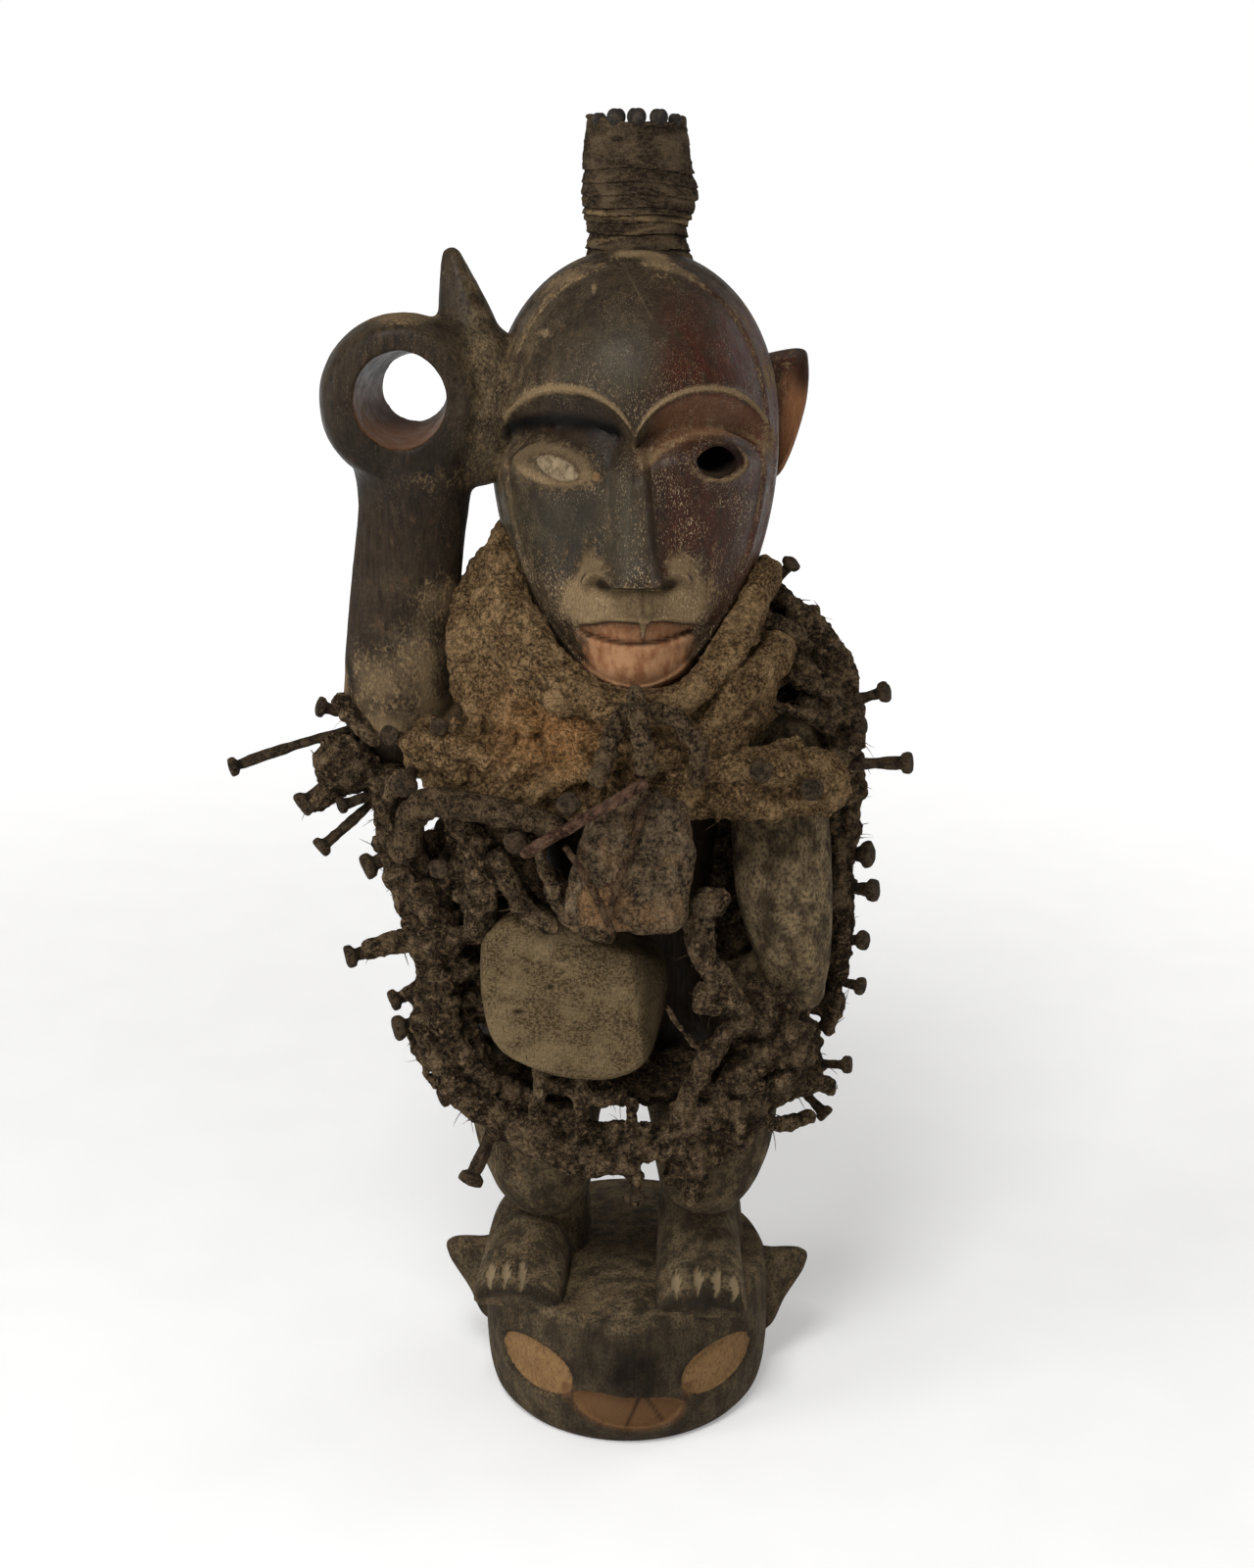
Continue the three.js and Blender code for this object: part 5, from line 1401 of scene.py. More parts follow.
@dataclass
class Carving(Piece):
    """The one carved body: head, ears, limbs and plinth, joined into a single skin."""

    head: Head = field(default_factory=Head)
    limbs: Limbs = field(default_factory=Limbs)
    plinth: Plinth = field(default_factory=Plinth)

    def ear(self, side: int) -> Skin:
        """A flap at the head's side with a dished face. side is 1 or -1."""
        outline = [[50, 508], [60, 511], [77, 514], [81, 508], [80, 488], [72, 462], [64, 453], [50, 458]]

        def place(u: Array, z: Array, share: float, size: float) -> tuple:
            """A layer's place between the flap's front and back, dished in front."""
            front, back = -7 - (u - 52) * 0.12, 8 - (u - 52) * 0.2
            dish = 2.0 * smooth(0.95, 0.6, np.full_like(u, size)) * (share == 0)
            return self.head.middle + side * u, front + (back - front) * share + dish, z

        layers = [(0.08, 0), (0.45, 0), (0.72, 0), (0.86, 0), (0.96, 0.12), (1, 0.4), (1, 0.7), (0.94, 0.92),
                  (0.8, 1), (0.1, 1)]
        return layered(outline, 60, (66.0, 487.0), layers, place)

    def build(self) -> Object:
        """Grows the parts into one skin and marks where it is red, dusty, flecked and bare, and where sheen and
        shade are painted.
        """
        made = self.limbs.build()
        made.name = self.name
        face = self.head.skin().object("face")
        united(face, self.head.eye_hole().object("hole"), "DIFFERENCE")
        united(made, face)
        for skin in (self.ear(1), self.ear(-1), self.plinth.skin(), self.plinth.ear(1), self.plinth.ear(-1)):
            united(made, skin.object("part"))
        self.dress(made)
        soften(made, 42)
        return self.place(made)

    def dress(self, made: Object) -> None:
        """Marks the wear, dust, painted sheen and painted shade: each mark is a sum of bells and steps placed
        on the face, limbs and plinth.
        """
        points, normals = read(made)
        deep = hollows(made, 10)
        x, y, z = points.T
        u = x - self.head.middle
        facing = normals[:, 1]
        above = smooth(356, 366, z)
        face = above * smooth(76, 66, np.abs(u)) * smooth(-2, -22, y) * smooth(-0.1, -0.35, facing)
        skull = above * smooth(78, 70, np.abs(u))
        arm = smooth(-58, -66, x) * smooth(330, 345, z)
        low = smooth(84, 74, z)
        up = np.clip(normals[:, 2], 0, 1)
        patch = noise(points, 14, 5)

        right = smooth(-2, 20, u)
        blush = 0.5 + 0.5 * oval(u, 34, 22, z, 512, 22)
        blush += 0.3 * oval(u, 30, 18, z, 440, 26)
        red = face * (right * smooth(560, 530, z) * smooth(386, 402, z) * blush
                      + 0.4 * oval(u, -30, 26, z, 486, 8))
        red += 0.6 * skull * smooth(40, 60, u)
        to_bore = np.hypot(x + 97.4 - y * 0.053, z - 497.5 - y * 0.02)
        within_bore = smooth(29, 25, to_bore) * (x < -60) * (z > 440) * smooth(0.75, 0.35, np.abs(facing))
        fist = arm * smooth(452, 462, z)
        ear = smooth(66, 70, np.abs(u)) * smooth(440, 452, z) * smooth(520, 515, z) * (x > 0)
        flat = ear * smooth(-0.2, -0.6, facing)
        red += 0.2 * within_bore + 0.4 * flat
        upper, lower = self.head.lip_lines(u)
        ends = smooth(1, 0.86, np.clip(np.abs(u - 1) / 27, 0, 1))
        inside = face * smooth(lower - 0.3, lower + 0.6, z) * smooth(upper + 0.4, upper - 0.4, z) * ends
        tooth = self.head.tooth(u, z)
        # Painted sheen: grey on the left cheek, the middle of the forehead and the nose ridge.
        grey = face * (smooth(8, -12, u) * smooth(408, 430, z) * ridge(z, 444, 24)
                       + 0.9 * oval(u, -4, 24, z, 516, 18)
                       + 0.8 * ridge(u, 0, 7) * smooth(414, 430, z) * smooth(470, 450, z))

        brow = self.head.brow(u)
        wide = 1.5 + 1.2 * smooth(10, 50, -u)
        line = ridge(z - brow, 1.6, wide) * smooth(63, 57, np.abs(u)) * smooth(-3, 6, np.abs(u))
        lid = ridge(z - self.head.lid(u), -0.6, 1.7) * smooth(3, 10, u) * smooth(62, 56, u)
        recess = smooth(0, 3, z - self.head.lid(u)) * smooth(0, -3, z - brow)
        between = recess * smooth(4, 12, u) * 0.12
        closed, rim = self.head.closed_reach(u, z), self.head.rim_reach(u, z)
        eyes = 0.85 * ridge(closed, 0.95, 0.16) + 0.5 * smooth(1.05, 0.9, closed)
        eyes += 0.25 * ridge(closed, 1.25, 0.2)
        toward = np.clip(0.5 - 0.075 * (z - 471.8) + 0.03 * (u - 36), 0.05, 1)
        eyes += 0.95 * ridge(rim, 1.02, 0.15) * toward
        wing = oval(np.abs(u - 0.8), 19, 5, z, 423, 8) * smooth(8, 12, np.abs(u - 0.8))
        lip = 1.1 * bell((u / 33) ** 4 + ((z - 409) / 10) ** 4) * smooth(upper - 1, upper + 1.5, z)
        lip += 0.5 * oval(np.abs(u), 22, 8, z, 412, 16)
        streak = 0.3 * oval(np.abs(u), 27, 12, z, 432, 14)
        streak *= smooth(0.3, 0.6, noise(points * (1, 1, 0.25), 3, 8))
        share = self.head.share(u, z)
        rims = ridge(share, 0.852, 0.022) + 0.8 * ridge(share, 0.955, 0.02)
        crease = oval(u, 5, 5, z, 474, 4)
        chips = (oval(u, -18, 1.0, z, 545, 3.2) + oval(u, -40, 3.6, z, 526, 1.8))
        dust = line + 0.5 * lid + between + eyes + 0.9 * wing + lip + streak + 0.6 * crease + 0.7 * chips
        dust *= face
        dust = np.maximum(dust, 0.8 * face * tooth * smooth(411, 407, z)) * (1 - inside * (1 - tooth))
        ahead = skull * smooth(-0.05, -0.2, facing)
        dust += ahead * rims * smooth(395, 440, z) * (0.15 + 0.6 * patch) * (1 - 0.5 * smooth(530, 552, z))
        dusty = smooth(0.3, 0.7, patch)
        dust += 0.4 * skull * smooth(0.86, 0.9, share) * smooth(440, 480, z) * dusty * smooth(10, -30, y)
        dust += 0.24 * skull * smooth(-45, 15, y) * (0.4 + patch)
        dust += 0.35 * ahead * smooth(540, 556, z) * smooth(0.3, 0.6, patch)
        streaks = noise(points * (1, 1, 0.4), 9, 15)
        forearm = arm * smooth(456, 420, z) * smooth(0.2, 0.65, 0.5 * patch + 0.5 * streaks)
        spread = 0.5 * smooth(-112, -92, x) * smooth(430, 406, z) + 0.9 * smooth(392, 360, z)
        dust += forearm * spread + 0.75 * arm * smooth(526, 534, z) * smooth(-80, -88, x) * up
        dust += 0.3 * arm * ridge(z, 460, 7) * ridge(x, -84, 24)
        dust += 0.10 * fist * smooth(-80, -66, x)
        lowered = smooth(40, 52, x) * smooth(352, 335, z) * smooth(186, 200, z)
        dust += lowered * (0.05 + 0.08 * dusty)
        legs = smooth(186, 170, z) * smooth(70, 84, z)
        dust += legs * (0.04 + 0.10 * smooth(0.35, 0.75, patch)) + 0.08 * (legs + low * up) * (x < 0)
        wide = smooth(0.4, 0.8, noise(points, 22, 9))
        dust += low * (0.05 + 0.14 * up * smooth(0.2, 0.8, patch) + 0.1 * wide)
        dust += 0.2 * low * ridge(z, 66.5, 1.4) * smooth(0.4, 0.6, noise(points, 11, 12))
        ahead = self.limbs.toe_share(x, y)
        toes = self.limbs.toe_cuts(x, self.limbs.leaf(ahead)) * smooth(65.5, 67, z) * smooth(88, 84, z)
        toes *= y < -50
        # Painted shade on the front ends of the toes, which face the light.
        cap = smooth(-0.45, -0.8, facing) * (z > 65.3) * (z < 79) * smooth(0.96, 0.985, ahead)

        front = (y < -20) & (z < 64) & (facing < 0.2)
        beast = smooth(1.12, 0.84, self.plinth.eye(x, z)) + smooth(1.12, 0.84, self.plinth.lips(x, z))
        bare = np.where(front, beast, 0)
        chin = face * smooth(lower + 0.8, lower - 0.8, z) * smooth(31, 15, np.abs(u - 1))
        chin += 0.62 * inside * (1 - tooth) * smooth(upper - 0.5, upper - 3.5, z) * smooth(30, 8, u)
        bare += face * smooth(1.4, 0.8, np.hypot(u + 17, (z - 466) * 0.7) / 1.5)
        worn_ear = flat * smooth(506, 492, z + 0.5 * (u - 70))
        bare += 0.42 * worn_ear
        scratch = ridge(u + 4 - (553 - z) * 0.57, 0, 0.3) * smooth(530, 534, z) * smooth(555, 550, z)
        pale = face * scratch * 0.22 + 1.1 * smooth(0.25, 0.55, toes)
        # Painted shade inside the open eye's hole, darker further in.
        hole = face * smooth(0.9, 0.8, rim) * smooth(-86, -80, y) * smooth(-92, -78, y + 0.4 * (u - 36))
        muzzle = (z < 64) * (y < -40) * oval(x, 0, 15, z, 42, 12)
        deeper = smooth(-78, -74, y) * smooth(1.1, 0.9, rim) * smooth(362, 370, z)
        hole = np.maximum(hole, deeper * (y > -80) * (y < -40) * (u > 20))
        shade = ridge(z - lower, 0.2, 0.7) * ends + ridge(z, upper, 0.8) * ends * (1 - tooth)
        shade += 1.1 * bell((u - 0.8) ** 4 / 20**4) * ridge(z - 415.8 - 0.006 * (u - 1) ** 2, 0, 1.4)
        shade += 0.9 * bell(((np.abs(u - 0.8) - 14.2) / 3.4) ** 4 + ((z - 417.6) / 2.8) ** 4)
        arch = self.head.arch(np.abs(u))
        under_brow = ridge(z - self.head.brow_level - 13 * arch, 2.4, 3.4) + 0.5 * recess
        # Real cracks in the plinth's mouth, then painted shade on the plinth eyes' upper rims, round the toe
        # cuts, on the raised forearm and on the left cheek.
        cracks_and_shade = ridge(x - 3 - 0.35 * (z - 20), 0, 0.9) + ridge(x - 12 + 0.5 * (z - 22), 0, 0.8)
        cracks_and_shade = 0.7 * cracks_and_shade * (self.plinth.lips(x, z) < 0.95) * front + 0.6 * front * np.where(
            z > 12, ridge(self.plinth.eye(x, z), 1.05, 0.06) * smooth(30, 38, z), 0)
        cracks_and_shade += 0.75 * (smooth(0.01, 0.12, toes) - smooth(0.2, 0.45, toes))
        cracks_and_shade += 0.45 * arm * ridge(z, 470, 24) * smooth(-60, -70, x) * (1 - within_bore)
        cracks_and_shade += 0.4 * face * smooth(-10, -20, u) * smooth(464, 454, z) * smooth(418, 430, z)
        shade = cracks_and_shade + 0.8 * face * np.clip(shade, 0, 1)
        shade += 0.85 * face * under_brow * smooth(-3, -9, u) * smooth(-62, -57, u)

        fleck = face * (0.5 + 0.5 * right * smooth(490, 450, z) + 0.35 * smooth(450, 420, z))
        fleck *= 1 - 0.45 * smooth(500, 515, z)
        fleck += 0.3 * skull * (1 - face) + 0.14 * (arm + low + legs + lowered)
        warm = 0.32 * recess * smooth(4, 14, u) + 0.65 * lid + 0.6 * inside * (1 - tooth) + 0.28 * crease
        warm = face * warm + 0.95 * worn_ear + 0.9 * (z < 31) * (np.abs(x) < 32) * bare
        warm += 0.55 * within_bore * smooth(-0.35, 0.45, normals[:, 2] + 0.3 * normals[:, 0])
        dust *= 1 - 0.75 * worn_ear
        dull = 0.75 * low + 0.7 * legs + 0.6 * lowered + 0.45 * arm * smooth(470, 440, z) + hole
        haze = lowered + 0.55 * legs + 0.16 * skull * (1 - face)
        haze += low * (0.18 + 0.2 * smooth(20, 45, np.abs(x)) + 0.6 * up * (z > 60))
        haze += arm * (0.3 * smooth(430, 380, z) * smooth(-120, -100, x) + 0.05)
        haze += fist * (0.24 * smooth(-84, -68, x) + 0.12 * up) + 0.3 * face * smooth(-28, -56, u)
        haze = haze * (1 - 0.8 * within_bore) + 0.12 * face
        marks = {
            "red": (red + 0.3 * inside) * (1 - np.clip(bare + chin, 0, 0.8)),
            "grey": 0.8 * grey * (1 - np.clip(dust, 0, 1)) + 0.3 * legs + 0.3 * low,
            "haze": haze * (1 - np.clip(red + bare + cap, 0, 1)),
            # Painted shade in the eye hole, under the nose, along the lips, under the brows, in the toe cuts,
            # on the toe fronts, raised forearm, left cheek and plinth eyes' upper rims; real cracks in the
            # plinth's mouth; a darker patch on the beast's muzzle.
            "dark": 0.74 * hole + shade + 0.8 * muzzle + 0.25 * cap,
            "dust": dust * (1 - hole), "bare": bare * (1 - hole), "fleck": fleck * (1 - hole),
            "hollow": smooth(0.12, 0.9, deep), "warm": warm, "chin": chin, "dull": dull, "pale": pale,
        }
        for name, values in marks.items():
            mark(made, name, values)


@dataclass
class EyeInlay(Piece):
    """The leaf-shaped inlay of the closed eye, laid a little aslant on the head's skin."""

    head: Head = field(default_factory=Head)
    seat: tuple[float, float] = (-32.2, 469.0)
    long: float = 22.5
    high: float = 9.8
    slant: float = -17.0

    def build(self) -> Object:
        """A pointed leaf outline in rings from its domed face to the back, turned to the skin's slope."""
        seat, out = self.head.spot(*self.seat)
        across = unit(np.cross((0, 0, 1), out))
        across = across * (1 if across[0] > 0 else -1)
        up = np.cross(out, across) * -1
        up = up * (1 if up[2] > 0 else -1)
        lean = math.radians(self.slant)
        turn = turns(60)
        leaf = self.long / 2 * np.cos(turn), self.high / 2 * np.sin(turn) * np.abs(np.sin(turn)) ** 0.35
        rings = []
        for size, rise in ((0.05, 1.7), (0.3, 1.66), (0.55, 1.5), (0.75, 1.3), (0.9, 1.0), (0.98, 0.6),
                           (1, -0.2), (0.96, -3)):
            a, b = leaf[0] * size, leaf[1] * size
            a, b = a * math.cos(lean) - b * math.sin(lean), a * math.sin(lean) + b * math.cos(lean)
            rings.append(seat + a[:, None] * across + b[:, None] * up + out * rise)
        made = Skin.through(np.array(rings)).object(self.name)
        return self.marked_and_placed(made, 0.3, 3)


# ---------------------------------------------------------------- bundles and wads


@dataclass
class CrownBundle(Piece):
    """The bundle on the crown: a core wound with strips of cloth whose edges lap and fray."""

    middle: tuple[float, float] = (4.5, -12.0)
    foot: float = 554.0
    top: float = 615.5
    half_width: float = 25.0
    half_depth: float = 23.0
    strips: Profile = Profile(
        (0, 0), (0.09, 1), (0.2, 2), (0.28, 3), (0.33, 4), (0.38, 5), (0.47, 6), (0.56, 7), (0.66, 8), (1, 9))
    swell: Profile = Profile(
        (0, 0.96), (0.1, 0.93), (0.22, 0.9), (0.35, 0.98), (0.5, 1.03), (0.62, 1.0), (0.85, 0.985), (1, 0.95))

    def build(self) -> Object:
        """Rings up the bundle: the radius is the swell times saw-toothed laps, plus wrinkles; then the top."""
        turn = turns(150)[None, :]
        share = np.linspace(0, 1, 128)[:, None]
        tilt = 0.03 * np.sin(turn + 0.6) * np.sin(np.pi * share) + 0.012 * np.sin(3 * turn + 5 * share)
        count = self.strips(share + tilt)
        saw = count - np.floor(count)
        lap = 1.25 * (1 - saw) ** 0.8 * (0.7 + 0.6 * lattice(np.stack([np.floor(count)] * 3, -1), 4)) - 0.5
        where = spread(25 * np.cos(turn), 25 * np.sin(turn), 61 * share)
        wrinkle = 0.55 * rough(where * (1, 1, 4), 16, 8) + 0.35 * rough(where, 4, 2)
        radius = self.swell(share) + (lap + wrinkle) / 24
        bulge = 0.09 * ridge(share, 0.5, 0.13) - 0.03 * smooth(0.62, 0.75, share)
        bulge += 0.07 * smooth(0.12, 0, share)
        radius = radius + bulge * np.clip(np.cos(turn), 0, 1) - 0.02 * np.clip(-np.cos(turn), 0, 1)
        edge = 2.4 * (noise(where * (1, 1, 0.1), 4, 21) - 0.4) + 3.4 * smooth(-0.45, -0.8, np.cos(turn))
        ragged = (edge + 2.6 * smooth(0.8, 0.95, np.cos(turn))) * smooth(0.93, 1, share)
        x = self.middle[0] + self.half_width * radius * np.cos(turn)
        y = self.middle[1] + self.half_depth * radius * np.sin(turn)
        z = self.foot + (self.top - self.foot) * share + ragged
        inward = np.array([0.95, 0.88, 0.84, 0.8, 0.6, 0.3, 0.05])[:, None]
        dip = np.array([0.4, 0.2, -1.6, -3.0, -3.4, -3.2, -3.0])[:, None]
        x0, y0 = self.middle
        lid = spread(x0 + (x[-1] - x0) * inward, y0 + (y[-1] - y0) * inward, z[-1] + dip)
        made = Skin.through(np.concatenate([spread(x, y, z), lid])).object(self.name)
        shift(made, lambda p, n: 0.5 * rough(p * (1, 1, 2), 3.2, 31))
        upper = lambda p: ridge(p[:, 2] + 0.1 * p[:, 0], 575, 1.3) * smooth(0.35, 0.6, noise(p, 9, 3))
        lower = lambda p: 0.5 * ridge(p[:, 2] - 0.25 * p[:, 0], 567, 1.0)
        return self.marked_and_placed(made, 0.6, 5, 60, lambda p: upper(p) + lower(p))


@dataclass
class CrownBead(Piece):
    """One dark bead on the bundle's rim: an uneven ball with a dimple."""

    spot: tuple[float, float, float] = (0, 0, 0)
    half: float = 4.3

    def build(self) -> Object:
        """A ball by turn and height whose radius is drawn in towards a dimple on top."""
        turn = turns(24)[None, :]
        rise = np.linspace(0.06, np.pi - 0.06, 17)[:, None]
        uneven = 0.05 * np.sin(3 * turn + self.spot[0]) * np.sin(rise)
        size = self.half * (1 + uneven - 0.25 * ridge(rise, 0, 0.35))
        flat = size * np.sin(rise)
        ball = spread(flat * np.cos(turn), flat * np.sin(turn), size * np.cos(rise))
        made = Skin.through(ball + self.spot).object(self.name)
        return self.marked_and_placed(made, 0.3, 3)


@dataclass
class Wad(Piece):
    """A mass of rag, roll or resin: swept forms, strands wound over them and ties, grown into one skin."""

    forms: list = field(default_factory=list)
    strands: list = field(default_factory=list)
    voxel: float = 1.4
    lumps: float = 1.2
    fibre: float = 0.8
    seed: int = 0
    tint: Callable[[Array], Array] | None = None
    frayed: int = 0
    fray_long: float = 5.0

    def crust(self, points: Array, normals: Array) -> Array:
        """The surface's stand: wide lumps, short fibres and grains, added up in millimetres."""
        out = self.lumps * (rough(points, 12.0, self.seed) + 0.6 * rough(points, 5.0, self.seed + 1, 2))
        out += self.fibre * rough(points, 2.6, self.seed + 5, 2)
        nearest = nearest_grain(points + 1.5 * rough(points, 6, 3)[:, None], 5.2, self.seed + 9)
        return out + self.fibre * 0.7 * (0.5 - nearest)

    def build(self) -> Object:
        """Grows the shells together, roughens the skin, marks hollows and crests, and frays it."""
        made = Skin.together([*self.forms, *self.strands]).object(self.name)
        grown_together(made, self.voxel, 1)
        shift(made, self.crust)
        if self.frayed:
            loose = fibres(*read(made), self.frayed, self.seed + 3, self.fray_long, 0.3)
            hair = loose.object(self.name + "_fibres")
            # The fibres' crest mark lightens them a little: dust and painted highlight.
            for name in ("hollow", "crest", "tint"):
                mark(hair, name, np.full(len(loose.points), 0.3 if name == "crest" else 0.0))
            Piece(hair.name, (), self.slot, self.finish).place(hair)
        return self.marked_and_placed(made, 0.85, 7, 70, self.tint)


def neck_roll() -> Wad:
    """The rolls tied round the neck: a thick crusted one on the left and a thin one under the chin."""
    ring = [(6, -89, 362, 8, 8), (32, -84, 370, 7.5, 7.5), (50, -64, 391, 8, 8), (62, -42, 412, 8, 8),
            (58, 0, 406, 9, 9), (24, 24, 402, 9, 9), (-20, 24, 402, 9, 9), (-52, 2, 408, 9, 9),
            (-58, -42, 420, 9.5, 11), (-50, -64, 396, 11, 12), (-25, -84, 368, 10, 10)]
    inner = swept(ring, 150, 26, (0, 0, 1), closed=True, relief=lobes(0.07, 7, 2))
    left = [(-50, -22, 436), (-57, -40, 430), (-58, -56, 415), (-52, -69, 398), (-40, -81, 381),
            (-22, -90, 367), (-6, -95, 361)]
    over = [(-56, -20, 420), (-66, -36, 420), (-67, -52, 408), (-60, -66, 391), (-46, -78, 373),
            (-28, -86, 361)]
    right = [(61, -48, 413), (55, -66, 395), (41, -82, 376), (21, -93, 364), (2, -96, 360)]
    strands = [thread(left, 6.2, 40, 14, 3), thread(over, 5.2, 40, 14, 4), thread(right, 5.4, 40, 14, 2),
               thread([(-12, -96, 362), (0, -99, 358), (10, -98, 361)], 6.0, 12, 12)]
    return Wad("neck_roll_crust", ("neck_roll",), "resin_crust", Finish.RESIN_CRUST, [inner],
               strands + wound(ring, 12, 41, 2.8, 1.5, True, (0, 0, 1), 0.8)
               + [strewn(ring, 60, 42, 3.0, True, (0, 0, 1), 0.8)], 1.2, 1.3, 0.8, 41, None, 150, 3.5)


def resin_mantle() -> Wad:
    """The mantle of crusted matter over the shoulders, and the band across the chest below it."""
    ring = [(-65, -32, 378, 16, 30), (-57, -61, 362, 14, 25), (-28, -76, 349, 12, 18), (10, -80, 343, 11, 14),
            (44, -72, 351, 12, 18), (60, -46, 370, 12, 19), (55, 0, 380, 12, 16), (20, 28, 376, 12, 22),
            (-30, 28, 378, 12, 24)]
    band = [(-94, -61, 334, 13, 13), (-70, -68, 334, 17, 14), (-36, -76, 327, 18, 15), (0, -78, 321, 17, 14),
            (42, -75, 323, 17, 15), (74, -69, 326, 16, 14), (94, -58, 322, 13, 12)]
    forms = [swept(scaled(ring, 0.95), 90, 30, (0, 0, 1), closed=True),
             swept(scaled(band, 0.88), 60, 26, rounding=0.8)]
    rolls = [thread([(34, -78, 352), (50, -76, 366), (64, -60, 376), (70, -40, 380)], 9.5, 20, 14),
             thread([(-66, -26, 412), (-73, -40, 400), (-73, -54, 380), (-68, -64, 358)], 9, 24, 14),
             thread([(-98, -66, 340), (-80, -78, 342), (-60, -80, 336), (-40, -84, 338)], 6.5, 24, 12, 2),
             thread([(-20, -90, 334), (-40, -86, 322), (-58, -82, 318), (-72, -74, 322)], 6.0, 24, 12, 2),
             thread([(30, -86, 330), (52, -86, 334), (74, -80, 330), (94, -66, 324)], 7.0, 24, 12, 2),
             thread([(40, -84, 318), (60, -82, 316), (82, -74, 314), (98, -62, 316)], 6.0, 24, 12, 2)]
    ochre = lambda p: oval(p[:, 0], -34, 26, p[:, 2], 348, 17) * 1.1
    return Wad("resin_mantle_crust", ("resin_mantle",), "resin_crust", Finish.RESIN_CRUST, forms,
               rolls + wound(band, 14, 51, 3.0, 1.2, reach=0.8)
               + wound(ring, 6, 52, 3.4, 0.8, True, (0, 0, 1), 0.78)
               + [strewn(ring, 130, 53, 6.0, True, (0, 0, 1), 0.84), strewn(band, 110, 54, 4.6)],
               1.3, 2.0, 1.0, 51, ochre, 250, 4.0)


def rag_mass_left() -> Wad:
    """The rags over the raised elbow and down the flank."""
    outer = [(-112, -40, 316, 12, 13), (-107, -48, 293, 10, 13), (-100, -52, 272, 9, 13),
             (-90, -54, 250, 9, 13), (-86, -54, 226, 9, 13), (-89, -56, 203, 12, 13), (-76, -58, 180, 13, 13)]
    inner = [(-68, -32, 290, 25, 17), (-68, -34, 250, 25, 16), (-71, -40, 206, 20, 14)]
    column = [(-69, -64, 298, 9, 20), (-68, -66, 281, 10, 22), (-68, -64, 264, 9, 20)]
    folds = lambda place, turn: 1 + 0.09 * np.cos(9 * turn + 2 * np.sin(7 * place))
    knob = [(-131, -30, 324, 12, 12), (-131, -40, 324, 15, 14.5), (-131, -48, 324, 12.5, 12)]
    forms = [swept(scaled(outer, 0.86), 50, 18, rounding=0.8), swept(scaled(inner, 0.95), 24, 24, rounding=0.8),
             swept(scaled(column, 0.86), 24, 20, rounding=0.8),
             swept(knob, 20, 54, (0, 0, 1), 0.5, relief=folds)]
    ties = [
        thread([(-112, -50, 296), (-108, -55, 279), (-103, -58, 260), (-98, -58, 243), (-95, -60, 228),
                (-95, -60, 212)], 5.2, 40, 12, 5),
        thread([(-97, -58, 284), (-92, -60, 267), (-87, -60, 251), (-88, -58, 238)], 4.4, 30, 12, 4),
        thread([(-74, -78, 304), (-69, -84, 290), (-66, -86, 274), (-69, -82, 256)], 6.6, 30, 14, 2),
        thread([(-104, -62, 322), (-113, -62, 310), (-110, -60, 298), (-104, -62, 290)], 3.8, 24, 12, 3),
        thread([(-120, -54, 238), (-108, -54, 241), (-96, -54, 244), (-84, -52, 247)], 5.0, 26, 12, 5, 0.9),
        thread([(-98, -60, 243), (-84, -64, 246), (-72, -66, 249), (-64, -60, 250)], 4.2, 26, 12, 4),
        thread([(-92, -64, 226), (-86, -68, 205), (-77, -70, 190), (-64, -72, 178)], 5.6, 34, 12, 5),
        thread([(-98, -60, 204), (-90, -66, 190), (-78, -70, 175), (-60, -74, 162)], 6.2, 34, 12, 4),
        thread([(-104, -56, 216), (-92, -60, 222), (-78, -62, 228), (-66, -56, 232)], 4.0, 26, 12, 4),
        thread([(-118, -46, 338), (-126, -44, 346), (-134, -40, 354)], 4.2, 16, 12, 3),
        thread([(-146, -42, 306), (-134, -42, 314), (-124, -40, 320)], 5.0, 16, 12, 3),
        thread([(-100, -44, 192), (-96, -58, 186), (-84, -68, 182)], 5.0, 20, 12, 3),
        thread([(-88, -64, 180), (-92, -66, 186), (-96, -60, 178), (-90, -60, 172)], 1.6, 26, 8),
        thread([(-96, -50, 250), (-104, -48, 262), (-112, -48, 272)], 4.2, 16, 10, 3),
        thread([(-42, -98, 302), (-37, -101, 290), (-30, -103, 272), (-19, -104, 262), (-8, -103, 259)],
               3.4, 36, 12, 5),
        thread([(-58, -88, 292), (-52, -92, 278), (-44, -94, 266), (-34, -95, 262)], 4.6, 28, 12, 3),
        thread([(-84, -50, 312), (-80, -58, 296), (-80, -60, 280), (-86, -58, 262)], 5.0, 28, 12, 3),
        thread([(-60, -70, 300), (-50, -74, 292), (-40, -74, 280), (-30, -74, 270)], 7.0, 28, 14, 2),
    ]
    return Wad("rag_mass_left_cloth", ("rag_mass_left",), "rag", Finish.RAG, forms,
               ties + wound(outer, 20, 61, 3.0, 1.6, reach=0.86) + wound(inner, 14, 62, 3.4, 1.0)
               + wound(column, 5, 63, 2.6, 1.0)
               + [strewn(outer, 130, 64, 4.2, reach=0.95), strewn(inner, 70, 65, 5.0, reach=0.95),
                  strewn(column, 40, 66, 3.4)], 1.25, 1.9, 1.0, 61, None, 600)


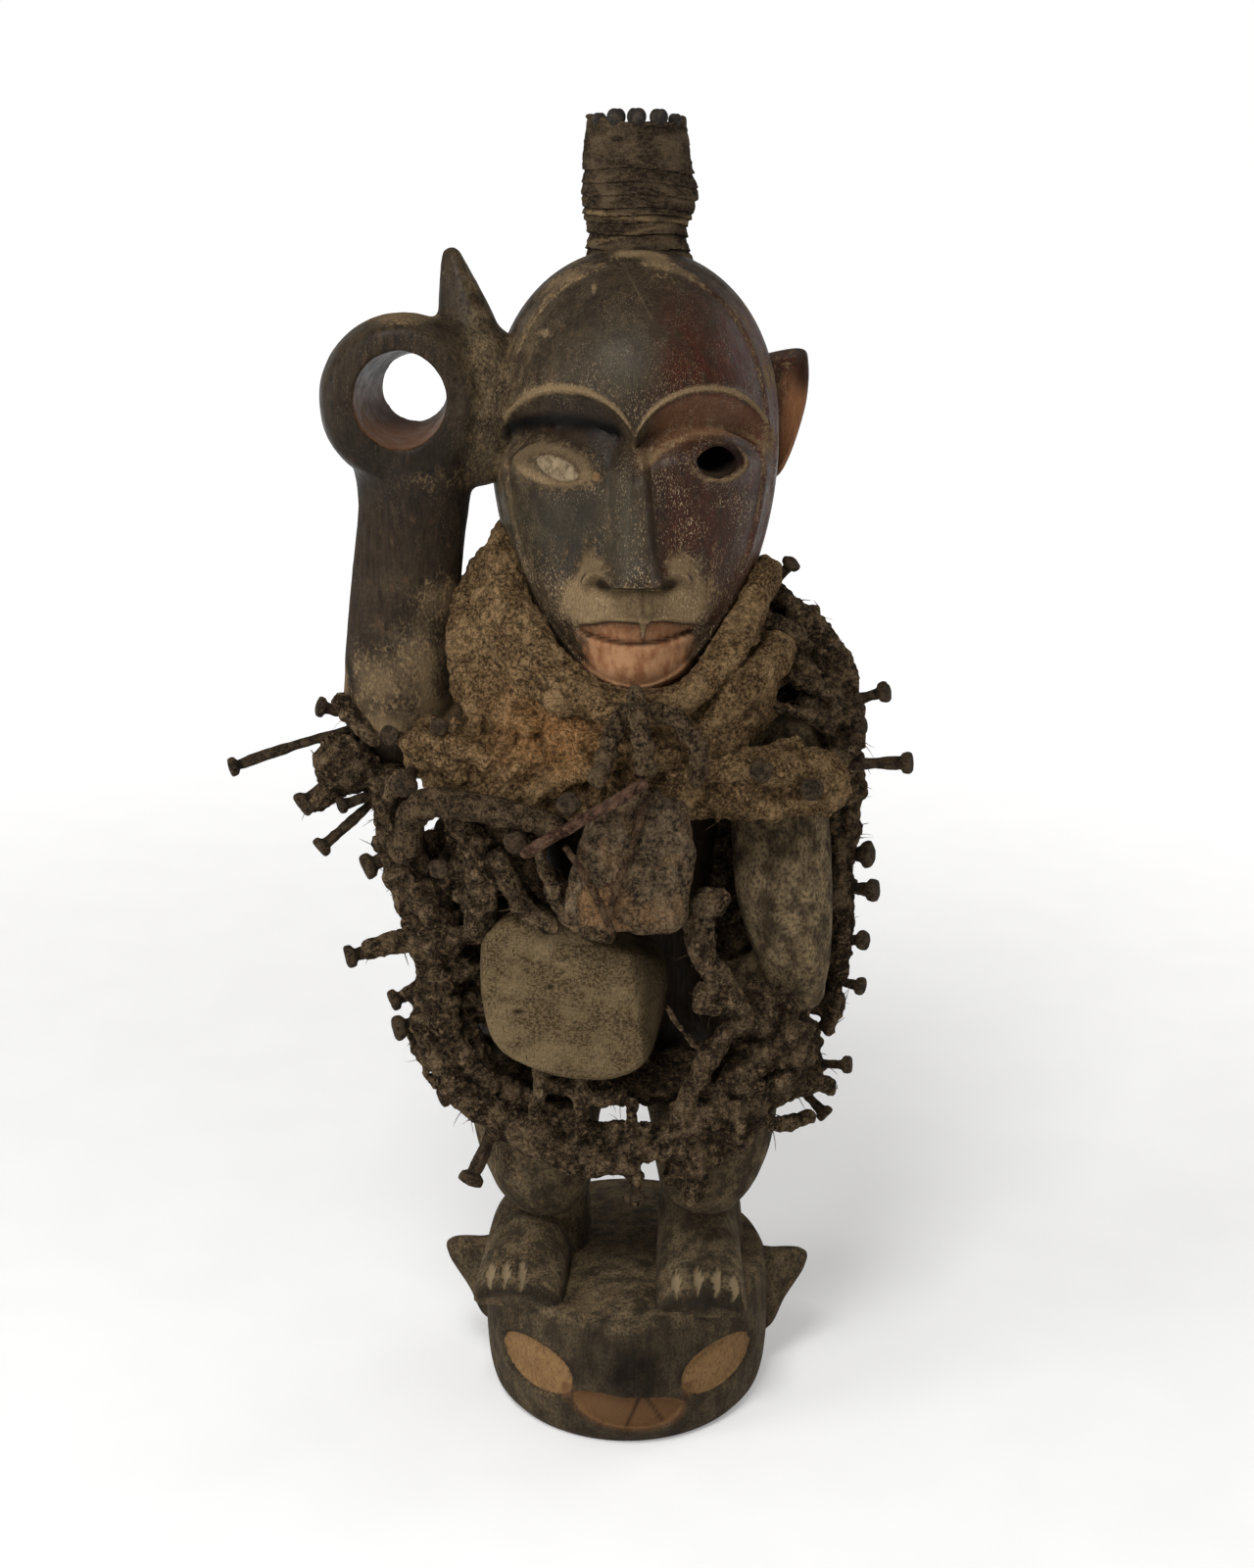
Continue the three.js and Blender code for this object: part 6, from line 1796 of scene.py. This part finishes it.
def rag_mass_right() -> Wad:
    """The rags over the lowered shoulder and the curtain that hangs behind the arm."""
    shoulder = [(62, 2, 392, 12, 16), (82, -4, 374, 14, 20), (94, -8, 352, 14, 20), (99, -8, 326, 13, 19)]
    curtain = [(100, 2, 322, 12, 18), (100, 2, 290, 12, 19), (96, 2, 240, 12, 19), (92, 0, 196, 12, 17)]
    inner = [(62, 6, 304, 34, 12), (64, 8, 262, 36, 12), (64, 10, 226, 36, 12), (60, 8, 190, 30, 12)]
    forms = [swept(scaled(shoulder, 0.86), 36, 22, rounding=0.8),
             swept(scaled(curtain, 0.9), 50, 22, rounding=0.8), swept(scaled(inner, 0.9), 24, 26, rounding=0.8)]
    ties = [
        thread([(70, -14, 402), (90, -20, 384), (103, -20, 362), (106, -20, 338), (104, -22, 318)],
               5.4, 36, 12, 4),
        thread([(60, -28, 392), (76, -32, 376), (90, -32, 356), (98, -32, 330)], 5.6, 36, 12, 4),
        thread([(84, -36, 352), (102, -34, 346), (108, -30, 334), (98, -36, 322)], 4.6, 28, 12, 4),
        thread([(76, -44, 366), (92, -40, 358), (100, -34, 348)], 3.8, 20, 12, 3),
        thread([(66, -58, 356), (80, -56, 352), (94, -46, 344)], 3.6, 20, 12, 3),
        thread([(104, -12, 320), (107, -14, 290), (104, -16, 258), (104, -14, 226), (101, -12, 190)],
               4.6, 50, 12, 7),
        thread([(110, -2, 300), (106, -8, 272), (107, -8, 240), (103, -8, 208), (99, -10, 184)],
               4.2, 50, 12, 7),
        thread([(100, -20, 316), (98, -22, 296), (102, -20, 272), (99, -18, 250)], 4.0, 34, 12, 5),
        thread([(58, -42, 394), (68, -42, 391), (78, -38, 386), (84, -34, 379)], 6.0, 26, 14, 0, 0.6),
    ]
    return Wad("rag_mass_right_cloth", ("rag_mass_right",), "rag", Finish.RAG, forms,
               ties + wound(shoulder, 12, 71, 3.4, 1.2) + wound(curtain, 18, 72, 3.0, 1.4, reach=0.88)
               + wound(inner, 12, 73, 3.4, 1.0)
               + [strewn(shoulder, 80, 74, 4.8), strewn(curtain, 120, 75, 4.4), strewn(inner, 60, 76, 5.0)],
               1.3, 1.9, 1.0, 71, None, 600)


def hip_rags() -> Wad:
    """The rope of rags round the hips, the knots at the right hand and the bits that hang below the box."""
    left = [(-70, -58, 170, 13, 13), (-54, -66, 160, 13, 12), (-26, -72, 151, 10, 10), (6, -78, 150, 7, 7),
            (24, -76, 152, 8, 8)]
    right = [(54, -76, 216, 10, 10), (70, -64, 202, 16, 15), (64, -62, 182, 19, 16), (44, -68, 162, 17, 14),
             (32, -70, 142, 12, 10), (28, -68, 126, 7, 7)]
    back = [(86, -16, 164, 12, 12), (82, 20, 164, 12, 13), (50, 44, 164, 12, 13), (0, 50, 164, 12, 14),
            (-50, 44, 166, 12, 13), (-80, 14, 170, 12, 12), (-72, -46, 170, 12, 12)]
    middle = [(-52, -36, 172, 12, 20), (-24, -42, 170, 13, 20), (8, -42, 170, 13, 19), (46, -38, 174, 12, 20)]
    forms = [swept(scaled(left, 0.8), 40, 18, rounding=0.8), swept(scaled(right, 0.82), 44, 20, rounding=0.8),
             swept(scaled(back, 0.9), 60, 20, (0, 0, 1), 0.8), swept(middle, 40, 20, rounding=0.8)]
    knot = lambda x, y, z, r: swept([(x - r * 0.4, y, z, r * 0.9, r * 0.9), (x, y, z, r, r),
                                     (x + r * 0.4, y, z, r * 0.9, r * 0.9)], 8, 16, rounding=0.9)
    ties = [
        knot(37, -92, 272, 7.6), knot(39, -92, 225, 7.8),
        thread([(30, -88, 262), (33, -91, 250), (41, -92, 238), (51, -92, 222)], 5.8, 36, 14, 6),
        thread([(51, -92, 224), (54, -86, 214), (66, -76, 206)], 5.0, 22, 12, 3),
        thread([(37, -92, 270), (39, -95, 248), (39, -93, 228)], 2.2, 22, 10, 3),
        thread([(19, -86, 219), (26, -88, 208), (34, -84, 196)], 1.7, 16, 8),
        thread([(53, -82, 170), (53, -86, 158), (53, -82, 148)], 2.4, 14, 10, 2),
        thread([(2, -80, 170), (3, -82, 150), (4, -82, 136), (5, -80, 121)], 3.4, 36, 12, 8),
        thread([(-21, -78, 183), (-22, -80, 174), (-21, -78, 162)], 3.6, 16, 12, 2),
        thread([(-40, -78, 186), (-42, -80, 168), (-45, -78, 146)], 3.6, 24, 10),
        thread([(-34, -76, 178), (-16, -80, 173), (-4, -78, 174)], 4.0, 20, 12, 4),
        thread([(-86, -66, 174), (-70, -74, 164), (-51, -76, 159), (-36, -80, 153), (-18, -82, 146),
                (0, -82, 139)], 5.4, 60, 12, 7),
        thread([(-52, -76, 152), (-37, -80, 146), (-22, -82, 139), (-8, -82, 140), (0, -82, 147)],
               5.0, 46, 12, 5),
        thread([(0, -80, 146), (12, -80, 150), (28, -80, 158), (40, -78, 166)], 5.0, 34, 12, 4),
        thread([(24, -78, 150), (29, -80, 172), (38, -82, 194), (50, -84, 210)], 5.2, 44, 12, 5),
        thread([(30, -76, 158), (33, -78, 140), (30, -76, 122)], 5.2, 30, 12, 3),
        thread([(40, -76, 176), (56, -78, 184), (70, -74, 196), (84, -62, 200)], 5.6, 40, 12, 4),
        thread([(58, -76, 172), (74, -70, 180), (86, -60, 188)], 5.4, 30, 12, 3),
        thread([(56, -78, 214), (68, -74, 220), (82, -62, 210)], 4.6, 26, 12, 3),
        thread([(66, -66, 166), (80, -54, 168), (92, -40, 166), (98, -30, 160)], 5.0, 34, 12, 3),
        thread([(64, -72, 158), (76, -60, 152), (88, -44, 150)], 3.6, 24, 12, 3),
    ]
    return Wad("hip_rags_cloth", ("hip_rags",), "rag", Finish.RAG, forms,
               ties + wound(left, 14, 81, 3.2, 1.5) + wound(right, 16, 82, 3.6, 1.3, reach=0.84)
               + wound(back, 18, 83, 3.4, 1.5, False, (0, 0, 1)) + wound(middle, 10, 87, 3.6, 1.0)
               + [strewn(left, 80, 84, 3.8), strewn(right, 90, 85, 4.6),
                  strewn(back, 120, 86, 5.0, False, (0, 0, 1))],
               1.35, 1.9, 1.0, 81, None, 700)


def back_rag() -> Wad:
    """The rag that is tied across the back."""
    stops = [(66, 34, 300, 18, 12), (30, 48, 270, 24, 12), (0, 50, 258, 26, 12), (-34, 46, 272, 24, 12),
             (-70, 30, 302, 18, 12)]
    return Wad("back_rag_cloth", ("back_rag",), "rag", Finish.RAG,
               [swept(scaled(stops, 0.9), 50, 26, rounding=0.8)],
               [*wound(stops, 14, 91, 3.6, 0.8), strewn(stops, 60, 92, 5.5)], 1.6, 1.9, 1.0, 91, None, 200)


def ribbed_roll() -> Wad:
    """The smooth dusty roll that curls over the left of the chest."""
    stops = [(-99, -78, 294, 6, 6), (-98, -84, 309, 7.5, 7), (-88, -90, 318, 7.5, 7), (-68, -98, 318, 7, 7),
             (-44, -103, 314, 6.5, 6), (-33, -104, 311, 6, 6)]
    ribs = lambda place, turn: 0.94 + 0.07 * np.cos(4 * turn + 2 * np.pi * 9 * place)
    return Wad("ribbed_roll_cloth", ("ribbed_roll",), "rag", Finish.TWISTED_RAG,
               [swept(stops, 110, 28, rounding=0.8, relief=ribs)], [], 1.0, 0.4, 0.4, 95)


@dataclass
class BellyBox(Piece):
    """The belly box: a rounded block with a softly domed, fuzzy face."""

    middle: tuple[float, float] = (-25.0, 226.0)
    face: float = -92.0
    deep: float = 44.0
    outline: tuple = (
        (-67, 249), (-61, 259), (-46, 264), (-29, 261), (-12, 252), (3, 247), (15, 241), (19, 228), (15, 206),
        (8, 192), (-6, 185), (-26, 185), (-46, 191), (-62, 203), (-67, 226))

    def build(self) -> Object:
        """Rings of the outline, grown from the face's middle to the rim and carried back, then roughened."""
        rim = [(s, 1.4 * s**4) for s in np.linspace(0.02, 0.92, 36)]
        rim += [(0.92 + 0.08 * math.sin(t), 1.0 + 5.2 * (1 - math.cos(t)) + 0.8 * t)
                for t in np.linspace(0.12, 1.5, 14)]
        rim += [(1.0 - 0.05 * t, 7.4 + (self.deep - 8) * t) for t in np.linspace(0.05, 1, 18)]
        turned = lambda x, z, deep: 0.75 * np.clip(x - 4 + 0.12 * (z - 226), 0, 30) * (deep < self.deep / 2)
        place = lambda x, z, deep, size: (x, self.face + deep + turned(x, z, deep), z)
        made = layered(self.outline, 180, self.middle, rim, place).object(self.name)

        def worn(p: Array, n: Array) -> Array:
            """Uneven face with two chips and a pit."""
            out = 0.8 * rough(p, 24, 2) + 0.35 * rough(p, 5, 3) + 0.22 * rough(p * (1, 1, 2.2), 2.4, 4)
            out -= 1.6 * oval(p[:, 0], -35, 1.8, p[:, 2], 231, 1.6)
            return out - 1.2 * oval(p[:, 0], -50, 3.4, p[:, 2], 219, 1.6)

        shift(made, worn)
        # Painted shade on the right side, which turns away from the light, and a painted shadow of the packet
        # along the top edge; both add to the hollows' darkness.
        side = lambda p: 0.85 * smooth(0, 10, p[:, 0] + 0.12 * (p[:, 2] - 226) + 3 * rough(p, 6, 9))
        down = lambda p: 257 - 0.45 * p[:, 0] - p[:, 2] + 2 * rough(p, 5, 8)
        top = lambda p: 0.75 * smooth(8, 1, down(p)) * smooth(-40, -20, p[:, 0])
        return self.marked_and_placed(made, 0.35, 5, 70, None, lambda p: side(p) + top(p))


@dataclass
class Packet(Piece):
    """The medicine packet: a flat gathered pouch, puckered towards its top."""

    outline: tuple = (
        (-17, 312), (-8, 324), (6, 327), (18, 325), (27, 315), (31, 298), (28, 280), (25, 263), (8, 259),
        (-12, 261), (-29, 265), (-28, 282), (-24, 296))
    face: float = -107.5
    deep: float = 13.0

    def build(self) -> Object:
        """Rings of the outline from the face's middle over the rounded rim to the back, then puckered."""
        rim = [(s, -2.2 * (1 - s**3)) for s in np.linspace(0.02, 0.86, 34)]
        rim += [(0.86 + 0.14 * math.sin(t), 5.4 * (1 - math.cos(t)) - 0.8 + 0.6 * t)
                for t in np.linspace(0.12, 1.5, 12)]
        rim += [(1.0 - 0.08 * t, 5.2 + (self.deep - 6) * t) for t in np.linspace(0.1, 1, 9)]
        made = layered(self.outline, 160, (1.0, 291.0), rim,
                       lambda x, z, deep, size: (x, self.face + deep, z)).object(self.name)

        def puckered(p: Array, n: Array) -> Array:
            """Folds that fan out from the tied top, sunk under the cords, and flaked patches."""
            fan = np.arctan2(p[:, 0] - 9, 338 - p[:, 2])
            out = 1.7 * np.abs(np.cos(fan * 8 + 1.2 * rough(p, 14, 6))) * smooth(280, 318, p[:, 2]) - 0.6
            out = out + 1.1 * rough(p, 13, 7) + 0.5 * rough(p, 4, 8) - 0.8 * smooth(0.02, 0.1, rough(p, 9, 9))
            return out + 1.8 * ridge(p[:, 0] - 27 + 0.1 * (p[:, 2] - 290), 0, 2.5) * smooth(262, 270, p[:, 2])

        shift(made, puckered)

        def patches(p: Array) -> Array:
            """Ochre where the face has flaked on the left, and a spot low on the right."""
            flaked = smooth(0.02, 0.1, rough(p, 9, 9)) * ridge(p[:, 0], -14, 17) * smooth(294, 282, p[:, 2])
            return flaked + 0.5 * oval(p[:, 0], 12, 14, p[:, 2], 270, 6)

        return self.marked_and_placed(made, 0.8, 6, 70, patches)


@dataclass
class Strand(Piece):
    """A cord, strand or twig through given points, with lobes that wind along it."""

    points: list = field(default_factory=list)
    thick: float = 2.0
    twist: float = 4.0
    end: float = 1.0
    rough_by: float = 0.5

    def build(self) -> Object:
        """A strand at full fineness, roughened along its length."""
        made = thread(self.points, self.thick, 60, 20, self.twist, self.end).object(self.name)
        shift(made, lambda p, n: self.rough_by * (rough(p, 3.4, len(self.name)) + 0.6 * rough(p, 1.3, 5, 2)))
        return self.marked_and_placed(made, 0.5, 4, 70)


@dataclass
class Nail(Piece):
    """A driven nail: a rusted shaft with knobs of rust and a spread, hammered head."""

    head: tuple[float, float, float] = (0, 0, 0)
    root: tuple[float, float, float] = (0, 0, 0)
    stout: float = 1.0

    def build(self) -> Object:
        """A profile of radius by length carried from the root to the head, eight-sided and uneven."""
        tip, top = np.array(self.root, float), np.array(self.head, float)
        long = np.linalg.norm(top - tip)
        along = (top - tip) / long
        across = unit(np.cross((0.3, 0.2, 1.0), along))
        up = np.cross(along, across)
        shaft, wide, tall = 2.8 * self.stout, 4.7 * self.stout, 5.0 * self.stout
        body = np.linspace(0, long - tall, 22)
        knobs = 1 + 0.22 * rough(np.column_stack([body, body * 0 + self.head[2], body * 0]), 6.5, 17)
        reach = np.concatenate([body, long - tall * np.array([0.86, 0.74, 0.58, 0.4, 0.24, 0.12, 0.04, 0.0])])
        swell = np.array([0.72, 0.9, 0.98, 1.0, 0.99, 0.93, 0.78, 0.5])
        radius = np.concatenate([shaft * (0.72 + 0.28 * body / long) * knobs, wide * swell])
        turn = turns(16)
        square = 1 + 0.05 * np.cos(4 * turn + self.head[0])
        bent = 0.8 * np.sin(np.pi * reach / long) * math.sin(self.head[0])
        grid = tip + reach[:, None, None] * along + bent[:, None, None] * up
        grid = grid + (radius[:, None] * square * np.cos(turn))[..., None] * across
        grid += (radius[:, None] * square * np.sin(turn))[..., None] * up
        made = Skin.through(grid).object(self.name)
        seed = int(abs(self.head[0]) * 3 + self.head[2])
        shift(made, lambda p, n: 0.38 * self.stout * rough(p, 3.6, seed) + 0.25 * rough(p, 1.6, seed + 3))
        return self.marked_and_placed(made, 0.5, 3, 60)


# The beads' half sizes, the turn between two, their ring's half sizes and the height that they stand on.
BEAD_HALVES, BEAD_STEP = (3.3, 4.3, 4.4, 4.2, 3.1), 0.47
BEAD_RING, BEAD_FOOT = (21.0, 19.3), 614.2

# Each nail's name, head, root and stoutness in drawn millimetres.
NAILS = (
    ("elbow_top", (-145, -40, 352), (-124, -34, 346), 1.0),
    ("spike_long", (-187, -40, 322), (-126, -32, 340), 1.0),
    ("elbow_1", (-154, -44, 304), (-128, -34, 322), 1.3), ("elbow_2", (-145, -50, 285), (-116, -38, 309), 1.05),
    ("elbow_3", (-135, -50, 306), (-112, -40, 312), 0.9), ("flank_1", (-124, -52, 276), (-98, -46, 286), 1.35),
    ("flank_2", (-133, -56, 234), (-84, -46, 246), 1.15), ("flank_3", (-113, -50, 210), (-74, -40, 224), 1.05),
    ("flank_4", (-111, -56, 198), (-84, -48, 203), 1.35), ("flank_5", (-90, -56, 163), (-70, -52, 172), 1.0),
    ("thigh_left", (-76, -62, 122), (-60, -54, 158), 1.3), ("front_1", (-101, -88, 325), (-97, -58, 330), 1.3),
    ("front_2", (-109, -70, 345), (-104, -44, 338), 1.0), ("front_3", (-85, -84, 352), (-84, -58, 344), 0.9),
    ("front_4", (-86, -88, 286), (-84, -44, 283), 1.0), ("front_5", (-50, -107, 303), (-50, -92, 306), 1.1),
    ("front_6", (-26, -112, 323), (-25, -76, 320), 1.15), ("front_7", (60, -100, 335), (60, -64, 330), 1.15),
    ("front_8", (84, -88, 323), (80, -52, 322), 1.15), ("shoulder_1", (123, -30, 357), (86, -14, 344), 1.1),
    ("shoulder_2", (112, -34, 342), (92, -26, 336), 1.0), ("shoulder_3", (134, -38, 324), (88, -22, 318), 1.15),
    ("collar_right", (78, -20, 417), (63, -10, 396), 0.95), ("rib_1", (119, -14, 273), (98, -6, 271), 1.35),
    ("rib_2", (121, -20, 256), (98, -8, 254), 1.2), ("rib_3", (117, -16, 230), (95, -4, 228), 1.1),
    ("rib_4", (116, -16, 206), (92, -4, 208), 1.0), ("hip_1", (110, -22, 168), (88, -14, 166), 1.0),
    ("hip_2", (98, -32, 145), (82, -24, 161), 1.0), ("groin", (4, -84, 122), (2, -74, 150), 1.1),
)


@dataclass
class Studio:
    """A pale floor, soft light and the camera where the photograph was taken from."""

    camera_place: tuple[float, float, float] = (0.0, -1.245, 0.616)
    camera_pitch: float = 76.0
    lens: float = 60.9
    key: float = 22.0
    side: float = 13.0
    rim: float = 4.0
    zenith: float = 0.30
    horizon: float = 0.62
    near_glow: float = 0.24
    far_glow: float = 0.86

    def lamp(self, name: str, spot: tuple[float, float, float], size: float, power: float) -> None:
        """A square soft light that faces the figure's chest.

        Args:
            name: The light's name.
            spot: Where it stands.
            size: Its side in metres.
            power: Its watts.
        """
        data = bpy.data.lights.new(name, "AREA")
        data.size, data.energy = size, power
        lamp = bpy.data.objects.new(name, data)
        lamp.location = spot
        aim = np.array([0, 0, 0.32]) - np.array(spot)
        rise, heading = math.atan2(aim[2], math.hypot(aim[0], aim[1])), math.atan2(aim[1], aim[0])
        lamp.rotation_euler = (math.pi / 2 + rise, 0, heading - math.pi / 2)
        bpy.context.scene.collection.objects.link(lamp)

    def sky(self) -> World:
        """A pale sky, brightest at the horizon and dimmer above; the camera itself sees plain white."""
        r = Recipe(bpy.data.worlds.new("studio_sky"))
        height = r.add("ShaderNodeSeparateXYZ", {0: r.add("ShaderNodeTexCoord", {}, "Generated")}, "Z")
        seen = r.add("ShaderNodeLightPath", {}, "Is Camera Ray")
        bright = r.math("MAXIMUM", r.level(height, 0.03, 0.42, self.horizon, self.zenith), seen)
        tone = r.mix(seen, (1.0, 0.985, 0.96), (1.0, 1.0, 1.0))
        return r.shaded(r.add("ShaderNodeBackground", {"Color": tone, "Strength": bright}))

    def build(self) -> None:
        """Makes the floor, the lights, the sky and the camera."""
        turn = turns(64)
        reach = np.array([0.05, 0.4, 1.5, 6.0, 30.0])[:, None] / MM
        grid = spread(reach * np.cos(turn), reach * np.sin(turn) - SET_BACK, 0.0)
        low = grid[::-1] - (0, 0, 5.0)
        floor = Skin.through(np.concatenate([grid, low])).object("floor")
        r = Recipe(bpy.data.materials.new("floor_paper"))
        r.colour = r.mix(r.level(r.grain(60, detail=3), 0.3, 0.7), (0.80, 0.80, 0.80), (0.83, 0.83, 0.83))
        r.raised(r.grain(2, detail=2), 0.05)
        away = r.add("ShaderNodeVectorMath", {0: r.place}, "Value", operation="LENGTH")
        floor.data.materials.append(r.done(0.9, 0.1, r.level(away, 0.1, 2.4, self.near_glow, self.far_glow)))
        self.lamp("key_light", (-0.32, -1.25, 1.6), 0.55, self.key)
        self.lamp("side_light", (-1.5, -0.85, 0.65), 0.9, self.side)
        self.lamp("rim_light", (1.3, 0.75, 1.0), 0.8, self.rim)
        bpy.context.scene.world = self.sky()
        bpy.context.scene.view_settings.view_transform = "Standard"
        data = bpy.data.cameras.new("camera")
        data.lens, data.sensor_width, data.clip_end = self.lens, 36.0, 100.0
        camera = bpy.data.objects.new("camera", data)
        camera.location = self.camera_place
        camera.rotation_euler = (math.radians(self.camera_pitch), 0, 0)
        bpy.context.scene.collection.objects.link(camera)
        bpy.context.scene.camera = camera


def small_pieces() -> list[Piece]:
    """The packet's cords, the twig and the three collar strands."""
    rag, cord = Finish.TWISTED_RAG, Finish.CORD
    return [
        Strand("packet_cord_cross", ("packet_cord_1",), "cord", cord,
               [(-27, -110.5, 302), (-16, -111.8, 285), (-6, -111.4, 262)], 1.6, 5, 1.0, 0.6),
        Strand("packet_cord_drop", ("packet_cord_2",), "cord", cord,
               [(9, -111.5, 326), (3, -112.4, 306), (-3, -112.2, 290), (-8, -111.4, 272)], 1.6, 5, 1.0, 0.6),
        Strand("twig_bark", ("twig",), "twig", Finish.TWIG,
               [(-45, -113, 301), (-28, -116.4, 312), (-10, -118.4, 323), (7, -120.5, 334)], 2.7, 1, 0.9, 0.35),
        Strand("collar_strand_left_cloth", ("collar_strand_left",), "twisted_rag", rag,
               [(-2, -101, 362), (-6, -107, 354), (-9, -108, 345), (-13, -106, 333)], 4.3, 1.4, 1.0, 0.9),
        Strand("collar_strand_middle_cloth", ("collar_strand_middle",), "twisted_rag", rag,
               [(4, -103, 371), (5, -110, 362), (7, -113, 351), (8, -114, 340)], 4.1, 1.2, 1.15, 0.8),
        Strand("collar_strand_right_cloth", ("collar_strand_right",), "twisted_rag", rag,
               [(13, -101, 363), (22, -107, 360), (30, -108.5, 351), (32, -107, 342), (31, -105, 333)],
               4.2, 1.0, 1.0, 0.7),
    ]


def main() -> None:
    """Builds the figure's pieces in order."""
    logging.basicConfig(level=logging.INFO, format="%(message)s")
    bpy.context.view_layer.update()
    Studio().build()
    Carving("carved_figure_wood", ("carved_figure",), "carved_wood", Finish.CARVED_WOOD).build()
    EyeInlay("eye_inlay_shell", ("eye_inlay",), "eye_inlay", Finish.EYE_INLAY).build()
    CrownBundle("crown_bundle_wrap", ("crown_bundle",), "crown_wrap", Finish.CROWN_WRAP).build()
    for index, half in enumerate(BEAD_HALVES):
        turn = (index - 2) * BEAD_STEP
        spot = (4.5 + BEAD_RING[0] * math.sin(turn), -12 - BEAD_RING[1] * math.cos(turn), BEAD_FOOT + half)
        bead = f"crown_bead_{index + 1}"
        CrownBead(bead + "_ball", (bead,), "bead", Finish.BEAD, spot, half).build()
    for wad in (neck_roll, resin_mantle, rag_mass_left, rag_mass_right, hip_rags, back_rag, ribbed_roll):
        wad().build()
    BellyBox("belly_box_clay", ("belly_box",), "box_clay", Finish.BOX_CLAY).build()
    Packet("medicine_packet_clay", ("medicine_packet",), "packet_clay", Finish.PACKET_CLAY).build()
    for piece in small_pieces():
        piece.build()
    for name, head, root, stout in NAILS:
        Nail(f"nail_{name}_iron", (f"nail_{name}",), "nail_iron", Finish.NAIL_IRON, head, root, stout).build()


if __name__ == "__main__":
    main()
